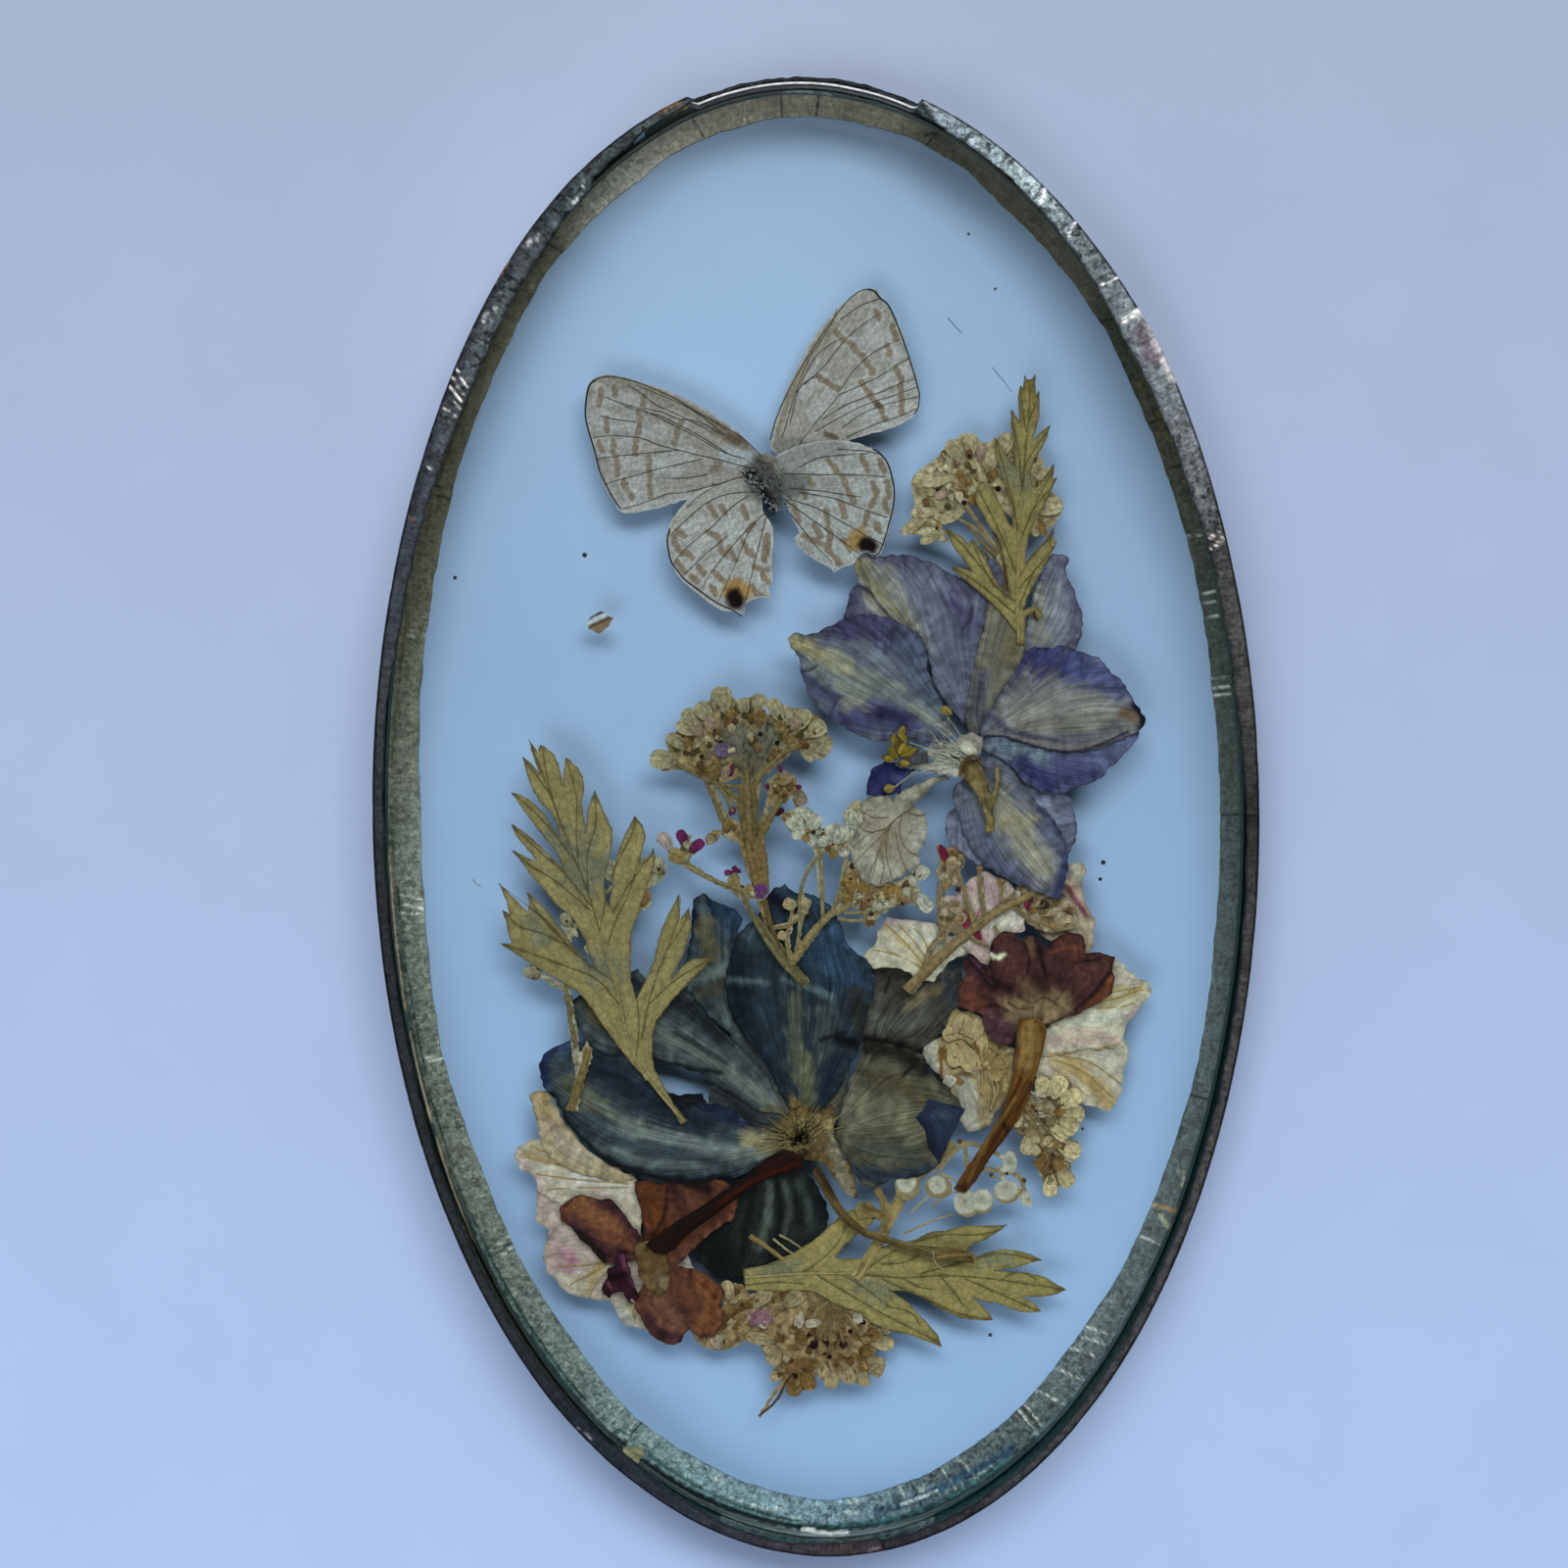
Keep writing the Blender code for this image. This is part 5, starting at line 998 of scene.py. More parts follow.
def make_pane(name, base, finish, cut_edge, is_front):
    """A pane: its section, from the middle of the lower face round the arrised edge to the middle
    of the upper face, carried round the oval. The front one lies a little further in where the
    foil is torn, and its bare arris is broad there and painted pale, as a painted highlight."""
    angle = np.linspace(0, 2 * np.pi, 720, endpoint=False)
    bare = torn_share(angle)[:, None] * is_front
    arris = 0.12 + 0.2 * bare
    section = np.array((       # inset and height: fixed, and shares of the arris
        (12, 0, 0, 0), (3, 0, 0, 0), (0, 1, 0, 0), (0, 0.25, 0, 0.3), (0, 0, 0, 1),
        (0, 0, GLASS / 2, 0), (0, 0, GLASS, -1), (0, 0.25, GLASS, -0.3), (0, 1, GLASS, 0),
        (3, 0, GLASS, 0), (12, 0, GLASS, 0)))
    wave = 0.05 * waves(np.column_stack((np.cos(angle), np.sin(angle))) * 60, 14, 3)
    inset = section[:, 0] + arris * section[:, 1] + FOIL + GAP + wave[:, None].clip(0) + 0.5 * bare
    height = base + section[:, 2] + arris * section[:, 3]
    x, y = rim_line(angle[:, None], inset)
    corners = np.stack((x, y, height), axis=-1).reshape(-1, 3)
    per = len(section)
    tint = np.tile(seen(*TEAL) * 0.9, (len(corners), 1))
    tint = streaked(tint, places_seen(angle, inset, height), REAR_MARKS)
    # Painted highlight: the bare upper arris along the torn stretch is painted pale
    bright = (bare * (section[:, 3] <= 0) * (section[:, 1] > 0) * (section[:, 2] > 0)).reshape(
        -1, 1)
    tint = tint * (1 - bright) + seen(178, 196, 206) * bright
    faces = quads(len(angle), per, wrap_rows=True)[:, ::-1]
    on_edge = np.isin(np.arange(per - 1), range(2, 8)).astype(int)
    middle = len(corners)
    corners = np.vstack((corners, (0, 0, base), (0, 0, base + GLASS)))
    tint = np.vstack((tint, tint[:2]))
    ring = np.arange(len(angle))
    following = (ring + 1) % len(angle)
    low = np.column_stack((following * per, ring * per, np.full(len(ring), middle)))
    high = np.column_stack((ring * per + per - 1, following * per + per - 1,
                            np.full(len(ring), middle + 1)))
    patch = Patch(corners, np.concatenate((faces, low, high)), tint)
    patch.kind = np.concatenate((np.tile(np.repeat(on_edge, 2), len(angle)),
                                 np.zeros(2 * len(angle), int)))
    return make(name + "_clear", [patch], [finish, cut_edge], [name], sharp=20)


def pleated(angle, places):
    """Relief of pleats at places round the rim: a ridge with a furrow on both sides."""
    height = np.zeros_like(angle)
    for place in places:
        away = rim_length(np.degrees(angle)) - rim_length(place)
        height += np.exp(-(away / 0.25) ** 2) - 0.5 * np.exp(-((np.abs(away) - 0.5) / 0.25) ** 2)
    return height[:, None]


def make_foil():
    """The tape: a U section, from the rear fold's tip round the rim to the front fold's tip and
    back along its sticky side, carried round the oval. It is dented by random waves and pleated
    across, and its front fold is gone along the torn stretch."""
    angle = np.linspace(0, 2 * np.pi, 1800, endpoint=False)
    length = rim_length(np.degrees(angle))
    along = np.column_stack((length, length * 0))
    uneven = 0.06 * waves(along, 5, 5) + 0.05 * waves(along, 1.4, 15)
    front = around(angle, FRONT_FLAPS)[:, 0] + uneven
    back = around(angle, BACK_FLAPS)[:, 0] + 0.06 * waves(along, 4, 6) + 0.03 * waves(along, 1, 16)
    bulge = around(angle, BULGES)
    torn = torn_share(angle)
    ragged_edge = 0.25 * waves(along, 2.2, 7)
    top = THICKNESS - torn * (TORN_DEPTH + ragged_edge)
    front = front * (1 - torn) + (0.45 + 0.6 * ragged_edge) * torn

    # Section points: (fixed inset, share of rear fold, share of front fold, fixed height,
    # share of the top's height, 1 on the outside and 0 on the sticky side)
    bend = 0.4
    arc = [bend * (1 - math.cos(math.radians(a))) for a in (22, 45, 68)]
    section = [(0, share, 0, 0, 0, 1) for share in (1, 0.6, 0.3)]
    section += [(bend, 0, 0, 0, 0, 1), (arc[2], 0, 0, 0.03, 0, 1), (arc[1], 0, 0, arc[1], 0, 1)]
    section += [(0.03, 0, 0, arc[2], 0, 1), (0, 0, 0, bend, 0, 1)]
    section += [(0, 0, 0, 0, share, 1) for share in (0.25, 0.5, 0.75)]
    section += [(0, 0, 0, -bend, 1, 1), (0.03, 0, 0, -arc[2], 1, 1), (arc[1], 0, 0, -arc[1], 1, 1)]
    section += [(arc[2], 0, 0, -0.03, 1, 1), (bend, 0, 0, 0, 1, 1)]
    section += [(0, 0, share, 0, 1, 1) for share in (0.35, 0.5, 0.65, 0.8, 0.93, 1)]
    section += [(0, 0, 1, -FOIL, 1, 0), (0, 0, 0.6, -FOIL, 1, 0), (FOIL, 0, 0, -FOIL, 1, 0)]
    section += [(FOIL, 0, 0, 0, share, 0) for share in (0.85, 0.7, 0.55, 0.4, 0.25, 0.12)]
    section += [(FOIL, 0, 0, FOIL, 0, 0)]
    section += [(0, share, 0, FOIL, 0, 0) for share in
                (0.14, 0.2, 0.26, 0.32, 0.38, 0.45, 0.52, 0.6, 0.7, 0.8, 0.9, 1)]
    section = np.array(section)
    fixed, on_back, on_front, rise, on_top, outside = section.T
    inset = fixed + np.outer(back, on_back) + np.outer(front, on_front)
    inset = np.where(on_front > 0, np.maximum(inset, 0.42), inset)
    height = rise + np.outer(top, on_top)

    row = np.arange(len(section))
    spot = np.stack(np.broadcast_arrays(length[:, None], 3.0 * row[None]), axis=-1)
    dent = waves(spot.reshape(-1, 2), 6, 8, 24).reshape(inset.shape)
    fine = waves(spot.reshape(-1, 2), 1.7, 9, 24).reshape(inset.shape)
    relief = 0.05 * dent + 0.025 * fine
    upper = (on_top == 1) & (inset > 0.35)
    lower_inner = (outside == 0) & (on_top == 0) & (inset > 0.35)
    wall = (inset < 0.05) & (on_top >= 0)
    folded = relief + 0.07 * pleated(angle, FOLD_PLEATS)
    height = height + np.where(upper, np.minimum(folded * 0.9 * on_front, 0.10), 0)
    sticky = relief + 0.08 * pleated(angle, [sum(pair) / 2 for pair in REAR_PLEATS])
    height = height + np.where(lower_inner, sticky.clip(-0.04, 0.12) * on_back, 0)
    inset = inset + np.where(wall, relief.clip(0, 0.2), 0)

    x, y = rim_line(angle[:, None], inset - bulge * (1 - 0.7 * on_back))
    corners = np.stack((x, y, height), axis=-1).reshape(-1, 3)
    faces = quads(len(angle), len(section), wrap_rows=True, wrap_columns=True)[:, ::-1]
    places = places_seen(angle, inset, height)
    is_outside = np.tile(outside > 0, len(angle))
    fold = around(angle, FOLD_TINTS)
    rear = around(angle, REAR_TINTS)
    # Darker along the front fold's tip and the bend over the top of the rim: partly the tape's
    # dark cut edge, partly painted shade
    dark_edge_and_shade = np.where((on_top == 1) & (inset < 0.3) | (on_front == 1), 0.28, 1.0)
    dark_edge_and_shade = np.where(on_front == 0.93, 0.6, dark_edge_and_shade)
    tint = as_seen(fold[:, :3])
    tint = (tint[:, None] * dark_edge_and_shade[..., None]).reshape(-1, 3)
    plain = tint[is_outside]
    marked = streaked(plain.copy(), places[is_outside], FOLD_MARKS)
    # The strokes fade down the side
    lower = np.tile(1 - on_top[outside > 0], len(angle))[:, None]
    tint[is_outside] = marked + (plain - marked) * 0.85 * lower
    # Off the rear fold, the sticky side of the inner wall is dark teal, partly painted shade,
    # since the wall stands in shadow
    under = np.where((on_back > 0)[None, :, None], as_seen(rear[:, :3])[:, None], seen(*TEAL))
    under = under.reshape(-1, 3)[~is_outside]
    # The pleats get pale lines, painted highlights on their ridges, and the slots dark lines,
    # painted shade in those folds
    pleats = [((200, 212, 208), 0.17, 0.9, ((outer, 2.2), (inner, 6)))
              for outer, inner in REAR_PLEATS]
    fold_shade_strokes = [((24, 28, 26), 0.22, 0.85, ((outer, 2.0), (inner, 6))) for outer, inner in REAR_FOLD_SHADES]
    tint[~is_outside] = streaked(under, places[~is_outside], pleats + fold_shade_strokes + list(REAR_MARKS))
    # How strongly the painted facets and glints show, carried in the edge slot
    facet_light_amount = np.where(outside[None] > 0, fold[:, 3:], rear[:, 3:]).ravel() / 100
    across = np.cumsum(np.hypot(*np.diff(section[:, [0, 3]] + 3.8 * section[:, [1, 4]], axis=0,
                                         prepend=section[:1, [0, 3]]).T))
    flow = np.stack(np.broadcast_arrays(across[None], length[:, None]), axis=-1).reshape(-1, 2)
    patch = Patch(corners, faces, tint, flow, facet_light_amount)
    is_sticky = outside[faces % len(section)].min(axis=1) == 0
    patch.kind = is_sticky.astype(int)
    return make(
        "foil", [patch], [foil_finish("foil", 2400, 0.25), foil_finish("adhesive", 3000, 0.15)],
        ["foil_tape"], 60)


# ---- Pressed pieces ----

def wing(name, colour, base, spots):
    """A wing: scales in faint rows that spread from its base, with the spots painted on."""
    sheet = Sheet(name, 0.16, 0.05, 0.9, seed=len(name))
    sheet.fill(seen(*colour))
    for tint, width, strength, paths in spots:
        if tint == WING_BARS:
            for path in paths:
                sheet.stroke(seen(*WING_PALE) * 1.12, width * 1.7, path, 0.55, 0.3, 0.25)
        for path in paths:
            sheet.stroke(seen(*tint), width, path, strength, 0.25 if width < 12 else 0.1, 0.28)
    sheet.tint = sheet.tint * (1 + 0.13 * waves(sheet.places, 0.45, 5, 24))[:, None]
    rim = 1 - smooth(0.10, 0.24, sheet.edge)
    sheet.blend(seen(205, 200, 190), 0.5 * rim)
    sheet.flow_from(base)
    relief = 0.03 * (1 + waves(sheet.places, 2.2, 11))
    return sheet, relief


def veins(sheet, colour, width, paths, rise=0.05, count=26):
    """Thin veins, carried along their paths on top of a sheet and tapering to their ends."""
    lines = np.stack([curve(mm(path), count) for path in paths])
    taper = np.linspace(1.0, 0.65, count)[None]
    return rods(lines, width * MARK * taper, rise + 0.04, sheet.top - 0.05,
                np.tile(seen(*colour), (len(paths), 1)))


WING_BARS = (150, 128, 98)
WING_PALE = (188, 185, 174)
WING_VEIN = (104, 93, 76)
WING_MARGIN = (62, 56, 50)


def left_forewing(finish):
    """The left forewing: pale patches, bars and brown spots, with branching veins, a line near
    its outer margin and a raised front edge."""
    bars = [((657, 401), (654, 413)), ((650, 415), (652, 430), (648, 445), (647, 460)),
            ((695, 427), (690, 440), (688, 452)), ((661, 462), (662, 480), (663, 505)),
            ((628, 463), (629, 483)), ((635, 488), (638, 496), (644, 506)),
            ((612, 394), (610, 412)), ((618, 425), (618, 438)), ((610, 450), (614, 458)),
            ((625, 448), (624, 458)), ((625, 392), (626, 400))]
    pale = [((634, 472), (652, 470)), ((672, 468), (700, 462)), ((642, 492), (654, 490)),
            ((668, 476), (690, 478)), ((652, 436), (674, 440)), ((634, 450), (630, 456)),
            ((640, 500), (655, 508)), ((615, 405), (640, 402)), ((605, 425), (640, 432)),
            ((640, 519), (680, 513), (700, 506)), ((614, 494), (622, 508), (630, 517))]
    brown = [((745, 443), (752, 448)), ((756, 442), (766, 452))]
    sheet, relief = wing(
        "butterfly_left_forewing", (170, 160, 140), (790, 480),
        ((WING_PALE, 11, 0.55, pale), (WING_BARS, 5.0, 0.9, bars),
         ((150, 140, 115), 9, 0.7, [((620, 384), (680, 404), (740, 438))]),
         ((104, 78, 46), 7, 0.9, brown), ((132, 106, 72), 7, 0.6, [((728, 476), (733, 473))]),
         ((104, 82, 56), 3, 0.8, [((727, 492), (728, 495))]),
         ((128, 106, 76), 10, 0.6, [((730, 434), (748, 446), (768, 460))]),
         ((180, 182, 175), 14, 0.8, [((742, 462), (762, 466))]),
         ((120, 115, 100), 16, 0.7, [((776, 470), (776, 482))])))
    lines = [
        ((760, 466), (738, 459), (700, 438), (680, 428), (655, 416), (630, 408), (616, 402)),
        ((745, 462), (716, 444), (690, 430), (670, 421), (652, 417), (636, 412)),
        ((735, 440), (712, 428), (692, 425), (675, 418), (655, 414)),
        ((722, 436), (700, 425), (685, 418), (668, 410), (655, 400), (640, 390)),
        ((740, 442), (715, 422), (695, 410), (672, 400), (650, 391)),
        ((692, 457), (672, 452), (655, 445), (640, 443), (625, 442), (604, 444)),
        ((692, 457), (660, 460), (640, 462), (620, 464), (609, 466)),
        ((717, 466), (690, 472), (665, 478), (640, 485), (622, 490), (615, 493)),
        ((722, 482), (705, 485), (690, 486), (676, 486)),
        ((740, 490), (700, 500), (680, 502), (665, 508), (650, 513), (636, 517)),
        ((768, 476), (730, 466), (712, 462), (692, 457)), ((612, 422), (630, 426), (650, 428))]
    margin = [((606, 385), (600, 391), (597, 405), (596, 420), (598, 432), (602, 446), (607, 463),
               (611, 479), (618, 494), (625, 507), (632, 517))]
    costa = [((606, 385), (613, 382), (625, 381.5), (645, 386), (665, 393.5), (690, 405),
              (715, 420), (745, 437), (757, 444), (770, 456), (778, 464))]
    make("butterfly_left_forewing_scaled",
         [sheet.patch(relief), veins(sheet, WING_VEIN, 1.0, lines),
          veins(sheet, WING_MARGIN, 1.9, margin, 0.07, 60),
          veins(sheet, (120, 108, 86), 1.6, costa, 0.08, 60)], [finish],
         ["butterfly_left_forewing"])


def left_hindwing(finish):
    """The left hindwing, with an eyespot, bars and pale patches, and branching veins."""
    bars = [((724, 514), (729, 525)), ((757, 514), (762, 527)), ((744, 558), (750, 570)),
            ((722, 541), (733, 548), (735, 558), (740, 566)), ((758, 550), (764, 562), (770, 566)),
            ((783, 545), (783, 565)), ((781, 548), (780, 570)),
            ((770, 576), (780, 581), (788, 578)), ((686, 545), (690, 558), (696, 564)),
            ((700, 562), (706, 568)), ((690, 572), (698, 583)), ((713, 577), (718, 585)),
            ((705, 586), (711, 592)), ((728, 582), (738, 592)), ((725, 597), (730, 605)),
            ((766, 597), (772, 605)), ((778, 585), (785, 595)), ((775, 606), (785, 611)),
            ((735, 515), (740, 522)), ((768, 532), (764, 540)), ((690, 540), (698, 545))]
    pale = [((712, 530), (700, 545)), ((742, 530), (712, 558)), ((752, 545), (745, 552)),
            ((735, 572), (722, 580)), ((768, 552), (766, 572), (760, 585)),
            ((745, 575), (742, 585)), ((720, 592), (738, 604)), ((742, 615), (754, 620)),
            ((756, 530), (745, 540)), ((770, 588), (770, 594)), ((782, 525), (787, 536))]
    sheet, relief = wing(
        "butterfly_left_hindwing", (172, 163, 146), (782, 512),
        ((WING_PALE, 10, 0.6, pale), (WING_BARS, 5.2, 0.95, bars),
         ((184, 142, 72), 13, 1.0, [((744, 602), (751, 597), (759, 602))]),
         ((40, 18, 15), 14, 1.0, [((749, 608), (751, 613))]),
         ((120, 115, 100), 12, 0.6, [((776, 505), (766, 498))])))
    lines = [
        ((762, 505), (745, 517), (725, 537), (705, 553), (692, 566), (687, 574)),
        ((772, 500), (745, 502), (725, 509), (705, 524), (690, 538), (685, 543)),
        ((742, 545), (722, 562), (708, 575), (699, 583)),
        ((783, 520), (763, 538), (742, 562), (725, 583), (717, 598)),
        ((772, 530), (762, 545), (752, 570), (742, 592), (733, 612)),
        ((783, 522), (775, 552), (768, 580), (762, 605), (757, 625)),
        ((758, 484), (735, 492), (715, 503), (700, 517))]
    margin = [((683, 538), (680.5, 548), (681.5, 560), (684, 571), (690, 580), (698, 590),
               (710, 599), (722, 608), (735, 616), (748, 622), (757, 628))]
    make("butterfly_left_hindwing_scaled",
         [sheet.patch(relief), veins(sheet, WING_VEIN, 1.1, lines),
          veins(sheet, WING_MARGIN, 1.8, margin, 0.07, 50)], [finish], ["butterfly_left_hindwing"])


def right_forewing(finish):
    """The right forewing, painted and veined like the left one."""
    bars = [((852, 334), (862, 345)), ((867, 346), (875, 355), (885, 367), (892, 378)),
            ((836, 382), (845, 388), (855, 394)), ((880, 388), (886, 397), (895, 410)),
            ((898, 412), (903, 425)), ((915, 372), (920, 385)),
            ((920, 392), (921, 405), (921, 418)), ((911, 328), (915, 342)),
            ((894, 314), (897, 322)), ((906, 350), (908, 358))]
    pale = [((840, 335), (825, 368)), ((895, 345), (905, 340)), ((905, 358), (915, 356)),
            ((900, 388), (912, 380)), ((880, 412), (862, 420)), ((905, 402), (885, 416)),
            ((928, 375), (931, 390)), ((890, 422), (915, 412)), ((885, 345), (890, 330)),
            ((862, 402), (876, 396)), ((830, 420), (845, 405)),
            ((930, 415), (915, 426), (885, 434)), ((820, 400), (828, 380))]
    sheet, relief = wing(
        "butterfly_right_forewing", (168, 158, 140), (795, 465),
        ((WING_PALE, 11, 0.55, pale), (WING_BARS, 5.4, 0.95, bars),
         ((152, 135, 105), 8, 0.7, [((790, 440), (803, 405), (828, 362), (850, 328))]),
         ((115, 95, 65), 4.5, 0.9, [((844, 441), (854, 444)), ((896, 409), (899, 413))]),
         ((120, 115, 100), 14, 0.5, [((790, 455), (812, 452))])))
    lines = [
        ((798, 445), (812, 398), (825, 365), (838, 345), (850, 325), (854, 312)),
        ((806, 430), (815, 395), (830, 365), (845, 350), (860, 342)),
        ((820, 390), (840, 372), (862, 345), (885, 325), (899, 317)),
        ((858, 323), (880, 308), (900, 301)),
        ((858, 395), (872, 375), (885, 362), (900, 352), (918, 344)),
        ((857, 400), (880, 390), (900, 380), (915, 370), (928, 363)),
        ((840, 425), (865, 410), (900, 397), (920, 388), (936, 384)),
        ((832, 438), (860, 422), (890, 408), (910, 402), (937, 392)),
        ((860, 434), (880, 420), (905, 410), (938, 402)),
        ((864, 444), (895, 430), (920, 422), (936, 414)),
        ((815, 452), (830, 432), (842, 418), (857, 400)), ((812, 398), (822, 387), (836, 380))]
    margin = [
        ((886, 291.5), (893, 294), (899, 301), (907, 308), (914, 322), (921, 340), (926, 354),
         (931, 370), (936, 387), (939, 400), (938, 412), (934, 420))]
    costa = [((786, 447), (792, 425), (805, 395), (825, 360), (845, 330), (865, 304), (878, 294),
              (888, 291.5))]
    make("butterfly_right_forewing_scaled",
         [sheet.patch(relief), veins(sheet, WING_VEIN, 1.0, lines),
          veins(sheet, WING_MARGIN, 1.8, margin, 0.07, 50),
          veins(sheet, (120, 106, 84), 1.6, costa, 0.08, 50)], [finish],
         ["butterfly_right_forewing"])


def right_hindwing(finish):
    """The right hindwing, with an eyespot, painted and veined like the left one."""
    bars = [((845, 468), (855, 480)), ((860, 485), (865, 497), (872, 512)),
            ((880, 465), (885, 478)), ((898, 468), (903, 480)),
            ((891, 492), (895, 503), (889, 515)), ((906, 490), (907, 505)),
            ((903, 510), (906, 522)), ((858, 512), (862, 525)), ((843, 520), (845, 532)),
            ((886, 523), (883, 534)), ((894, 533), (898, 540)), ((810, 515), (815, 530)),
            ((820, 545), (842, 555), (848, 547), (845, 538)), ((845, 560), (858, 575)),
            ((862, 550), (868, 560)), ((818, 497), (822, 505)), ((826, 487), (829, 494)),
            ((831, 535), (838, 546))]
    pale = [((870, 492), (884, 496)), ((878, 505), (872, 522)), ((900, 500), (900, 486)),
            ((868, 470), (876, 478)), ((880, 545), (868, 528)), ((902, 528), (896, 548)),
            ((852, 528), (866, 540)), ((838, 505), (852, 512)), ((830, 475), (845, 478)),
            ((840, 540), (850, 560)), ((862, 562), (868, 568)), ((835, 562), (850, 575)),
            ((893, 560), (880, 563)), ((870, 455), (895, 464)), ((820, 520), (832, 528))]
    sheet, relief = wing(
        "butterfly_right_hindwing", (168, 160, 144), (795, 492),
        ((WING_PALE, 10, 0.6, pale), (WING_BARS, 5.2, 0.95, bars),
         ((180, 140, 72), 14, 1.0, [((877, 546), (873, 552), (879, 551))]),
         ((38, 17, 16), 13, 1.0, [((884, 555), (888, 557))]),
         ((118, 114, 102), 20, 0.85, [((790, 490), (812, 494))]),
         ((150, 147, 138), 16, 0.6, [((800, 462), (850, 455))])))
    lines = [
        ((815, 476), (835, 466), (860, 463), (888, 461)),
        ((800, 482), (840, 483), (870, 483), (904, 485)),
        ((805, 497), (840, 500), (870, 505), (880, 506)),
        ((815, 501), (850, 507), (864, 512), (885, 520), (906, 527)),
        ((805, 508), (835, 518), (862, 533), (885, 546), (901, 554)),
        ((800, 508), (830, 530), (857, 549), (878, 565)), ((855, 457), (885, 459), (897, 462)),
        ((806, 522), (820, 540), (833, 556), (848, 572))]
    margin = [((892, 457), (898, 461), (906, 471), (911, 487), (913, 501), (912, 515), (908, 532),
               (903, 550), (898, 562), (893, 566), (882, 564.5))]
    make("butterfly_right_hindwing_scaled",
         [sheet.patch(relief), veins(sheet, WING_VEIN, 1.1, lines),
          veins(sheet, WING_MARGIN, 1.8, margin, 0.07, 50)], [finish],
         ["butterfly_right_hindwing"])


def butterfly_body(finish):
    """The thorax and abdomen, pressed flat: a dark tuft of short hairs that lie along it, and
    soft grey down to its right."""
    sheet = Sheet("butterfly_body", 0.16, 0.1, 0.5)
    sheet.fill(seen(118, 118, 112))
    sheet.stroke(seen(88, 86, 82), 12, ((772, 472), (784, 490), (794, 510)), 0.8, 0.6)
    sheet.stroke(seen(42, 44, 48), 7, ((760, 479), (770, 488), (780, 502), (789, 517)), 0.9, 0.6)
    rng = np.random.default_rng(4)

    def hairs(count, line, spread, turn, reach, shades, shares):
        """Random short hairs rooted near a line, in the direction turn give or take half a
        radian, each of one of the grey shades, in the given shares."""
        spine = curve(mm(line), 200)
        root = spine[rng.integers(0, 200, count)] + rng.normal(0, spread, (count, 2))
        angle = np.radians(turn) + rng.normal(0, 0.5, count)
        step = np.stack((np.cos(angle), np.sin(angle)), axis=-1) * rng.uniform(*reach, (count, 1))
        bend = rng.normal(0, 0.08, (count, 2))
        paths = np.stack((root, root + step * 0.6 + bend, root + step), axis=1)
        shade = rng.choice(shades, count, p=shares)
        tint = np.stack([seen(value * 0.96, value, value * 1.03) for value in shade])
        return rods(paths, (0.05, 0.07, 0.03), 0.07,
                    sheet.top - 0.05 + rng.uniform(0, 0.14, (count, 1)), tint, sides=4)

    down = hairs(300, ((772, 470), (786, 488), (798, 512)), 0.5, -40, (0.3, 0.7),
                 (84, 104, 128), (0.4, 0.35, 0.25))
    tuft = hairs(380, ((759, 478), (769, 487), (779, 501), (789, 518)), 0.3, -52, (0.25, 0.55),
                 (22, 40, 74, 150, 190), (0.4, 0.22, 0.14, 0.14, 0.10))
    make("butterfly_body_haired",
         [sheet.patch(0.06 * (1 + waves(sheet.places, 0.7, 2))), down, tuft], [finish],
         ["butterfly_body"])


def wing_scrap(finish):
    """A torn scrap of a wing: two dark bars with white between them."""
    sheet = Sheet("wing_scrap", 0.14, 0.06, 0.5)
    sheet.fill(seen(140, 110, 80))
    sheet.stroke(seen(205, 205, 200), 3.2, ((598, 635), (620, 624)), 1.0, 0.2)
    sheet.stroke(seen(60, 48, 40), 1.7, ((598, 630), (616, 622)), 1.0, 0.2)
    sheet.stroke(seen(70, 55, 42), 1.6, ((602, 638), (622, 629)), 1.0, 0.2)
    make("wing_scrap_scaled", [sheet.patch()], [finish], ["wing_scrap"])


def make_butterfly():
    """The butterfly: four wings, a haired body, and a loose scrap of a wing."""
    finish = dry_plant("wing", fibres=20, fibre_share=0.22, mottle=0.6, mottle_share=0.2,
                       grain_share=0.22, depth=0.03, roughness=0.85, drift=0.3)
    for part in (left_forewing, left_hindwing, right_forewing, right_hindwing, butterfly_body,
                 wing_scrap):
        part(finish)


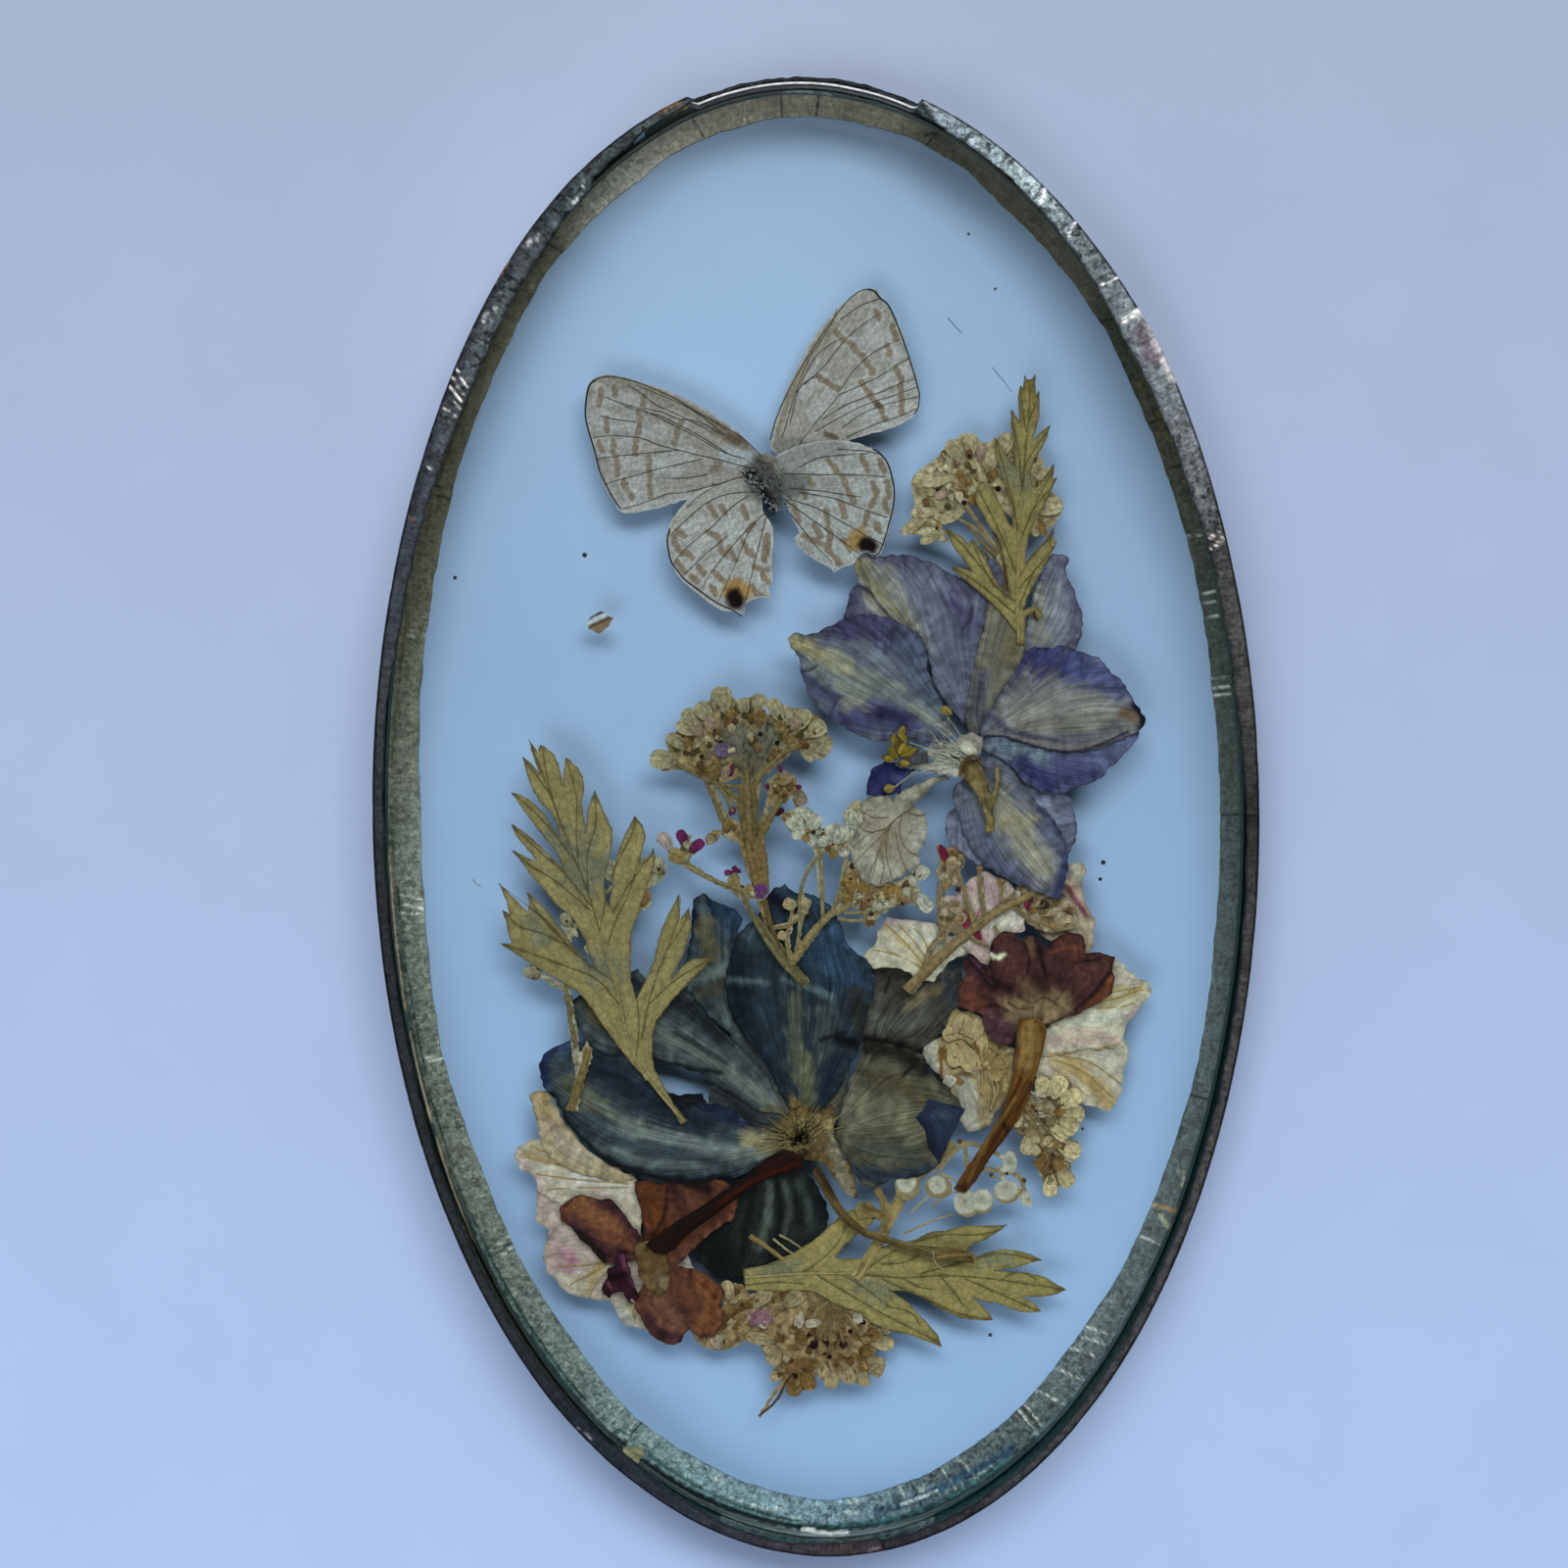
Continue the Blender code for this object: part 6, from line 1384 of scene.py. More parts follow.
def petal(name, colour, axis, paint=(), folds=(), spacing=0.22, frayed=0.1, rim=0.35,
          relief=0.05, wave=3.0, pleat=0.09, margin=None):
    """A petal: fibres along its axis, soft strokes of (colour, width, strength, path), a darker
    rim, broad waves, pleats at its border, and folds of (width, depth, path) along paths. A
    margin of (colour, width in millimetres, strength) runs round it under the strokes."""
    sheet = Sheet(name, spacing, frayed, seed=len(name) + len(paint))
    sheet.fill(seen(*colour))
    sheet.flow_along(axis, by_name(name, FANNED, 0))
    if margin:
        tint, reach, strength = margin
        uneven = sheet.edge * (1 + 0.7 * sheet.streaks)
        sheet.blend(seen(*tint), strength * (1 - smooth(0.2 * reach, reach, uneven)))
    for tint, width, strength, path in paint:
        sheet.stroke(seen(*tint), width, path, strength)
    height = relief * (1 + waves(sheet.places, wave, len(axis) + 3))
    height += 0.5 * relief * (1 + sheet.streaks)
    pleats = sheet.pleats(0.9, 2.0) if margin else sheet.pleats(1.1, 1.5)
    height += pleat * (0.4 + pleats)
    for width, rise, path in folds:
        line = curve(mm(path), 4 * len(path))
        distance = from_path(sheet.places, line)[0] / (width * MARK)
        height -= rise * np.exp(-distance ** 2)
    # A darker rim, and painted shade in the furrows of the pleats at the border
    shade = 1 - rim * (1 - smooth(0.0, 0.22, sheet.edge)) - 3.2 * pleat * pleats.clip(0)
    sheet.tint = sheet.tint * shade[:, None]
    return sheet, height


def simple_petal(name, finish, *rest, **settings):
    """A petal that is one sheet, as petal() makes it, with nothing laid on it."""
    sheet, height = petal(name, *rest, **settings)
    return make(name + "_dried", [sheet.patch(height)], [finish], [name])


VIOLET_CREAM, VIOLET_OLIVE, PURPLE = (152, 150, 130), (140, 132, 88), (84, 78, 122)
DUSKY_MARGIN = ((82, 80, 124), 2.2, 0.48)


def violet_upper_left_petal(finish):
    """The upper left petal: an olive streak between violet sides, and creases at its tip."""
    simple_petal(
        "violet_upper_left_petal", finish, (110, 115, 148), ((990, 745), (930, 640), (885, 570)),
        ((PURPLE, 16, 0.7, ((900, 565), (940, 570), (975, 585), (1000, 605))),
         (VIOLET_OLIVE, 17, 0.9, ((876, 572), (890, 595), (915, 625), (940, 655))),
         ((148, 148, 128), 14, 0.7, ((905, 585), (930, 630), (945, 660))),
         ((72, 62, 112), 16, 0.85, ((968, 612), (984, 628), (986, 640))),
         (PURPLE, 11, 0.8, ((876, 602), (868, 618), (862, 632))),
         (VIOLET_CREAM, 11, 0.8, ((888, 612), (900, 625), (912, 634))),
         ((84, 94, 126), 22, 0.7, ((985, 650), (978, 670), (975, 685))),
         ((106, 114, 142), 28, 0.7, ((945, 590), (955, 650), (955, 700))),
         # The two thin dark strokes follow the creases: painted shade in them
         ((48, 46, 66), 2.4, 0.9, ((872, 595), (886, 601), (897, 615), (915, 636))),
         ((60, 52, 92), 2.2, 0.8, ((994, 617), (991, 630), (984, 641)))),
        ((2.5, 0.08, ((880, 593), (890, 600), (900, 612), (918, 634))),
         (3.0, -0.08, ((873, 598), (884, 604), (896, 620), (910, 636))),
         (2.5, -0.06, ((994, 617), (991, 630), (984, 641)))), margin=DUSKY_MARGIN)


def violet_left_petal(finish):
    """The left petal: dark violet lobes, a tan tip and five creases."""
    simple_petal(
        "violet_left_petal", finish, (110, 116, 140), ((985, 758), (900, 705), (806, 655)),
        (((72, 62, 120), 22, 0.9, ((858, 640), (885, 640), (912, 648), (935, 660))),
         ((88, 98, 136), 26, 0.85, ((925, 655), (942, 690), (952, 712))),
         ((66, 60, 122), 24, 0.9, ((862, 732), (890, 728), (925, 735))),
         ((78, 76, 124), 15, 0.85, ((818, 688), (835, 702), (852, 712))),
         ((168, 150, 92), 12, 0.95, ((804, 652), (830, 664), (862, 682))),
         (VIOLET_CREAM, 13, 0.7, ((850, 672), (880, 690), (915, 705))),
         ((112, 122, 132), 13, 0.7, ((890, 700), (920, 712), (955, 728))),
         ((156, 156, 136), 13, 0.8, ((862, 700), (878, 712), (868, 716))),
         ((136, 142, 138), 12, 0.6, ((830, 682), (850, 694), (875, 705))),
         ((160, 158, 146), 6, 0.7, ((930, 722), (950, 733), (975, 750))),
         # The dark strokes that follow the folds are painted shade in the creases
         ((42, 38, 88), 8, 0.8, ((900, 726), (922, 732))),
         ((58, 58, 84), 1.8, 0.9, ((817, 685), (826, 684), (834, 679))),
         ((58, 54, 84), 2.2, 0.8, ((847, 730), (852, 718), (857, 710))),
         ((60, 52, 96), 2.0, 0.7, ((842, 640), (848, 650))),
         ((58, 50, 98), 2.4, 0.6, ((905, 645), (903, 668))),
         ((58, 50, 98), 2.4, 0.6, ((912, 640), (909, 660))),
         ((58, 50, 98), 2.4, 0.5, ((893, 640), (894, 660)))),
        ((2.2, 0.08, ((820, 686), (836, 679))), (2.2, 0.08, ((850, 730), (858, 710))),
         (2.2, 0.06, ((842, 640), (850, 654))), (2.5, 0.07, ((905, 640), (902, 672))),
         (3.0, 0.09, ((900, 722), (915, 728), (925, 735)))), margin=DUSKY_MARGIN)


def violet_upper_right_petal(finish):
    """The upper right petal, mostly behind the others: plain violet."""
    simple_petal(
        "violet_upper_right_petal", finish, (116, 110, 142),
        ((1030, 720), (1060, 640), (1088, 568)),
        (((92, 82, 132), 14, 0.8, ((1090, 566), (1104, 610), (1106, 650))),
         ((140, 132, 122), 14, 0.6, ((1060, 600), (1062, 650))),
         ((98, 92, 138), 10, 0.7, ((1048, 570), (1066, 584)))), margin=DUSKY_MARGIN)


def violet_centre_petal(finish):
    """The centre petal, olive grey and folded along its middle."""
    simple_petal(
        "violet_centre_petal", finish, (122, 118, 108), ((1003, 752), (1022, 690), (1036, 640)),
        (((134, 120, 78), 14, 0.8, ((1038, 640), (1030, 668))),
         ((76, 82, 116), 11, 0.85, ((1004, 690), (1002, 715), (1004, 740))),
         ((140, 138, 118), 11, 0.7, ((1022, 690), (1014, 720))),
         ((98, 100, 122), 12, 0.7, ((986, 690), (990, 730)))),
        ((2.4, 0.07, ((1012, 660), (1008, 700), (1010, 740))),
         (2.0, 0.06, ((1040, 690), (1022, 712), (1016, 735)))))


def violet_right_petal(finish):
    """The right petal, with streaks and folds that run along it."""
    simple_petal(
        "violet_right_petal", finish, (136, 134, 122), ((998, 752), (1080, 738), (1166, 736)),
        (((70, 66, 128), 24, 0.95, ((1045, 668), (1075, 672), (1100, 680))),
         ((86, 94, 148), 26, 0.9, ((1105, 682), (1130, 696), (1152, 716))),
         ((160, 156, 130), 22, 0.9, ((1010, 728), (1050, 728), (1100, 722), (1140, 728))),
         ((148, 140, 106), 13, 0.7, ((1040, 738), (1090, 742), (1150, 742))),
         ((112, 108, 112), 11, 0.7, ((1085, 758), (1120, 750), (1140, 740))),
         ((88, 92, 124), 14, 0.8, ((1004, 692), (1006, 715), (1012, 734))),
         ((154, 112, 58), 8, 0.95, ((1146, 726), (1158, 732))),
         ((20, 18, 34), 5.5, 1.0, ((1158, 720), (1166, 733), (1165, 742))),
         # The dark strokes along the folds are painted shade in the creases
         ((82, 76, 96), 4.5, 0.8, ((1008, 728), (1028, 744), (1050, 751))),
         ((82, 76, 96), 3.5, 0.7, ((1050, 751), (1072, 754), (1092, 763))),
         ((164, 150, 130), 3.4, 0.8,
          ((1010, 748), (1040, 754), (1075, 761), (1110, 762), (1140, 750))),
         ((44, 40, 62), 2.4, 0.9,
          ((1003, 751), (1035, 755), (1070, 765), (1105, 766), (1150, 747))),
         ((54, 48, 104), 2.4, 0.6, ((1104, 672), (1103, 690))),
         ((54, 48, 104), 2.4, 0.6, ((1092, 662), (1084, 690)))),
        ((3.4, 0.10, ((1008, 728), (1028, 744), (1050, 751), (1072, 754), (1092, 763))),
         (3.4, -0.12, ((1010, 748), (1040, 753), (1075, 760), (1110, 762), (1142, 749))),
         (2.6, 0.06, ((1040, 690), (1022, 714), (1016, 735))),
         (2.4, 0.06, ((1092, 662), (1082, 700))), (2.2, 0.05, ((1104, 670), (1100, 692)))),
        margin=DUSKY_MARGIN)


def violet_right_lower_petal(finish):
    """The right lower petal, with streaks and folds that run along it."""
    simple_petal(
        "violet_right_lower_petal", finish, (84, 84, 150), ((1000, 764), (1080, 785), (1120, 790)),
        (((102, 116, 146), 17, 0.9, ((1000, 762), (1030, 764), (1060, 772))),
         ((42, 42, 112), 13, 0.9, ((1044, 780), (1060, 792), (1072, 802))),
         ((52, 50, 122), 10, 0.6, ((1090, 795), (1115, 790))),
         ((92, 98, 156), 14, 0.6, ((1120, 770), (1150, 760))),
         ((56, 58, 84), 4, 0.8, ((1005, 768), (1025, 777)))),
        ((2.4, 0.08, ((1044, 795), (1060, 802), (1075, 806))),
         (2.4, 0.07, ((1098, 778), (1106, 796))), (2.2, 0.06, ((1060, 776), (1062, 800)))),
        margin=DUSKY_MARGIN)


def violet_lower_back_petal(finish):
    """The petal behind the lower one, of which a border is seen."""
    simple_petal(
        "violet_lower_back_petal", finish, (112, 108, 146), ((985, 790), (1040, 850), (1090, 840)),
        (((122, 112, 152), 16, 0.7, ((968, 845), (985, 875))),
         ((98, 94, 132), 14, 0.7, ((1080, 810), (1096, 850), (1094, 870)))),
        ((3.0, 0.06, ((1060, 820), (1090, 836))), (3.0, 0.06, ((1065, 835), (1092, 856)))),
        margin=DUSKY_MARGIN)


def violet_lower_petal(finish):
    """The lower petal, with streaks and folds that run along it."""
    simple_petal(
        "violet_lower_petal", finish, (110, 120, 142), ((985, 780), (1020, 850), (1082, 915)),
        ((VIOLET_CREAM, 20, 0.95, ((1018, 818), (1040, 850), (1065, 885))),
         ((150, 142, 106), 11, 0.8, ((1015, 838), (1045, 838), (1060, 836))),
         ((84, 94, 142), 13, 0.85, ((1004, 852), (1014, 878), (1040, 900))),
         ((58, 62, 120), 6, 0.85, ((1062, 828), (1078, 846), (1086, 872))),
         ((86, 98, 138), 11, 0.7, ((1064, 842), (1080, 862))),
         ((58, 64, 122), 9, 0.95, ((1088, 880), (1082, 905), (1078, 914))),
         ((70, 72, 92), 2.2, 0.8, ((962, 800), (980, 845), (1005, 880), (1050, 906))),
         ((100, 108, 142), 18, 0.7, ((968, 802), (985, 830), (998, 860))),
         ((92, 92, 130), 12, 0.6, ((1006, 775), (1012, 790)))),
        ((2.6, 0.06, ((1018, 850), (1050, 872), (1074, 900))),
         (2.2, 0.06, ((1048, 822), (1064, 832), (1074, 842)))), margin=DUSKY_MARGIN)


def violet_small_petal(finish):
    """The small dark petal."""
    simple_petal(
        "violet_small_petal", finish, (50, 42, 108), ((932, 788), (905, 790), (886, 808)),
        (((74, 72, 132), 5, 0.9, ((912, 792), (922, 796), (934, 786))),
         ((30, 26, 84), 8, 0.8, ((890, 795), (900, 785), (915, 784)))),
        ((2.6, 0.08, ((902, 790), (912, 797), (925, 793))),))


def make_violet_flower(finish):
    """The violet-blue flower's nine petals, with their streaks, and on most of them folds and a
    dusky margin.
    """
    for part in (violet_upper_left_petal, violet_left_petal, violet_upper_right_petal,
                 violet_centre_petal, violet_right_petal, violet_right_lower_petal,
                 violet_lower_back_petal, violet_lower_petal, violet_small_petal):
        part(finish)


def violet_heart(finish):
    """The flower's heart: a crumpled sheet, and on it white fibres that spread to the left from
    one point, bent a little, at random angles and of random lengths."""
    sheet, height = petal(
        "violet_heart", (168, 162, 150), ((940, 732), (965, 755), (992, 785)),
        (((214, 206, 184), 8, 0.95, ((982, 764), (988, 770), (982, 784))),
         ((112, 108, 118), 8, 0.6, ((950, 760), (965, 776))),
         ((196, 190, 174), 9, 0.7, ((955, 785), (975, 788)))), spacing=0.16)
    rng = np.random.default_rng(12)
    count = 70
    angle = np.radians(rng.uniform(118, 200, count))
    far = rng.uniform(1.6, 4.6, count)
    step = np.stack((np.cos(angle), np.sin(angle)), axis=-1) * far[:, None]
    start = mm((984, 776)) + rng.normal(0, 0.45, (count, 2))
    bend = rng.normal(0, 0.12, (count, 2))
    paths = np.stack((start, start + step * 0.35 + bend, start + step * 0.7 + bend, start + step),
                     axis=1)
    light = rng.uniform(0.65, 1.05, (count, 1))
    fibres = rods(
        paths, (0.10, 0.10, 0.07, 0.03), 0.10, sheet.top - 0.06, seen(214, 208, 190) * light)
    make("violet_heart_fibres", [sheet.patch(height), fibres], [finish], ["violet_heart"])


def violet_spur(finish):
    """The cut stalk below the heart, with a forked twig and the curved rim of its cup."""
    sheet, height = petal(
        "violet_spur", (128, 102, 58), ((990, 770), (1002, 800), (1009, 850)),
        (((84, 54, 26), 8, 0.95, ((980, 786), (988, 776), (997, 774))),
         ((120, 86, 40), 5, 0.8, ((984, 796), (996, 790))),
         ((168, 142, 92), 3.5, 0.8, ((982, 800), (996, 816), (1003, 826))),
         ((166, 140, 90), 4, 0.8, ((1017, 784), (1013, 808))),
         ((150, 122, 62), 6, 0.6, ((1009, 830), (1010, 848)))),
        ((3.0, 0.10, ((985, 780), (992, 778))),
         (3.0, -0.06, ((996, 790), (1006, 820), (1009, 848)))), spacing=0.16, rim=0.5)
    cup = rods([curve(mm(((979, 792), (982, 778), (992, 771), (1000, 778))), 12)], 0.35, 0.25,
               sheet.top - 0.1, seen(104, 72, 34), sides=8)
    make("violet_spur_dried", [sheet.patch(height), cup], [finish], ["violet_spur"])


def violet_stamens(finish):
    """The bunch of stamens: thick anthers laid over one another, two loose ones, and threads."""
    sheet = Sheet("violet_stamens", 0.16, 0.05, 0.5)
    sheet.fill(seen(104, 98, 108))
    sheet.stroke(seen(110, 86, 40), 16, ((905, 765), (920, 762)), 0.9)
    anthers = (
        ((917, 752), (922, 741)), ((911, 760), (912, 749)), ((917, 770), (924, 757)),
        ((908, 768), (916, 774)), ((901, 774), (912, 775)), ((920, 772), (935, 764)),
        ((918, 778), (928, 780)), ((906, 762), (914, 770)), ((921, 768), (930, 762)),
        ((924, 758), (918, 748)))
    paths = np.stack([np.linspace(*mm(pair), 6) for pair in anthers])
    shades = (1, 0.85, 1.1, 0.8, 0.95, 1.1, 1.2, 0.7, 0.9, 1.0)
    tint = np.stack([seen(172, 140, 54) * shade for shade in shades])
    grown = rods(paths, (0.25, 0.6, 0.72, 0.7, 0.5, 0.2), 0.3,
                 sheet.top - 0.12 + 0.012 * np.arange(len(anthers))[:, None], tint, sides=8)
    loose = (((902, 806), (913, 803)), ((960, 722), (971, 729)))
    lone = rods(np.stack([np.linspace(*mm(pair), 6) for pair in loose]),
                (0.3, 0.8, 0.95, 0.9, 0.6, 0.2), 0.3, BETWEEN + 0.05, seen(176, 148, 78), sides=8)
    threads = (
        ((913, 803), (922, 796), (935, 786)), ((928, 758), (950, 766), (966, 776)),
        ((934, 766), (950, 772), (962, 778)), ((925, 781), (945, 782), (960, 780)),
        ((966, 732), (974, 742), (982, 754)))
    thin = rods(np.stack([curve(mm(path), 12) for path in threads]), 0.16, 0.12, BETWEEN,
                seen(186, 180, 162))
    make("violet_stamens_dried", [sheet.patch(), grown, lone, thin], [finish],
         ["violet_stamens"])


def make_pale_petal(finish):
    """A loose pale petal with a dark fan of veins and a narrow claw."""
    sheet, height = petal(
        "pale_petal", (182, 172, 152), ((978, 792), (920, 828), (900, 905)),
        (((196, 188, 170), 13, 0.8, ((890, 850), (885, 880), (905, 895))),
         ((170, 150, 118), 12, 0.7, ((905, 850), (900, 865))),
         ((160, 148, 128), 8, 0.6, ((960, 800), (930, 822))),
         ((150, 132, 100), 7, 0.6, ((876, 835), (884, 842))),
         ((200, 194, 182), 10, 0.6, ((935, 840), (940, 860)))), spacing=0.2, rim=0.3)
    trunk = (912, 838)
    fan = (((948, 806), (930, 824), trunk, (898, 862), (892, 890)),
           ((928, 826), trunk, (904, 858), (906, 880), (912, 900)),
           (trunk, (902, 846), (888, 850), (870, 864)),
           (trunk, (900, 852), (884, 868), (872, 880)), ((902, 858), (896, 872), (885, 895)),
           ((920, 832), (918, 850), (925, 866), (938, 874)), ((914, 848), (918, 870), (926, 890)),
           ((906, 834), (892, 834), (880, 828)), ((898, 866), (902, 885), (898, 902)),
           ((924, 828), (938, 832), (948, 830)), ((892, 850), (880, 846), (874, 838)))
    make("pale_petal_dried", [sheet.patch(height), veins(sheet, (148, 130, 104), 1.0, fan, 0.06)],
         [finish], ["pale_petal"])


LEAF_OLIVE = (152, 141, 90)
LEAF_GREY = (124, 128, 104)
LEAF_TIP = (140, 116, 62)
LEAF_VEIN = (122, 110, 68)


def leaf(name, finish, axis, zones, tips, lines, midrib):
    """A lobed leaf: olive, with grey-green zones, brown tips, branching veins and a midrib."""
    sheet = Sheet(name, 0.17, 0.04, 0.8, seed=len(lines))
    sheet.fill(seen(*LEAF_OLIVE))
    sheet.flow_along(axis)
    for width, path in zones:
        sheet.stroke(seen(*LEAF_GREY), width, path, 0.75, 0.5)
    for tip in tips:
        sheet.stroke(seen(*LEAF_TIP), 9, (tip, tip), 0.7)
    sheet.blend(seen(112, 92, 50), 0.6 * (1 - smooth(0.02, 0.18, sheet.edge)))
    ridge = np.full(len(sheet.places), 9.0)
    for path in lines + midrib:
        ridge = np.minimum(ridge, from_path(sheet.places, curve(mm(path), 3 * len(path)))[0])
    height = 0.05 * (1 + waves(sheet.places, 2.4, 6)) + 0.07 * np.exp(-(ridge / 0.25) ** 2)
    height += 0.05 * (1 - smooth(0.0, 0.6, sheet.edge))
    make(name + "_veined",
         [sheet.patch(height), veins(sheet, LEAF_VEIN, 0.9, lines, 0.035, 40),
          veins(sheet, (160, 146, 98), 2.6, midrib, 0.07, 60)], [finish], [name])


def make_leaves(finish):
    """The three lobed leaves, each with its zones, tips, veins and midrib."""
    leaf("leaf_left", finish, ((698, 1145), (640, 1040), (600, 920), (545, 765)),
         ((24, ((596, 870), (590, 895))), (16, ((566, 850), (575, 862))),
          (14, ((546, 945), (552, 955))), (20, ((605, 985), (625, 990))),
          (14, ((600, 905), (618, 880)))),
         ((541, 756), (554, 762), (535, 774), (523, 809), (523, 843), (523, 868), (513, 905),
          (540, 912), (516, 930), (514, 963), (579, 775), (608, 810), (649, 834), (667, 868),
          (694, 914), (704, 928), (728, 978)),
         (((612, 950), (598, 905), (580, 860), (565, 820), (553, 788), (543, 762)),
          ((590, 880), (588, 850), (588, 815), (580, 780)),
          ((600, 910), (600, 870), (608, 840), (607, 812)),
          ((612, 950), (622, 900), (635, 870), (646, 848), (648, 834)),
          ((626, 930), (640, 905), (655, 885), (666, 868)),
          ((592, 885), (565, 850), (545, 828), (524, 810)),
          ((604, 925), (575, 890), (550, 868), (524, 844)),
          ((604, 930), (568, 900), (540, 882), (524, 869)),
          ((632, 1005), (600, 983), (570, 955), (548, 930), (540, 912)),
          ((590, 977), (560, 942), (535, 922), (513, 905)),
          ((580, 965), (555, 953), (530, 945), (516, 932)),
          ((636, 1030), (610, 1000), (575, 985), (540, 972), (514, 964)),
          ((655, 1060), (664, 1015), (680, 970), (692, 938), (695, 916)),
          ((680, 970), (694, 950), (703, 930)), ((662, 1025), (685, 1003), (708, 988), (727, 979)),
          ((620, 965), (628, 940), (640, 915), (650, 885)), ((570, 835), (560, 800), (554, 768)),
          ((565, 815), (548, 792), (537, 776)), ((648, 1085), (652, 1050), (650, 1020))),
         (((697, 1143), (672, 1114), (650, 1082), (641, 1045), (634, 1012), (624, 985),
           (612, 950)), ((660, 1102), (646, 1075), (636, 1040), (629, 1005), (617, 975))))
    leaf("leaf_top", finish, ((1040, 655), (1040, 560), (1046, 470), (1050, 385)),
         ((18, ((1030, 480), (1045, 490))), (12, ((1008, 480), (1010, 490)))),
         ((1052, 388), (1042, 396), (1060, 400), (1032, 420), (1073, 434), (1016, 445),
          (1078, 474), (1080, 488), (1078, 542), (966, 541), (972, 578)),
         (((1044, 500), (1047, 460), (1050, 430), (1052, 395)),
          ((1040, 615), (1020, 600), (1002, 578), (980, 552), (967, 541)),
          ((1036, 625), (1010, 603), (988, 587), (974, 579)),
          ((1015, 598), (1003, 575), (993, 553)),
          ((1038, 585), (1020, 540), (1005, 510), (1000, 500)),
          ((1040, 540), (1030, 495), (1017, 448)), ((1044, 500), (1040, 460), (1033, 422)),
          ((1046, 475), (1058, 455), (1072, 436)), ((1042, 550), (1058, 512), (1077, 476)),
          ((1056, 518), (1068, 502), (1079, 489)), ((1039, 590), (1058, 562), (1077, 543)),
          ((1040, 600), (1062, 575), (1078, 555)), ((1040, 620), (1050, 595), (1058, 577)),
          ((1048, 440), (1044, 415), (1043, 398)), ((1050, 430), (1056, 415), (1060, 402))),
         (((1040, 655), (1039, 610), (1040, 560), (1042, 520), (1044, 500)),))
    leaf("leaf_bottom", finish, ((758, 1308), (860, 1302), (960, 1304), (1085, 1318)),
         ((12, ((778, 1300), (810, 1296))), (16, ((880, 1312), (905, 1322))),
          (12, ((1005, 1286), (1030, 1286)))),
         ((1027, 1254), (1063, 1289), (1086, 1319), (1062, 1341), (1014, 1350), (960, 1374)),
         (((870, 1302), (920, 1306), (960, 1304), (1000, 1306), (1040, 1311), (1084, 1318)),
          ((816, 1303), (838, 1288), (855, 1270), (866, 1250)),
          ((880, 1300), (915, 1278), (958, 1263), (1000, 1262), (1025, 1256)),
          ((940, 1302), (985, 1290), (1020, 1281), (1060, 1288)),
          ((835, 1304), (870, 1325), (905, 1345), (935, 1360), (960, 1373)),
          ((900, 1307), (945, 1328), (980, 1343), (1012, 1349)),
          ((985, 1307), (1020, 1322), (1060, 1340)), ((905, 1335), (930, 1342), (940, 1356)),
          ((900, 1292), (925, 1290), (950, 1275)), ((960, 1304), (975, 1322), (985, 1336)),
          ((1020, 1310), (1040, 1300), (1060, 1308)), ((920, 1306), (940, 1316), (955, 1318)),
          ((760, 1314), (790, 1311), (820, 1312)), ((860, 1303), (885, 1318), (900, 1330))),
         (((760, 1306), (820, 1302), (870, 1302)),))


# The second colour is the petals' near black, and also painted shade where it follows their
# creases
NAVY, BLUE_BLACK_AND_CREASE_SHADE = (36, 50, 98), (20, 22, 30)
BLUE_GREY, BLUE_OLIVE = (128, 136, 134), (112, 108, 82)


def blue_left_petal(finish):
    """The left petal: navy and pale grey streaks and a black lower border."""
    simple_petal(
        "blue_left_petal", finish, (72, 86, 98), ((805, 1170), (690, 1150), (552, 1090)),
        ((NAVY, 9, 0.95, ((568, 1068), (553, 1085), (556, 1106))),
         ((62, 86, 130), 12, 0.8, ((596, 1064), (572, 1070))),
         (BLUE_OLIVE, 15, 0.8, ((580, 1104), (596, 1118), (612, 1130))),
         ((110, 116, 102), 11, 0.8, ((600, 1118), (630, 1142), (665, 1158))),
         ((36, 48, 70), 24, 0.9, ((605, 1085), (640, 1108), (680, 1132), (715, 1146))),
         (BLUE_BLACK_AND_CREASE_SHADE, 11, 0.9, ((690, 1122), (712, 1122), (728, 1132))),
         ((38, 52, 90), 15, 0.95, ((728, 1128), (752, 1142), (776, 1152))),
         (BLUE_GREY, 12, 0.85, ((640, 1152), (700, 1166), (745, 1176), (790, 1178))),
         ((104, 112, 110), 9, 0.8, ((610, 1172), (680, 1188), (760, 1184))),
         ((52, 62, 76), 7, 0.7, ((650, 1178), (700, 1180), (740, 1190))),
         ((168, 152, 108), 15, 0.9, ((765, 1162), (788, 1170), (800, 1180))),
         (BLUE_BLACK_AND_CREASE_SHADE, 6, 0.95,
          ((562, 1118), (578, 1146), (606, 1176), (645, 1196), (700, 1206), (745, 1202)))),
        ((2.6, 0.10, ((600, 1080), (640, 1100), (690, 1140))),
         (3.0, 0.08, ((690, 1126), (712, 1132), (716, 1150))),
         (3.2, -0.09, ((640, 1152), (700, 1160), (770, 1168))),
         (2.2, 0.07, ((630, 1170), (700, 1182), (770, 1182)))), wave=2.2, relief=0.07)


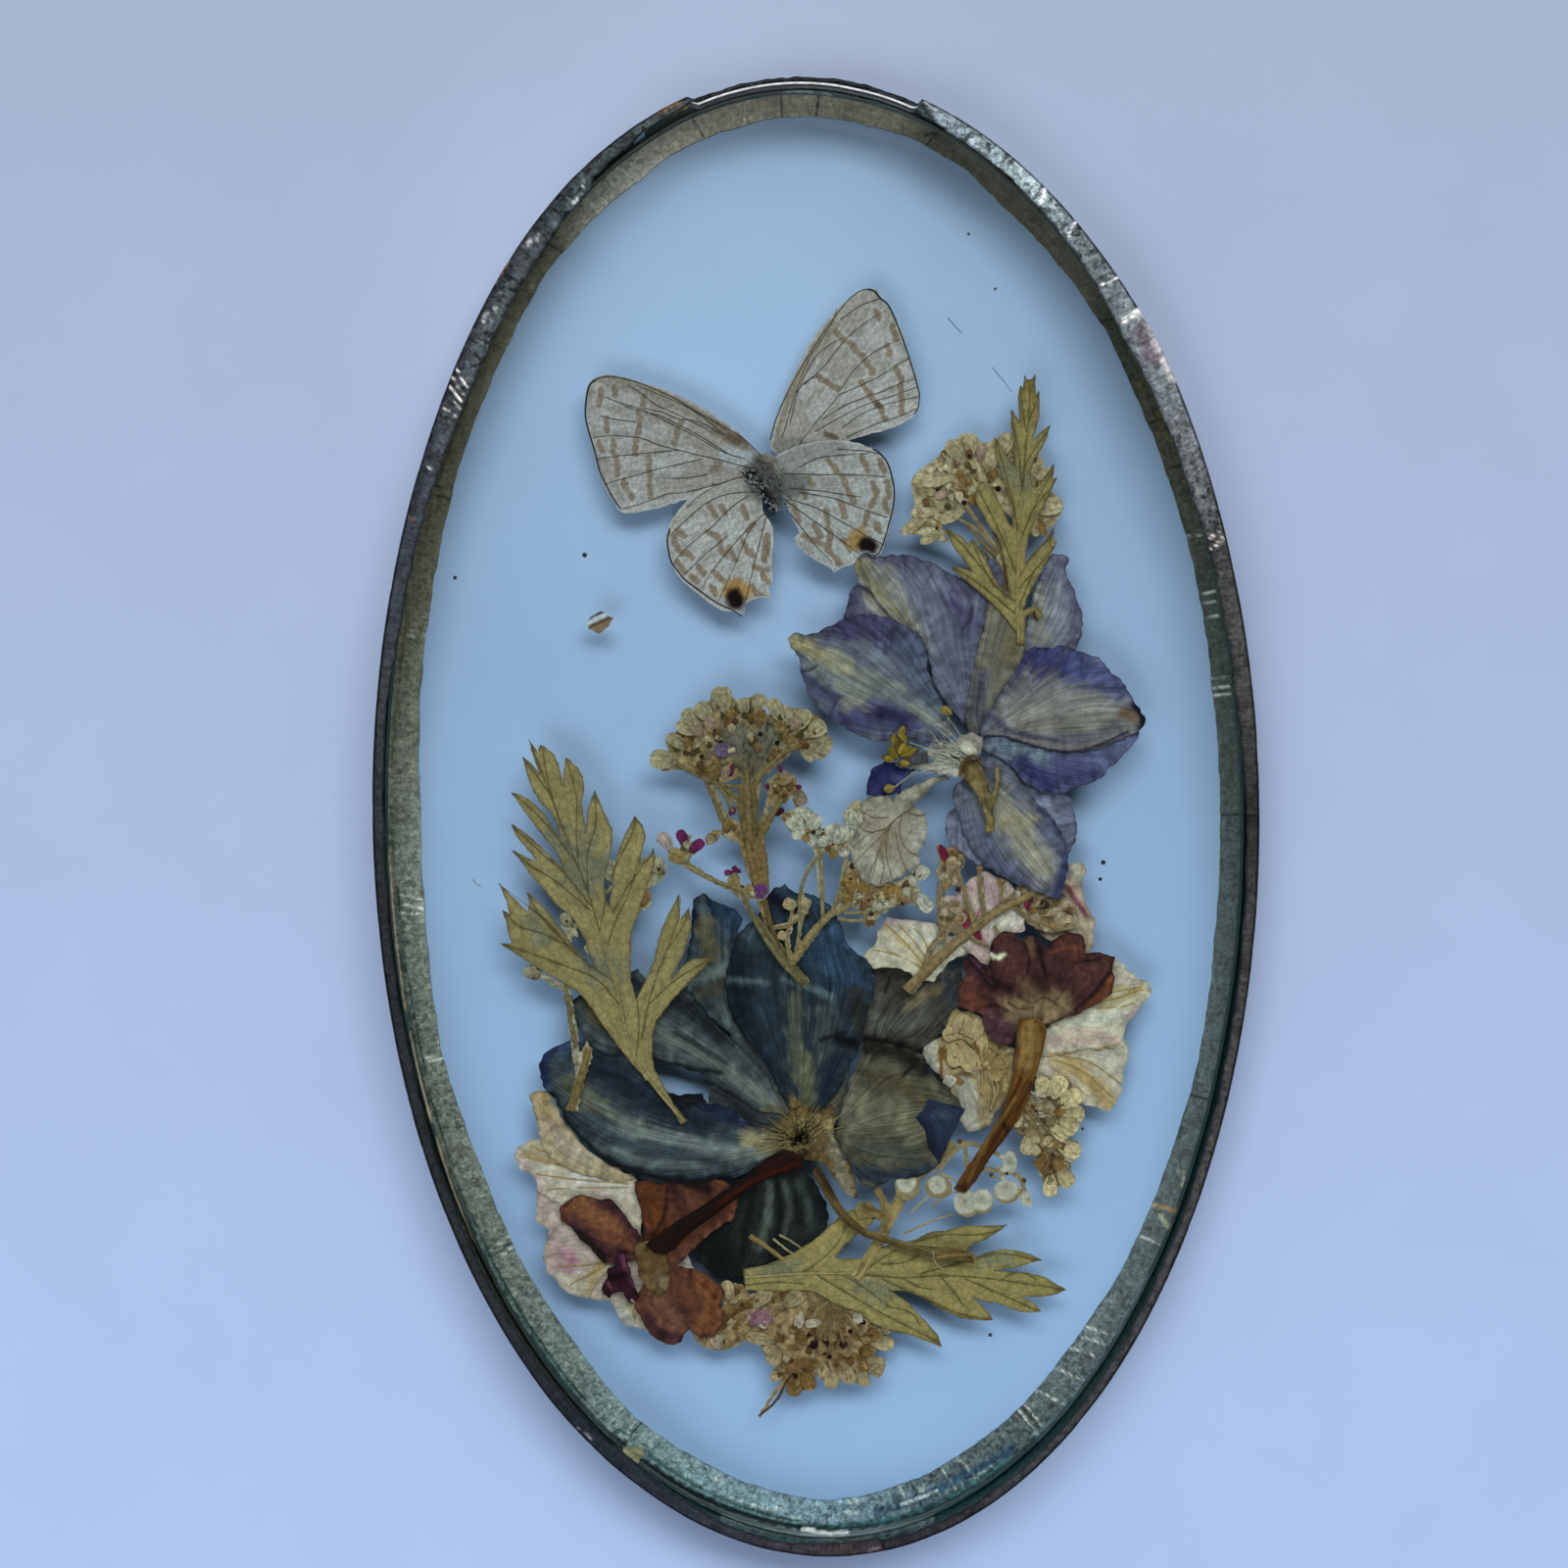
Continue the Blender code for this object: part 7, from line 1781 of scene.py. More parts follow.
def blue_upper_left_petal(finish):
    """The upper left petal, grey with a navy shade and a pale streak."""
    simple_petal(
        "blue_upper_left_petal", finish, (88, 100, 110), ((808, 1150), (700, 1062), (586, 1022)),
        (((112, 98, 66), 12, 0.9, ((600, 1026), (616, 1046))),
         ((42, 42, 52), 5, 0.9, ((579, 1030), (586, 1020), (596, 1016))),
         ((44, 54, 70), 15, 0.9, ((685, 1022), (712, 1036), (735, 1060))),
         (BLUE_GREY, 13, 0.8, ((668, 1052), (720, 1078), (765, 1112), (790, 1134))),
         ((54, 64, 78), 5, 0.8, ((690, 1056), (740, 1086))),
         # Painted shade along its lower part
         ((60, 68, 80), 7, 0.7, ((700, 1096), (740, 1112), (780, 1148))),
         ((36, 42, 54), 4, 0.9, ((655, 1080), (700, 1091), (735, 1096))),
         ((60, 72, 92), 9, 0.8, ((646, 1000), (656, 1010))),
         ((150, 136, 96), 12, 0.8, ((785, 1138), (800, 1146)))),
        ((2.8, 0.09, ((668, 1040), (720, 1066), (770, 1112))),
         (2.6, -0.08, ((680, 1062), (740, 1098), (790, 1140)))), relief=0.07)


def blue_top_left_petal(finish):
    """The narrow petal at the top left: navy tip, olive and pale bands."""
    simple_petal(
        "blue_top_left_petal", finish, (72, 84, 98), ((800, 1140), (735, 1040), (720, 915)),
        (((26, 36, 72), 8, 0.95, ((708, 922), (706, 942))),
         # Painted shade in the crease at the tip
         ((28, 38, 70), 6, 0.95, ((722, 918), (730, 944))),
         ((88, 98, 108), 8, 0.8, ((715, 918), (717, 935))),
         ((54, 84, 124), 16, 0.9, ((736, 926), (752, 942))),
         ((124, 110, 82), 14, 0.9, ((718, 945), (726, 975))),
         (BLUE_GREY, 10, 0.85, ((745, 984), (728, 994), (705, 1000))),
         ((94, 84, 64), 10, 0.85, ((740, 1006), (716, 1016))),
         ((106, 114, 112), 9, 0.8, ((735, 1030), (765, 1080), (790, 1115))),
         # Painted shade along the lower fold
         ((44, 56, 74), 8, 0.8, ((745, 1020), (772, 1070), (800, 1110))),
         ((150, 130, 84), 12, 0.8, ((790, 1125), (800, 1140)))),
        ((2.4, 0.10, ((722, 914), (727, 930), (733, 948))),
         (2.6, 0.08, ((742, 1010), (765, 1062), (796, 1110)))), relief=0.06)


def blue_top_petal(finish):
    """The broad top petal: navy and bright blue, with a pale midline and folds."""
    simple_petal(
        "blue_top_petal", finish, (48, 64, 88), ((815, 1145), (815, 1020), (806, 904)),
        # Painted shade in a crease
        (((22, 28, 60), 9, 0.95, ((785, 912), (800, 926))),
         ((62, 82, 116), 9, 0.9, ((796, 903), (810, 914))),
         # Painted shade in a crease
         ((24, 30, 52), 5, 0.9, ((810, 906), (820, 922))),
         ((62, 96, 140), 20, 0.9, ((828, 912), (848, 926), (858, 955))),
         ((56, 86, 130), 28, 0.85, ((830, 960), (868, 1000))),
         ((26, 40, 64), 18, 0.9, ((748, 975), (752, 1010), (756, 1045))),
         ((72, 92, 112), 12, 0.8, ((766, 945), (774, 965))),
         ((96, 118, 136), 6, 0.8, ((800, 1000), (824, 1008), (848, 1018))),
         ((86, 106, 120), 5, 0.8, ((744, 1000), (784, 1004))),
         ((102, 106, 96), 11, 0.85, ((812, 1018), (812, 1060), (816, 1100))),
         ((86, 92, 96), 16, 0.7, ((842, 1035), (840, 1075))),
         ((58, 58, 56), 13, 0.9, ((872, 1015), (880, 1045))),
         ((112, 112, 92), 14, 0.85, ((822, 1085), (826, 1125))),
         ((38, 56, 90), 10, 0.85, ((852, 1082), (840, 1118))),
         # The two black strokes are painted shade along the fold
         (BLUE_BLACK_AND_CREASE_SHADE, 8, 0.95, ((856, 1062), (874, 1066))),
         (BLUE_BLACK_AND_CREASE_SHADE, 3.5, 0.8, ((838, 1062), (864, 1054))),
         ((30, 44, 72), 7, 0.85, ((768, 1060), (790, 1100))),
         ((150, 118, 66), 12, 0.9, ((812, 1130), (818, 1142)))),
        ((2.6, 0.10, ((788, 908), (800, 930), (806, 950))), (2.4, 0.08, ((812, 905), (822, 928))),
         (2.8, -0.10, ((812, 1010), (810, 1060), (814, 1110))),
         (2.4, 0.09, ((800, 1010), (800, 1060), (806, 1110))),
         (3.0, 0.12, ((838, 1060), (860, 1056), (876, 1066))),
         (2.6, 0.08, ((850, 1100), (862, 1075), (880, 1050)))), relief=0.08, wave=2.6)


def blue_right_upper_petal(finish):
    """The upper right petal, grey and olive with a black lower border."""
    simple_petal(
        "blue_right_upper_petal", finish, (76, 78, 76), ((835, 1150), (905, 1060), (965, 1000)),
        (((50, 48, 42), 12, 0.9, ((890, 990), (915, 992), (935, 1000))),
         # Painted shade in the crease
         ((30, 30, 34), 3.5, 0.9, ((930, 1008), (948, 1001), (962, 1004))),
         ((34, 32, 30), 2.2, 0.9, ((908, 1000), (904, 1014))),
         ((122, 112, 82), 8, 0.9, ((925, 1032), (944, 1018), (962, 1008))),
         ((98, 102, 102), 15, 0.8, ((895, 1045), (925, 1045), (945, 1035))),
         ((64, 76, 96), 11, 0.8, ((968, 1000), (975, 1020))),
         ((24, 24, 30), 6, 0.95, ((884, 1062), (912, 1068), (942, 1079)))),
        ((2.4, 0.10, ((932, 1006), (950, 1000), (966, 1006))),
         (2.6, 0.08, ((890, 1050), (930, 1030), (965, 1012)))), relief=0.06)


def blue_right_lower_petal(finish):
    """The lower right petal, olive and pale with a blue lower part."""
    simple_petal(
        "blue_right_lower_petal", finish, (104, 102, 82), ((838, 1162), (905, 1135), (984, 1132)),
        (((46, 43, 38), 13, 0.9, ((885, 1068), (915, 1074), (945, 1092))),
         # Painted shade in the crease
         ((34, 31, 28), 3.2, 0.9, ((938, 1081), (926, 1094), (915, 1106))),
         ((130, 128, 102), 22, 0.8, ((878, 1132), (915, 1140), (935, 1150))),
         ((100, 88, 60), 10, 0.8, ((890, 1098), (920, 1108), (940, 1122))),
         ((52, 70, 92), 13, 0.9, ((868, 1196), (905, 1202), (945, 1196))),
         ((134, 132, 116), 9, 0.7, ((868, 1105), (864, 1150))),
         ((60, 56, 48), 6, 0.7, ((955, 1100), (972, 1118))),
         ((88, 96, 88), 14, 0.7, ((880, 1172), (930, 1178)))),
        ((3.0, 0.10, ((938, 1080), (926, 1094), (914, 1108))),
         (3.0, 0.08, ((890, 1100), (920, 1110), (944, 1124)))), relief=0.06)


def blue_bottom_petal(finish):
    """The bottom petal, near black with grey streaks along it."""
    simple_petal(
        "blue_bottom_petal", finish, (46, 56, 66), ((815, 1180), (785, 1250), (752, 1318)),
        ((BLUE_BLACK_AND_CREASE_SHADE, 28, 0.85, ((722, 1250), (730, 1280), (742, 1305))),
         ((98, 108, 114), 7, 0.9, ((786, 1212), (784, 1240), (776, 1275))),
         ((82, 92, 100), 6, 0.85, ((800, 1210), (806, 1235), (800, 1260))),
         ((72, 84, 98), 6, 0.8, ((815, 1212), (826, 1236), (826, 1256))),
         # The two black strokes are painted shade along the folds
         (BLUE_BLACK_AND_CREASE_SHADE, 5, 0.8, ((793, 1212), (796, 1250), (786, 1290))),
         (BLUE_BLACK_AND_CREASE_SHADE, 6, 0.8, ((770, 1215), (762, 1250), (756, 1290))),
         (BLUE_BLACK_AND_CREASE_SHADE, 5, 0.8, ((812, 1225), (816, 1250))),
         ((32, 40, 56), 8, 0.8, ((838, 1230), (842, 1250)))),
        ((2.8, 0.09, ((793, 1210), (796, 1250), (786, 1290))),
         (2.8, 0.09, ((770, 1215), (762, 1250), (756, 1290)))), relief=0.07)


def blue_petal_bases(finish):
    """The petals' bases, which run together under the heart: a low sheet beneath them."""
    bases = mm(
        ((742, 1038), (780, 1040), (840, 1058), (868, 1062), (868, 1085), (858, 1150), (852, 1172),
         (800, 1175), (760, 1165), (728, 1142), (722, 1118), (735, 1100), (746, 1080)))[::-1]
    sheet = Sheet("blue_top_left_petal", 0.25, 0.1, loops=[bases], seed=5)
    sheet.base, sheet.top = sheet.base - 0.05, sheet.base + 0.01
    sheet.fill(seen(66, 74, 80))
    sheet.flow_from((815, 1160))
    sheet.stroke(seen(116, 120, 112), 14, ((790, 1120), (808, 1140)), 0.7)
    sheet.stroke(seen(120, 116, 96), 16, ((852, 1095), (846, 1150)), 0.7)
    sheet.stroke(seen(40, 48, 62), 12, ((735, 1112), (765, 1140)), 0.8)
    make("blue_petal_bases", [sheet.patch(0.02 * (1 + sheet.streaks))], [finish])


def blue_turned_corner(finish):
    """The navy corner of a petal that is turned over, a sheet on top of it."""
    corner = mm(((947, 1122), (966, 1126), (985, 1132), (972, 1158), (959, 1188), (947, 1170),
                 (944, 1155), (934, 1141), (941, 1134)))[::-1]
    sheet = Sheet("blue_right_lower_petal", 0.2, 0.04, loops=[corner], seed=2)
    sheet.base, sheet.top = sheet.top - 0.03, sheet.top + 0.09
    sheet.fill(seen(42, 54, 84))
    sheet.flow_along(((945, 1128), (960, 1150), (958, 1186)))
    sheet.stroke(seen(26, 34, 60), 8, ((940, 1142), (950, 1165), (957, 1182)), 0.8)
    sheet.stroke(seen(58, 72, 100), 7, ((956, 1136), (970, 1140)), 0.7)
    make("blue_turned_corner", [sheet.patch(0.04 * (1 + sheet.streaks))], [finish])


def make_blue_flower(finish):
    """The dark blue flower: six petals round its heart and one below, streaked grey and navy."""
    for part in (blue_left_petal, blue_upper_left_petal, blue_top_left_petal, blue_top_petal,
                 blue_right_upper_petal, blue_right_lower_petal, blue_bottom_petal,
                 blue_petal_bases, blue_turned_corner):
        part(finish)


def blue_heart(finish):
    """The blue flower's heart: a creased sheet, and on it ochre fibres that spread upwards from
    one point, longest to both sides, at random angles and of random lengths."""
    sheet, height = petal(
        "blue_heart", (136, 108, 64), ((818, 1165), (845, 1190), (868, 1232)),
        (((86, 58, 28), 9, 0.9, ((812, 1166), (822, 1178))),
         ((150, 142, 122), 9, 0.9, ((850, 1150), (856, 1190), (868, 1226))),
         ((176, 152, 98), 8, 0.8, ((832, 1140), (845, 1150))),
         ((164, 138, 84), 8, 0.8, ((800, 1150), (812, 1146)))), spacing=0.16,
        folds=((2.2, 0.12, ((846, 1150), (850, 1190), (862, 1226))),
               (2.2, 0.10, ((860, 1150), (862, 1190), (872, 1222)))))
    rng = np.random.default_rng(8)
    count = 130
    angle = np.radians(rng.uniform(15, 215, count))
    far = rng.uniform(1.4, 4.4, count) * (0.65 + 0.5 * np.abs(np.cos(angle)))
    step = np.stack((np.cos(angle), np.sin(angle)), axis=-1) * far[:, None]
    start = mm((818, 1164)) + rng.normal(0, 0.5, (count, 2))
    bend = rng.normal(0, 0.14, (count, 2))
    paths = np.stack((start, start + step * 0.35 + bend, start + step * 0.7 + bend, start + step),
                     axis=1)
    shade = rng.uniform(0.45, 1.15, (count, 1))
    fibres = rods(paths, (0.14, 0.14, 0.10, 0.04), 0.11, sheet.top - 0.05,
                  seen(172, 146, 92) * shade)
    make("blue_heart_fibres", [sheet.patch(height), fibres], [finish], ["blue_heart"])


def make_stalks(woody):
    """The four stalks: the blue flower's, a straight tan one, and those of the red flowers."""
    stalk("blue_stalk", woody, (128, 88, 44),
          ((832, 1188), (856, 1226), (900, 1260), (960, 1278), (1000, 1290)),
          (((96, 56, 22), 8, 0.9, ((836, 1192), (850, 1216))),
           ((146, 118, 70), 5, 0.8, ((880, 1250), (930, 1270), (980, 1284)))))
    stalk("tan_stalk", woody, (150, 124, 70), ((925, 1205), (898, 1250), (872, 1302)),
          (((110, 82, 38), 6, 0.8, ((884, 1232), (900, 1240))),
           ((122, 96, 48), 5, 0.7, ((905, 1222), (890, 1262))),
           ((172, 150, 98), 4, 0.8, ((888, 1262), (870, 1302)))))
    stalk("red_left_stalk", woody, (52, 26, 18), ((822, 1180), (770, 1206), (690, 1258)),
          (((92, 44, 30), 4, 0.8, ((818, 1186), (770, 1204), (735, 1226))),
           ((26, 14, 10), 5, 0.8, ((770, 1196), (720, 1228), (690, 1250)))))
    stalk("red_right_stalk", woody, (132, 84, 40), ((1055, 1040), (1045, 1095), (985, 1215)),
          (((158, 124, 80), 13, 0.85, ((1052, 1050), (1048, 1085))),
           ((106, 56, 22), 12, 0.8, ((1022, 1150), (990, 1205))),
           ((84, 38, 18), 3.0, 0.8, ((1042, 1100), (1018, 1150), (985, 1208))),
           ((88, 44, 20), 2.6, 0.8, ((1052, 1105), (1030, 1150), (996, 1208))),
           ((60, 30, 14), 4, 0.8, ((1024, 1146), (1030, 1158))),
           ((70, 30, 14), 4, 0.8, ((976, 1210), (986, 1214))),
           ((150, 112, 60), 2.6, 0.7, ((1036, 1120), (1008, 1165), (988, 1205)))))


def stalk(name, finish, colour, axis, paint):
    """A dry stalk: its section is a low arch with ribs, 0.2 a^2 + 0.03 cos 11 a across it."""
    sheet = Sheet(name, 0.16, 0.03, 0.8, seed=3)
    sheet.fill(seen(*colour))
    sheet.flow_along(axis)
    for tint, width, strength, path in paint:
        sheet.stroke(seen(*tint), width, path, strength)
    across = sheet.flow[:, 0]
    height = 0.20 * across ** 2 + 0.03 * (1 + np.cos(11 * across)) + 0.03 * (1 + sheet.streaks)
    # Painted shade on one flank of each rib
    sheet.tint = sheet.tint * (1 - 0.22 * (1 + np.cos(11 * across + 2.5)) / 2)[:, None]
    make(name + "_ribbed", [sheet.patch(height)], [finish], [name])


# The first colour is the flowers' dark red, and also painted shade where it follows their creases
RED_DARK_AND_CREASE_SHADE, RED_PURPLE = (52, 24, 28), (84, 44, 58)


def red_right_corolla(finish):
    """The right flower, crumpled: red and tan lobes, with painted shade in the creases between
    them.
    """
    simple_petal(
        "red_right_corolla", finish, (98, 56, 58), ((1052, 1050), (1060, 1000), (1060, 950)),
        (((150, 126, 94), 20, 0.9, ((1036, 1032), (1058, 1028), (1082, 1026))),
         ((120, 92, 74), 14, 0.7, ((1046, 1008), (1060, 1010))),
         ((134, 74, 60), 15, 0.9, ((985, 1012), (998, 1026))),
         ((116, 68, 68), 14, 0.8, ((1022, 960), (1030, 985))),
         ((124, 70, 60), 12, 0.8, ((1085, 960), (1100, 972))),
         ((112, 68, 64), 12, 0.8, ((1105, 996), (1124, 984))),
         ((104, 66, 80), 18, 0.9, ((1010, 1044), (1024, 1056))),
         (RED_DARK_AND_CREASE_SHADE, 9, 0.85, ((1016, 1004), (1030, 1009))),
         # The thin dark strokes along the folds are painted shade in the creases
         (RED_DARK_AND_CREASE_SHADE, 6.5, 0.95, ((988, 976), (1000, 990), (1015, 1006))),
         ((104, 58, 84), 2.2, 0.8, ((994, 981), (1004, 993), (1012, 1003))),
         ((66, 34, 26), 8, 0.85, ((1058, 998), (1066, 1008))),
         ((66, 34, 30), 7, 0.7, ((1074, 998), (1084, 1002))),
         (RED_DARK_AND_CREASE_SHADE, 2.6, 0.9, ((1013, 966), (1011, 985), (1016, 1002))),
         (RED_DARK_AND_CREASE_SHADE, 2.6, 0.9, ((1044, 960), (1050, 975), (1049, 994))),
         (RED_DARK_AND_CREASE_SHADE, 4.2, 0.95, ((1058, 955), (1062, 972), (1067, 996))),
         ((126, 98, 70), 5, 0.8, ((1051, 958), (1054, 974))),
         ((152, 80, 58), 2.2, 0.9, ((1071, 973), (1088, 968), (1104, 968))),
         (RED_DARK_AND_CREASE_SHADE, 2.2, 0.8, ((1070, 966), (1080, 957), (1093, 951))),
         (RED_DARK_AND_CREASE_SHADE, 2.2, 0.85, ((1096, 983), (1110, 981), (1124, 978))),
         ((140, 78, 50), 6, 0.9, ((1134, 1000), (1128, 1014), (1112, 1026))),
         (RED_DARK_AND_CREASE_SHADE, 2.6, 0.95, ((1132, 993), (1122, 1008), (1110, 1020), (1098, 1031))),
         (RED_DARK_AND_CREASE_SHADE, 2.0, 0.8, ((1006, 1028), (1016, 1026), (1028, 1032))),
         ((72, 48, 36), 1.5, 0.8, ((1038, 1016), (1054, 1024), (1066, 1018), (1080, 1026))),
         ((72, 48, 36), 1.4, 0.7, ((1030, 1024), (1042, 1030), (1056, 1028))),
         ((178, 148, 110), 3, 0.8, ((1048, 1043), (1062, 1045), (1080, 1037))),
         ((220, 206, 178), 3.0, 1.0, ((1011, 974), (1018, 977), (1026, 974)))),
        ((3.0, 0.12, ((988, 978), (1006, 994), (1020, 1012), (1030, 1030))),
         (2.4, 0.12, ((1012, 968), (1011, 986), (1016, 1002))),
         (2.6, 0.14, ((1056, 955), (1062, 975), (1067, 998))),
         (2.4, 0.10, ((1044, 960), (1050, 976), (1049, 994))),
         (2.6, -0.10, ((1071, 973), (1088, 968), (1104, 968))),
         (2.4, 0.10, ((1096, 983), (1110, 981), (1124, 978))),
         (3.0, 0.12, ((1132, 993), (1122, 1008), (1110, 1020), (1098, 1031))),
         (2.6, -0.10, ((1030, 1012), (1050, 1018), (1070, 1020), (1090, 1010)))), relief=0.10,
        wave=1.8)


def red_left_corolla(finish):
    """The left flower: red-brown and purple lobes round its throat."""
    simple_petal(
        "red_left_corolla", finish, (118, 68, 52), ((668, 1280), (660, 1240), (600, 1240)),
        (((142, 88, 60), 14, 0.9, ((592, 1232), (610, 1244), (630, 1254))),
         (RED_PURPLE, 12, 0.9, ((585, 1254), (605, 1274), (635, 1284))),
         (RED_PURPLE, 10, 0.85, ((612, 1224), (632, 1238), (652, 1264))),
         (RED_DARK_AND_CREASE_SHADE, 9, 0.95, ((590, 1264), (600, 1272), (614, 1284))),
         ((112, 58, 28), 20, 0.9, ((660, 1212), (668, 1240), (668, 1260))),
         ((82, 44, 40), 11, 0.85, ((685, 1210), (694, 1230))),
         # Painted shade in a crease
         ((70, 34, 22), 3, 0.9, ((680, 1214), (678, 1240), (666, 1262))),
         ((120, 68, 46), 14, 0.8, ((725, 1234), (746, 1236))),
         ((126, 82, 68), 20, 0.8, ((672, 1330), (690, 1352))),
         ((142, 86, 52), 14, 0.85, ((715, 1310), (728, 1335), (718, 1350))),
         # Painted shade in a crease
         ((104, 50, 32), 4, 0.8, ((702, 1300), (720, 1316), (732, 1328))),
         (RED_PURPLE, 8, 0.85, ((660, 1345), (672, 1362), (694, 1368))),
         ((92, 50, 52), 8, 0.7, ((688, 1334), (700, 1340))),
         ((40, 24, 22), 10, 0.9, ((700, 1208), (722, 1216)))),
        ((3.0, 0.10, ((680, 1208), (676, 1240), (664, 1264))),
         (3.2, 0.10, ((600, 1262), (622, 1268), (648, 1278))),
         (3.0, -0.10, ((575, 1238), (610, 1250), (650, 1270))),
         (3.0, 0.10, ((700, 1298), (718, 1316), (736, 1328))),
         (3.0, 0.08, ((690, 1330), (684, 1350), (676, 1366)))), relief=0.09, wave=1.8)


def red_left_bud(finish):
    """The purple bud at the left."""
    simple_petal(
        "red_left_bud", finish, (64, 30, 54), ((640, 1280), (636, 1305), (650, 1330)),
        (((98, 62, 96), 4.5, 0.9, ((634, 1282), (640, 1300), (652, 1318))),
         ((36, 14, 30), 7, 0.9, ((622, 1306), (636, 1302))),
         ((104, 70, 92), 2.2, 0.9, ((620, 1310), (624, 1318))),
         ((150, 140, 150), 1.2, 0.9, ((644, 1328), (646, 1329)))),
        ((2.6, 0.14, ((630, 1290), (640, 1306), (656, 1322))),
         (2.6, -0.12, ((636, 1284), (646, 1304), (660, 1320)))), spacing=0.16)


def red_left_throat(finish):
    """The left flower's tan throat."""
    simple_petal(
        "red_left_throat", finish, (138, 118, 84), ((690, 1262), (668, 1290), (672, 1322)),
        (((160, 138, 92), 9, 0.8, ((664, 1270), (676, 1266))),
         # Painted shade in the crease
         ((118, 96, 60), 5, 0.8, ((684, 1266), (662, 1300))),
         ((142, 128, 116), 12, 0.8, ((676, 1308), (684, 1316))),
         ((106, 62, 44), 6, 0.7, ((690, 1285), (692, 1310)))),
        ((2.4, 0.10, ((686, 1266), (670, 1288), (660, 1300))),), spacing=0.18)


def make_red_flowers(finish, pale):
    """Two small dark red flowers, the left one with its tan throat, and a purple bud."""
    for part in (red_right_corolla, red_left_corolla, red_left_bud):
        part(finish)
    red_left_throat(pale)


CREAM_WHITE, GOLD, PINK = (214, 210, 192), (184, 158, 96), (200, 172, 162)
# The second colour is brown for thin lines, and also painted shade where such a line follows a
# crease
MAUVE, CREAM_BROWN_AND_CREASE_SHADE = (176, 148, 156), (150, 120, 72)


def veined_petal(name, finish, colour, axis, paint, folds, lines=(), **settings):
    """A petal with fine veins along the lines, if it has any."""
    settings = dict(dict(spacing=0.2, relief=0.07, wave=1.6, rim=0.22, pleat=0.07), **settings)
    sheet, height = petal(name, colour, axis, paint, folds, **settings)
    grown = [veins(sheet, (176, 150, 92), 1.6, lines, 0.04)] if lines else []
    make(name + "_dried", [sheet.patch(height)] + grown, [finish], [name])


def cream_petal_upper_left(finish):
    """The cream petal at the upper left of the right group."""
    veined_petal(
        "cream_petal_upper_left", finish, (208, 202, 172), ((950, 992), (920, 958), (905, 938)),
        ((MAUVE, 8, 0.7, ((902, 944), (914, 940))),
         ((196, 178, 172), 8, 0.5, ((925, 940), (945, 945))),
         (CREAM_WHITE, 12, 0.7, ((935, 955), (960, 958))),
         (GOLD, 3, 0.8, ((942, 984), (925, 965), (905, 945)))),
        ((2.4, 0.08, ((944, 985), (922, 962), (904, 946))),
         (2.6, 0.08, ((948, 980), (935, 955), (930, 940))),
         (2.8, 0.07, ((940, 990), (915, 978), (890, 976)))),
        (((946, 988), (926, 964), (904, 943)), ((950, 985), (934, 962), (918, 945)),
         ((950, 980), (944, 960), (934, 948)), ((944, 990), (918, 976), (892, 970))))


def cream_petal_upper(finish):
    """The cream petal beside it, mauve at its tip, with a crimson mark."""
    veined_petal(
        "cream_petal_upper", finish, (204, 186, 174), ((1010, 1000), (1005, 950), (1000, 890)),
        ((MAUVE, 12, 0.8, ((1010, 905), (1020, 925))),
         ((188, 150, 158), 8, 0.7, ((975, 915), (990, 905))),
         (CREAM_WHITE, 12, 0.8, ((1020, 945), (1035, 935))),
         ((150, 60, 92), 3, 0.8, ((1000, 930), (996, 945))),
         ((150, 54, 84), 5, 0.9, ((998, 952), (1002, 960))),
         (PINK, 10, 0.7, ((1000, 970), (1005, 985)))),
        ((2.8, 0.10, ((985, 900), (1000, 930), (1005, 960))),
         (2.8, 0.10, ((1030, 900), (1020, 930))), (2.8, 0.10, ((1040, 930), (1015, 950)))))


def pink_petals_right(finish):
    """The crumpled pink petals."""
    veined_petal(
        "pink_petals_right", finish, (196, 170, 142), ((1090, 985), (1098, 940), (1092, 890)),
        (((150, 60, 88), 3.5, 0.9, ((1092, 906), (1100, 920), (1112, 936))),
         ((128, 84, 76), 4, 0.8, ((1088, 904), (1096, 912))),
         ((204, 190, 152), 10, 0.8, ((1098, 950), (1112, 945))),
         ((190, 192, 168), 9, 0.7, ((1098, 888), (1104, 896))),
         ((176, 146, 128), 9, 0.6, ((1085, 925), (1090, 940)))),
        ((2.6, 0.12, ((1092, 905), (1102, 925), (1108, 945))),
         (3.0, 0.10, ((1085, 945), (1100, 960)))))


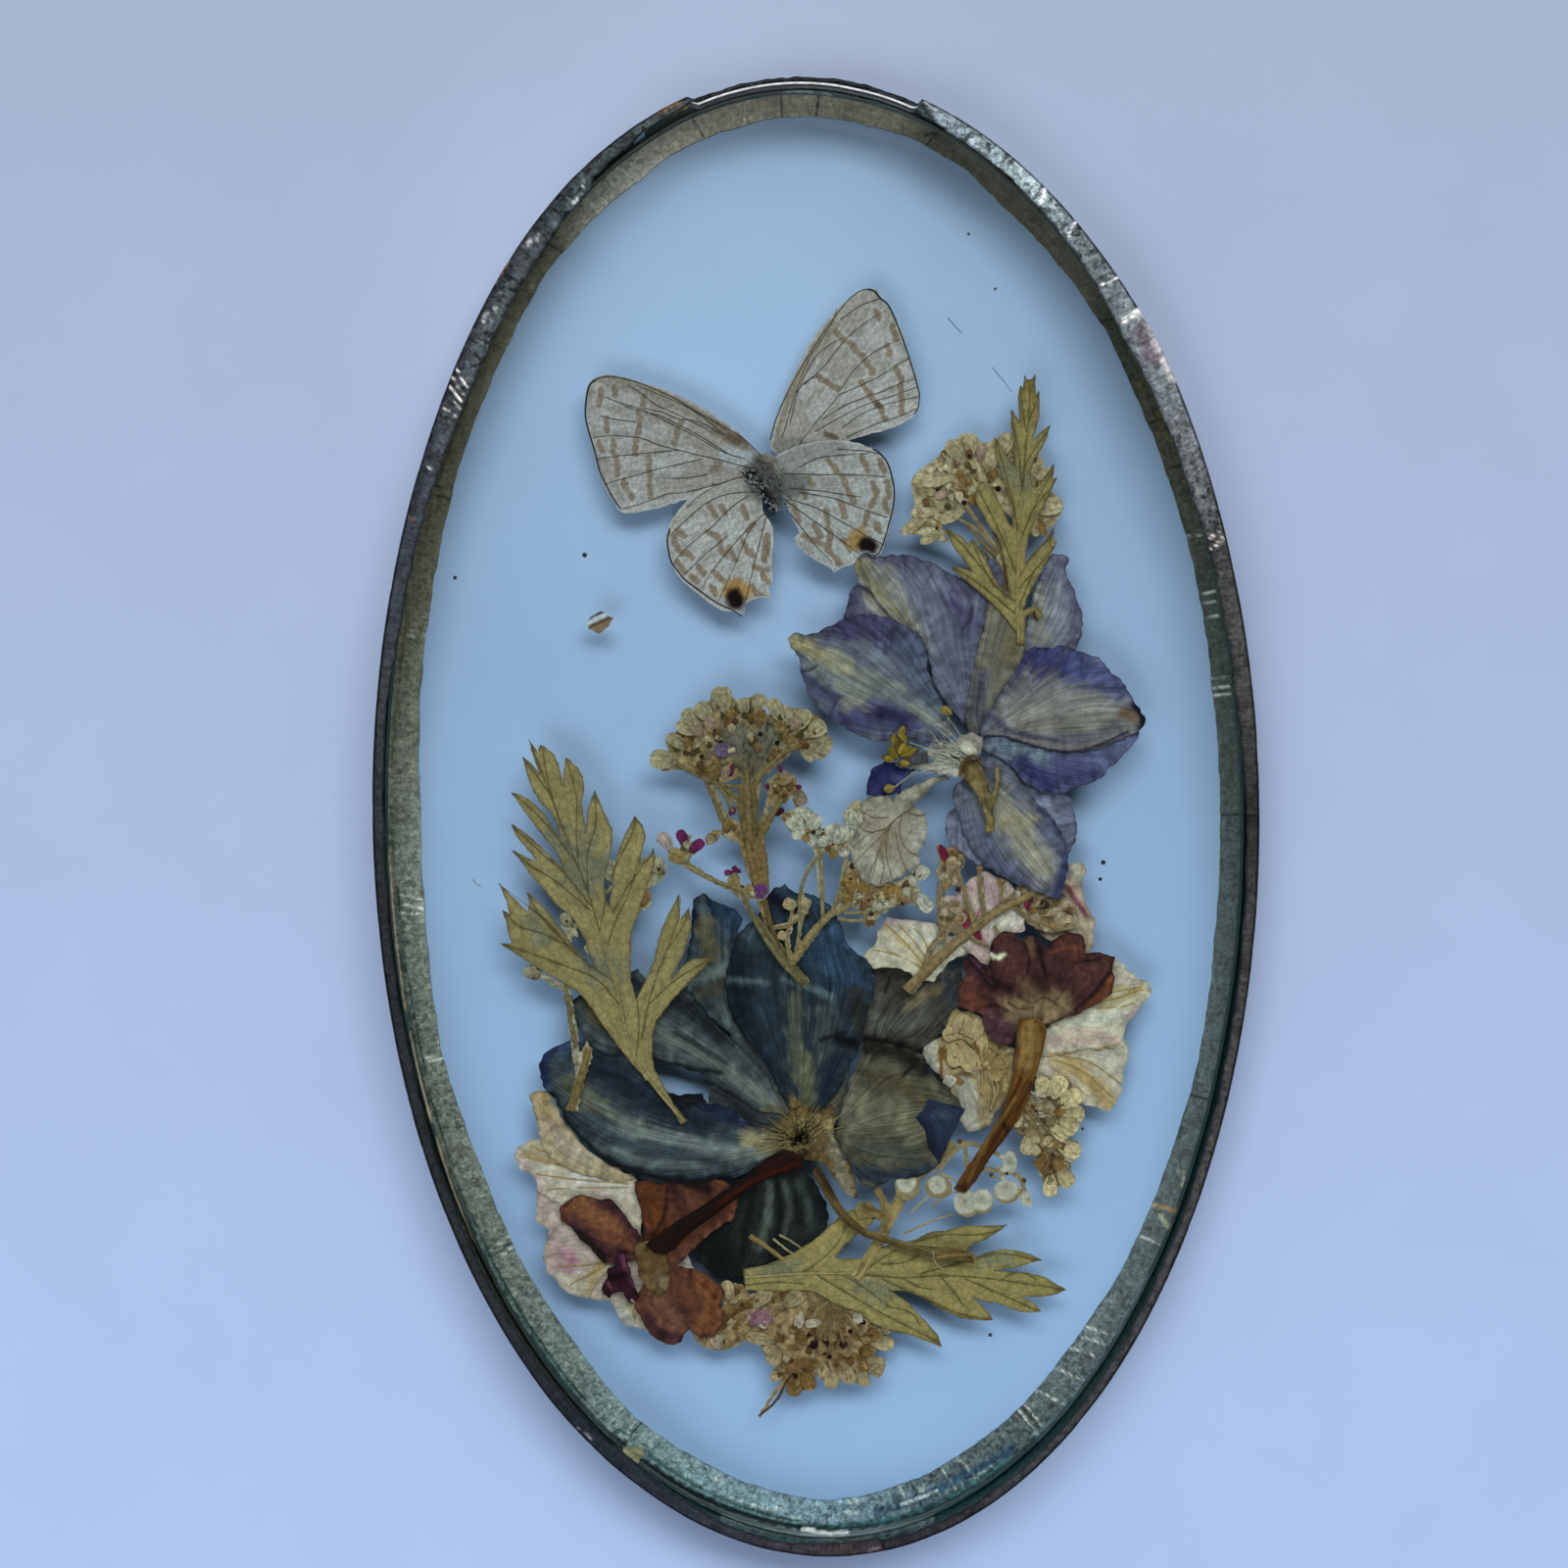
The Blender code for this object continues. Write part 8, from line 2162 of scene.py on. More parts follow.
def cream_petal_right(finish):
    """The broad cream petal at the right, with five waves along it."""
    folds = tuple((2.2, 0.09, ((1072 + 4 * i, 1046 + 5 * i), (1105, 1042 + 4 * i),
                               (1140, 1030 + 5 * i), (1160 - 3 * i, 1022 + 6 * i)))
                  for i in range(5))
    folds += ((2.6, 0.12, ((1070, 1077), (1110, 1074), (1142, 1068))),
              (2.4, 0.08, ((1120, 1022), (1150, 1014), (1170, 1008))))
    veined_petal(
        "cream_petal_right", finish, (208, 202, 174), ((1062, 1040), (1120, 1025), (1178, 1005)),
        ((CREAM_WHITE, 14, 0.7, ((1100, 1045), (1140, 1035))),
         (GOLD, 5, 0.8, ((1118, 1024), (1145, 1020), (1166, 1010))),
         (GOLD, 4, 0.6, ((1120, 1010), (1150, 1008))),
         (MAUVE, 6, 0.6, ((1150, 1040), (1164, 1030))),
         (MAUVE, 6, 0.5, ((1140, 995), (1160, 1005))),
         (PINK, 7, 0.8, ((1072, 1064), (1105, 1062), (1142, 1062))),
         ((206, 184, 164), 5, 0.8, ((1085, 1052), (1125, 1054))),
         # Painted shade along the fold
         (CREAM_BROWN_AND_CREASE_SHADE, 2.4, 0.8, ((1070, 1077), (1110, 1074), (1142, 1068))),
         ((186, 180, 146), 8, 0.6, ((1130, 1030), (1160, 1020)))), folds,
        (((1112, 1026), (1140, 1020), (1168, 1010)), ((1118, 1018), (1145, 1012), (1166, 1008)),
         ((1120, 1030), (1148, 1028), (1160, 1024))))


def cream_petal_lower_right(finish):
    """The cream petal below it, golden along its middle."""
    veined_petal(
        "cream_petal_lower_right", finish, (206, 202, 176),
        ((1064, 1078), (1105, 1090), (1142, 1135)),
        ((GOLD, 13, 0.85, ((1090, 1086), (1112, 1102), (1132, 1126))),
         (CREAM_WHITE, 12, 0.7, ((1130, 1075), (1145, 1095))),
         ((196, 178, 132), 9, 0.7, ((1075, 1082), (1090, 1100))),
         ((180, 154, 96), 6, 0.7, ((1085, 1105), (1088, 1118))),
         (CREAM_BROWN_AND_CREASE_SHADE, 2.4, 0.7, ((1072, 1104), (1082, 1108), (1066, 1100)))),
        ((2.4, 0.09, ((1072, 1080), (1105, 1092), (1140, 1118))),
         (2.4, 0.09, ((1070, 1084), (1098, 1104), (1128, 1132))),
         (2.4, 0.08, ((1080, 1076), (1120, 1082), (1148, 1098)))),
        (((1076, 1082), (1108, 1096), (1138, 1122)), ((1080, 1078), (1115, 1086), (1146, 1108))))


def peach_petal(finish):
    """The peach petal at the left."""
    veined_petal(
        "peach_petal", finish, (204, 180, 132), ((640, 1204), (590, 1170), (545, 1116)),
        (((192, 158, 100), 10, 0.7, ((548, 1120), (560, 1145))),
         ((214, 198, 160), 10, 0.7, ((570, 1165), (600, 1186))),
         ((196, 166, 140), 8, 0.6, ((560, 1150), (585, 1180)))),
        ((2.6, 0.08, ((550, 1125), (585, 1165), (630, 1200))),))


def cream_left_upper_petal(finish):
    """The upper cream petal at the left, with golden streaks."""
    veined_petal(
        "cream_left_upper_petal", finish, (206, 196, 164), ((648, 1208), (590, 1195), (524, 1172)),
        ((GOLD, 5, 0.8, ((532, 1180), (560, 1186), (600, 1196))),
         (GOLD, 3.5, 0.7, ((540, 1172), (570, 1182))),
         ((208, 184, 170), 10, 0.7, ((530, 1190), (548, 1210))),
         (PINK, 12, 0.7, ((555, 1230), (560, 1252))),
         (CREAM_WHITE, 12, 0.7, ((590, 1205), (630, 1212))),
         # Painted shade along the fold
         (CREAM_BROWN_AND_CREASE_SHADE, 1.8, 0.8, ((556, 1172), (595, 1192), (645, 1206))),
         ((196, 160, 150), 7, 0.5, ((605, 1216), (615, 1226)))),
        ((2.4, 0.12, ((556, 1172), (595, 1192), (645, 1206))),
         (2.4, 0.09, ((530, 1186), (580, 1200), (640, 1214))),
         (2.4, 0.09, ((545, 1208), (590, 1216), (640, 1222))),
         (2.4, 0.08, ((550, 1230), (580, 1226)))),
        (((640, 1206), (590, 1196), (534, 1182)), ((640, 1210), (590, 1206), (545, 1200)),
         ((640, 1214), (596, 1214), (556, 1216)), ((636, 1204), (590, 1190), (545, 1174))))


def cream_left_lower_petal(finish):
    """The lower cream petal at the left, with pink and golden parts."""
    veined_petal(
        "cream_left_lower_petal", finish, (208, 188, 170), ((690, 1300), (620, 1290), (556, 1285)),
        (((190, 130, 150), 9, 0.85, ((574, 1282), (584, 1290))),
         ((186, 120, 146), 6, 0.7, ((570, 1296), (580, 1300))),
         (GOLD, 8, 0.85, ((596, 1322), (604, 1306), (612, 1296))),
         ((212, 200, 172), 12, 0.7, ((570, 1310), (590, 1316))),
         (CREAM_WHITE, 12, 0.8, ((632, 1340), (645, 1352))),
         (GOLD, 3, 0.8, ((648, 1348), (640, 1336))),
         (CREAM_WHITE, 9, 0.8, ((698, 1285), (710, 1292))),
         ((200, 164, 160), 10, 0.6, ((560, 1262), (566, 1290)))),
        ((2.6, 0.10, ((560, 1270), (590, 1280), (615, 1290))),
         (2.6, 0.10, ((575, 1310), (596, 1302), (616, 1294))),
         (2.4, 0.10, ((590, 1325), (604, 1308), (620, 1298)))),
        (((620, 1290), (596, 1294), (566, 1296)), ((618, 1294), (600, 1304), (580, 1314)),
         ((622, 1296), (608, 1312), (600, 1326)), ((650, 1330), (645, 1342), (648, 1354))))


def make_cream_petals(finish):
    """The loose cream, pink and peach petals at the right and the left."""
    for part in (cream_petal_upper_left, cream_petal_upper, pink_petals_right, cream_petal_right,
                 cream_petal_lower_right, peach_petal, cream_left_upper_petal,
                 cream_left_lower_petal):
        part(finish)


def make_crumpled_flower(finish):
    """A crumpled cream flower: a creased sheet with cupped petals, folds and threads on it."""
    sheet, height = petal(
        "cream_crumpled_flower", (188, 172, 126), ((1015, 1062), (985, 1070), (955, 1085)),
        (((226, 218, 208), 9, 0.95, ((950, 1066), (948, 1080), (958, 1096))),
         ((150, 128, 84), 12, 0.7, ((1012, 1068), (1022, 1086), (1016, 1110))),
         ((118, 96, 58), 7, 0.8, ((968, 1078), (980, 1086), (992, 1084))),
         # Painted shadow between the petals
         ((112, 92, 60), 6, 0.8, ((972, 1104), (980, 1100), (996, 1098))),
         ((120, 104, 70), 8, 0.7, ((1014, 1098), (1018, 1118), (1010, 1136))),
         ((222, 216, 206), 15, 0.95, ((986, 1110), (990, 1132), (992, 1150)))),
        ((2.4, 0.16, ((968, 1042), (985, 1052), (1005, 1058))),
         (2.4, 0.16, ((966, 1070), (985, 1062), (1000, 1068))),
         (2.2, 0.16, ((975, 1080), (988, 1074), (1000, 1090))),
         (2.4, 0.16, ((965, 1096), (985, 1094), (1000, 1092))),
         (2.4, 0.16, ((1005, 1060), (1008, 1090), (1006, 1120))),
         (2.4, 0.14, ((1020, 1066), (1026, 1090), (1020, 1110)))), spacing=0.18, relief=0.12,
        wave=1.0, rim=0.3, pleat=0.09)
    laid = (((206, 192, 146),
             ((980, 1062, 984, 1036, 20), (988, 1066, 1000, 1042, 18), (974, 1066, 968, 1050, 16),
              (982, 1068, 996, 1094, 20), (972, 1066, 978, 1090, 17),
              (1002, 1078, 1004, 1058, 12))),
            ((182, 162, 112),
             ((1008, 1086, 1014, 1064, 14), (1012, 1090, 1030, 1082, 14),
              (1008, 1096, 1024, 1100, 12), (996, 1062, 1008, 1056, 11),
              (1000, 1104, 1010, 1118, 12))),
            ((150, 122, 74),
             ((966, 1068, 962, 1082, 7), (972, 1084, 986, 1090, 7), (992, 1072, 984, 1080, 7),
              (1002, 1088, 1008, 1100, 8), (970, 1098, 984, 1108, 7))),
            ((222, 214, 200),
             ((984, 1104, 990, 1150, 19), (950, 1084, 954, 1066, 11), (964, 1112, 974, 1098, 12))))
    grown = []
    for level, (tint, spots) in enumerate(laid):
        spots = np.array(spots, float)
        shade = np.linspace(0.9, 1.1, len(spots))[:, None]
        grown.append(small_petals(mm(spots[:, :2]), mm(spots[:, 2:4]), spots[:, 4] * MARK,
                                  seen(*tint) * shade, sheet.top - 0.16 - 0.03 * level))
    grown.append(
        stems((((960, 1070), (961, 1086), (962, 1102)), ((996, 1064), (999, 1076), (997, 1092))),
              3.4, (150, 104, 56), sheet.top - 0.1))
    grown.append(
        stems((((1003, 1094), (1004, 1118), (1007, 1144)),
               ((1006, 1094), (1010, 1120), (1008, 1146)),
               ((1000, 1096), (1000, 1120), (1003, 1142)),
               ((1010, 1096), (1016, 1116), (1012, 1134)),
               ((1012, 1100), (1020, 1110), (1016, 1122))), 1.8, (196, 180, 140), sheet.top - 0.08,
              6))
    grown.append(
        stems((((966, 1058), (980, 1056), (994, 1062)), ((968, 1066), (982, 1062), (996, 1072)),
               ((984, 1040), (982, 1050), (976, 1060)), ((992, 1042), (990, 1052), (984, 1060)),
               ((972, 1092), (984, 1090), (997, 1094)),
               ((1010, 1070), (1020, 1078), (1028, 1088))), 1.1, (112, 88, 50), sheet.top - 0.04,
              7))
    make("cream_crumpled_flower_dried", [sheet.patch(height)] + grown, [finish],
         ["cream_crumpled_flower"])


# ---- Heads of small florets ----

FLORET_TINTS = ((190, 166, 110), (168, 138, 80), (200, 184, 142), (146, 110, 56), (182, 158, 108))
PALE_TINTS = ((204, 196, 162), (196, 184, 142), (208, 204, 182), (168, 146, 98))
# The third colour is the dark of curled stamens, and also painted shade on the heads' crumpled
# sheets
FLORET_DARK_AND_SHADE = (92, 74, 40)


def small_petals(root, tip, width, tint, level):
    """Small dry petals from root to tip: the width goes 0.35, 0.85, 1.05, 0.9, 0.4 along one, its
    sides stand up, and it is darker at its root."""
    share = np.array((0.0, 0.3, 0.6, 0.87, 1.0))[None, :, None]
    paths = root[:, None] * (1 - share) + tip[:, None] * share
    widths = width[:, None] * np.array((0.35, 0.85, 1.05, 0.9, 0.4))
    heights = 0.05 + 0 * widths
    level = np.broadcast_to(level, len(root))[:, None] + np.array((0.0, 0.03, 0.06, 0.05, 0.0))
    return rods(paths, widths, heights, level, tint * 0.68, cup=0.26, tip=tint)


def scattered(sheet, count, centre, reach, bare, seed):
    """Random places on a sheet, further than reach from its border and bare from its centre, and
    for each the direction away from that centre, give or take half a radian."""
    rng = np.random.default_rng(seed)
    low, high = sheet.places.min(axis=0), sheet.places.max(axis=0)
    spots = rng.uniform(low, high, (count * 14, 2))
    spots = spots[inside(spots, sheet.loops)]
    spots = spots[sheet.edge_distance(spots) > reach]
    out = spots - mm(centre)
    far = np.hypot(*out.T) > bare
    spots, out = spots[far][:count], out[far][:count]
    turn = np.arctan2(out[:, 1], out[:, 0]) + rng.normal(0, 0.6, len(spots))
    return spots, np.stack((np.cos(turn), np.sin(turn)), axis=-1)


def domes(marks, tint, level, high=0.16):
    """Round calyces and seeds, each of so many marks across: (x, y, size)."""
    marks = np.asarray(marks, float)
    half = np.stack((marks[:, 2] * 0.42, marks[:, 2] * 0.2), axis=-1)
    paths = np.stack([mm(marks[:, :2] + half * k) for k in (-1, -0.6, 0.6, 1)], axis=1)
    widths = marks[:, 2:3] * MARK * np.array((0.45, 0.9, 0.9, 0.45))
    heights = high * np.array((0.5, 1, 1, 0.5))[None] + 0 * widths
    return rods(paths, widths, heights, level, tint, ribs=0.08)


def stems(paths, width, tint, level, seed=1):
    """Thin stems along the given paths, which waver a little and narrow to 0.7 of their width
    at their tips."""
    places = 14
    lines = np.stack([curve(mm(path), places) for path in paths])
    rng = np.random.default_rng(seed)
    lines[:, 1:-1] += rng.normal(0, 0.018, lines[:, 1:-1].shape)
    widths = width * MARK * np.linspace(1, 0.7, places)[None]
    widths = widths * rng.uniform(0.88, 1.15, (len(lines), places))
    shade = rng.uniform(0.85, 1.12, (len(lines), 1))
    return rods(lines, widths, widths * 0.55, level, seen(*tint) * shade * 0.92, ribs=0.1,
                tip=seen(*tint) * shade)


def umbel(name, finish, colour, centre, paint=(), petals=(), calyces=(), twigs=(), strewn=60,
          tints=FLORET_TINTS, bare=0.0, size=(0.6, 1.3), curled=14, seed=5):
    """A head of small florets: a crumpled sheet, small cupped petals strewn and laid over it,
    curled stamens, calyces and the twigs that carry them."""
    sheet = Sheet(name, 0.2, 0.08, 0.6, seed=seed)
    sheet.fill(seen(*colour))
    sheet.flow_from(centre)
    crumple = waves(sheet.places, 1.3, seed)
    # Painted light and shade over the crumpled sheet, on the same waves as its relief: darker
    # where crumple is low, paler where it is high
    hollows = 0.55 * smooth(0.1, 0.9, -crumple) * smooth(0.1, 0.5, sheet.edge)
    sheet.blend(seen(*FLORET_DARK_AND_SHADE), hollows)
    sheet.blend(seen(*tints[2]), 0.5 * smooth(0.1, 0.9, crumple))
    for tint, width, strength, path in paint:
        sheet.stroke(seen(*tint), width, path, strength)
    thick = sheet.top - sheet.base
    relief = (0.42 * thick + 0.09 * crumple + 0.05 * sheet.streaks).clip(0.05, 0.75 * thick)
    grown = [sheet.patch(relief)]
    floor = sheet.top - 0.45 * thick
    rng = np.random.default_rng(seed)
    spots, out = scattered(sheet, strewn, centre, 0.28, bare, seed)
    if len(spots):
        length = rng.uniform(*size, (len(spots), 1))
        shade = rng.uniform(0.72, 1.12, (len(spots), 1))
        tint = np.array([seen(*one) for one in tints])[rng.integers(len(tints), size=len(spots))]
        grown.append(
            small_petals(
                spots - out * length / 2, spots + out * length / 2,
                length[:, 0] * rng.uniform(0.5, 0.85, len(spots)), tint * shade,
                floor + rng.uniform(0, 0.22 * thick, len(spots))))
    spots, out = scattered(sheet, curled, centre, 0.4, bare, seed + 1)
    if len(spots):
        radius = rng.uniform(0.25, 0.6, (len(spots), 1, 1))
        first = rng.uniform(0, 2 * np.pi, (len(spots), 1))
        angle = first + rng.uniform(0.8, 2.6, (len(spots), 1)) * np.linspace(0, 1, 7)[None]
        paths = spots[:, None] + radius * np.stack((np.cos(angle), np.sin(angle)), axis=-1)
        shade = rng.uniform(0.5, 1.3, (len(spots), 1))
        grown.append(rods(paths, (0.07, 0.09, 0.1, 0.1, 0.1, 0.09, 0.06), 0.08,
                          floor + 0.24 * thick, seen(*FLORET_DARK_AND_SHADE) * shade, sides=5))
    for tint, spots in petals:
        spots = np.asarray(spots, float)
        shade = rng.uniform(0.88, 1.1, (len(spots), 1))
        grown.append(
            small_petals(
                mm(spots[:, :2]), mm(spots[:, 2:4]), spots[:, 4] * MARK, seen(*tint) * shade,
                floor + rng.uniform(0, 0.25, len(spots)) * thick))
    for tint, width, paths in twigs:
        grown.append(stems(paths, width, tint, floor - 0.04, seed))
    for tint, spots in calyces:
        grown.append(domes(spots, seen(*tint), floor + 0.1 * thick))
    make(name + "_head", grown, [finish], [name])


OCHRE, BROWN, CREAM, OLIVE = (158, 124, 64), (112, 80, 40), (194, 180, 138), (96, 86, 50)
MAROON, MAGENTA, PINKISH, STEM = (66, 26, 34), (132, 48, 88), (182, 152, 132), (152, 134, 86)


def umbel_top(finish):
    """The head at the top: cream and ochre florets on tan twigs."""
    umbel("umbel_top", finish, (186, 172, 126), (1035, 560),
          (((124, 92, 50), 12, 0.6, ((985, 500), (1000, 535))),
           ((120, 112, 92), 10, 0.7, ((972, 505), (975, 530))),
           ((206, 194, 158), 12, 0.7, ((948, 488), (965, 470))),
           ((196, 172, 146), 10, 0.6, ((1030, 448), (1040, 455)))),
          ((CREAM,
            ((975, 485, 940, 490, 15), (985, 470, 968, 448, 17), (992, 462, 990, 440, 15),
             (1010, 480, 1015, 455, 14), (1020, 465, 1032, 440, 16), (950, 520, 922, 543, 12),
             (965, 520, 930, 522, 10), (1060, 520, 1085, 512, 18), (1058, 490, 1076, 478, 13),
             (960, 545, 940, 552, 9), (985, 520, 960, 530, 12), (1012, 510, 1000, 490, 11),
             (1000, 552, 985, 565, 9), (1070, 545, 1078, 556, 9))),
           (PINKISH,
            ((1002, 470, 1003, 452, 11), (1040, 480, 1048, 462, 11), (970, 500, 955, 505, 9))),
           (OCHRE,
            ((988, 495, 978, 478, 8), (1010, 490, 1018, 478, 9), (1062, 528, 1068, 545, 7),
             (1000, 515, 990, 505, 8), (960, 500, 958, 488, 7)))),
          ((OLIVE, ((1012, 483, 9), (995, 480, 7), (1045, 500, 7), (968, 515, 7))),
           (MAROON, ((985, 511, 6), (1020, 497, 6), (958, 498, 4), (990, 463, 5), (957, 537, 4))),
           (OCHRE,
            ((990, 490, 6), (1062, 536, 6), (1060, 478, 4), (978, 470, 5), (1005, 500, 6)))),
          ((STEM, 4,
            (((1020, 562), (1000, 540), (972, 524)), ((1018, 566), (1004, 552), (985, 530)),
             ((1024, 582), (1015, 570), (1003, 558)), ((1028, 575), (1012, 530), (1005, 500)))),
           ((130, 100, 56), 4,
            (((1030, 612), (1027, 585), (1024, 560)), ((1060, 631), (1055, 621), (1045, 625)))),
           ((160, 138, 86), 9, (((1035, 662), (1034, 640), (1030, 610)),))), strewn=70, seed=21,
          tints=((190, 172, 122), (172, 146, 92), (204, 194, 154), (140, 104, 60),
                 (186, 164, 116)))


def umbel_centre(finish):
    """The head at the centre: cream florets round a grey-green middle."""
    umbel("umbel_centre", finish, (168, 144, 94), (765, 800),
          (((128, 126, 112), 24, 0.9, ((752, 752), (768, 768), (785, 750))),
           ((120, 118, 100), 18, 0.85, ((768, 782), (768, 760))),
           ((112, 112, 96), 10, 0.8, ((730, 742), (742, 755))),
           ((176, 152, 122), 12, 0.7, ((708, 740), (722, 752))),
           ((196, 178, 128), 12, 0.6, ((680, 772), (666, 776))),
           ((126, 98, 54), 12, 0.6, ((818, 758), (835, 746))),
           (STEM, 9, 0.9, ((762, 790), (764, 820), (766, 855))),
           ((160, 130, 72), 16, 0.9, ((766, 855), (771, 880), (776, 905)))),
          ((CREAM,
            ((690, 776, 663, 774, 20), (702, 764, 681, 750, 13), (712, 748, 690, 738, 15),
             (718, 740, 696, 726, 16), (727, 735, 711, 718, 17), (735, 730, 737, 700, 22),
             (760, 728, 757, 712, 14), (770, 728, 778, 708, 15), (800, 738, 786, 713, 15),
             (806, 740, 801, 720, 12), (812, 745, 824, 724, 17), (824, 750, 842, 738, 18),
             (830, 757, 849, 762, 20), (826, 760, 843, 772, 14), (817, 764, 830, 776, 9))),
           (PINKISH,
            ((715, 752, 706, 734, 13), (724, 748, 724, 730, 11), (812, 750, 812, 730, 12),
             (738, 795, 742, 782, 9), (808, 790, 798, 796, 13), (816, 806, 819, 822, 12))),
           (OCHRE,
            ((740, 740, 748, 722, 10), (776, 742, 772, 724, 10), (772, 738, 780, 724, 7),
             (800, 752, 796, 732, 9), (826, 752, 838, 746, 9), (716, 786, 734, 782, 8),
             (734, 792, 727, 778, 7), (704, 768, 700, 752, 9), (820, 755, 816, 766, 8),
             (800, 820, 800, 806, 11), (745, 852, 742, 838, 12), (776, 850, 780, 838, 8))),
           ((132, 112, 150), ((752, 764, 728, 766, 15),)),
           (MAGENTA,
            ((748, 780, 744, 792, 6), (770, 826, 768, 818, 8), (744, 832, 750, 824, 7),
             (797, 788, 795, 781, 5), (784, 806, 782, 800, 5), (812, 802, 818, 804, 5))),
           ((96, 30, 64), ((788, 832, 800, 826, 7),)),
           ((190, 176, 134), ((730, 858, 721, 857, 10), (752, 858, 740, 848, 9)))),
          ((OLIVE,
            ((731, 721, 8), (737, 730, 8), (752, 724, 9), (765, 722, 12), (760, 730, 8),
             (798, 732, 10), (806, 745, 11), (816, 749, 11), (822, 741, 6), (797, 752, 7),
             (707, 768, 8), (690, 764, 8))),
           (BROWN,
            ((705, 752, 8), (700, 768, 7), (822, 762, 9), (750, 736, 7), (832, 748, 7),
             (838, 754, 6), (712, 766, 6), (745, 846, 9), (800, 812, 9), (724, 760, 6))),
           ((46, 44, 38),
            ((716, 772, 5), (729, 746, 5), (735, 758, 5), (776, 749, 5), (793, 758, 5),
             (820, 740, 5)))),
          ((STEM, 5,
            (((757, 803), (738, 801), (715, 793), (690, 779)),
             ((760, 805), (775, 790), (795, 772), (815, 758)),
             ((758, 818), (745, 808), (732, 800), (712, 792)),
             ((737, 838), (728, 815), (720, 797)), ((748, 828), (740, 812), (730, 800)),
             ((766, 806), (782, 786), (800, 768), (814, 763)))),
           ((122, 112, 84), 4,
            (((762, 800), (760, 785), (758, 770)), ((766, 800), (768, 785), (774, 772)),
             ((764, 795), (764, 780), (766, 765)), ((760, 790), (748, 775), (740, 762)))),
           ((146, 124, 74), 8,
            (((765, 858), (763, 820), (762, 785)), ((764, 860), (757, 830), (757, 800)),
             ((768, 862), (771, 830), (768, 800)), ((770, 866), (785, 838), (798, 815)))),
           ((164, 134, 76), 9,
            (((776, 912), (769, 885), (760, 850)), ((779, 912), (775, 885), (768, 850)),
             ((781, 912), (780, 885), (777, 855)))),
           ((142, 112, 64), 7, (((822, 1003), (800, 978), (787, 945), (778, 908)),))), strewn=85,
          bare=2.6, seed=22, curled=30)


def umbel_left(finish):
    """The sparse head at the left."""
    umbel("umbel_left", finish, (188, 172, 126), (600, 1000), (),
          ((CREAM,
            ((672, 892, 668, 874, 14), (625, 900, 618, 884, 10), (582, 945, 574, 932, 11),
             (548, 1000, 540, 986, 11), (604, 975, 598, 964, 8), (655, 905, 668, 896, 12))),
           ((186, 130, 66), ((655, 925, 660, 908, 11),))),
          ((OLIVE, ((672, 887, 5), (544, 998, 4), (580, 1110, 5))),
           (BROWN, ((622, 892, 5), (578, 940, 5)))),
          ((STEM, 5, (((588, 1068), (582, 1040), (577, 1005)),)),
           ((162, 132, 70), 9, (((582, 1133), (593, 1100), (601, 1070)),))), strewn=24, seed=23,
          tints=PALE_TINTS, curled=6)


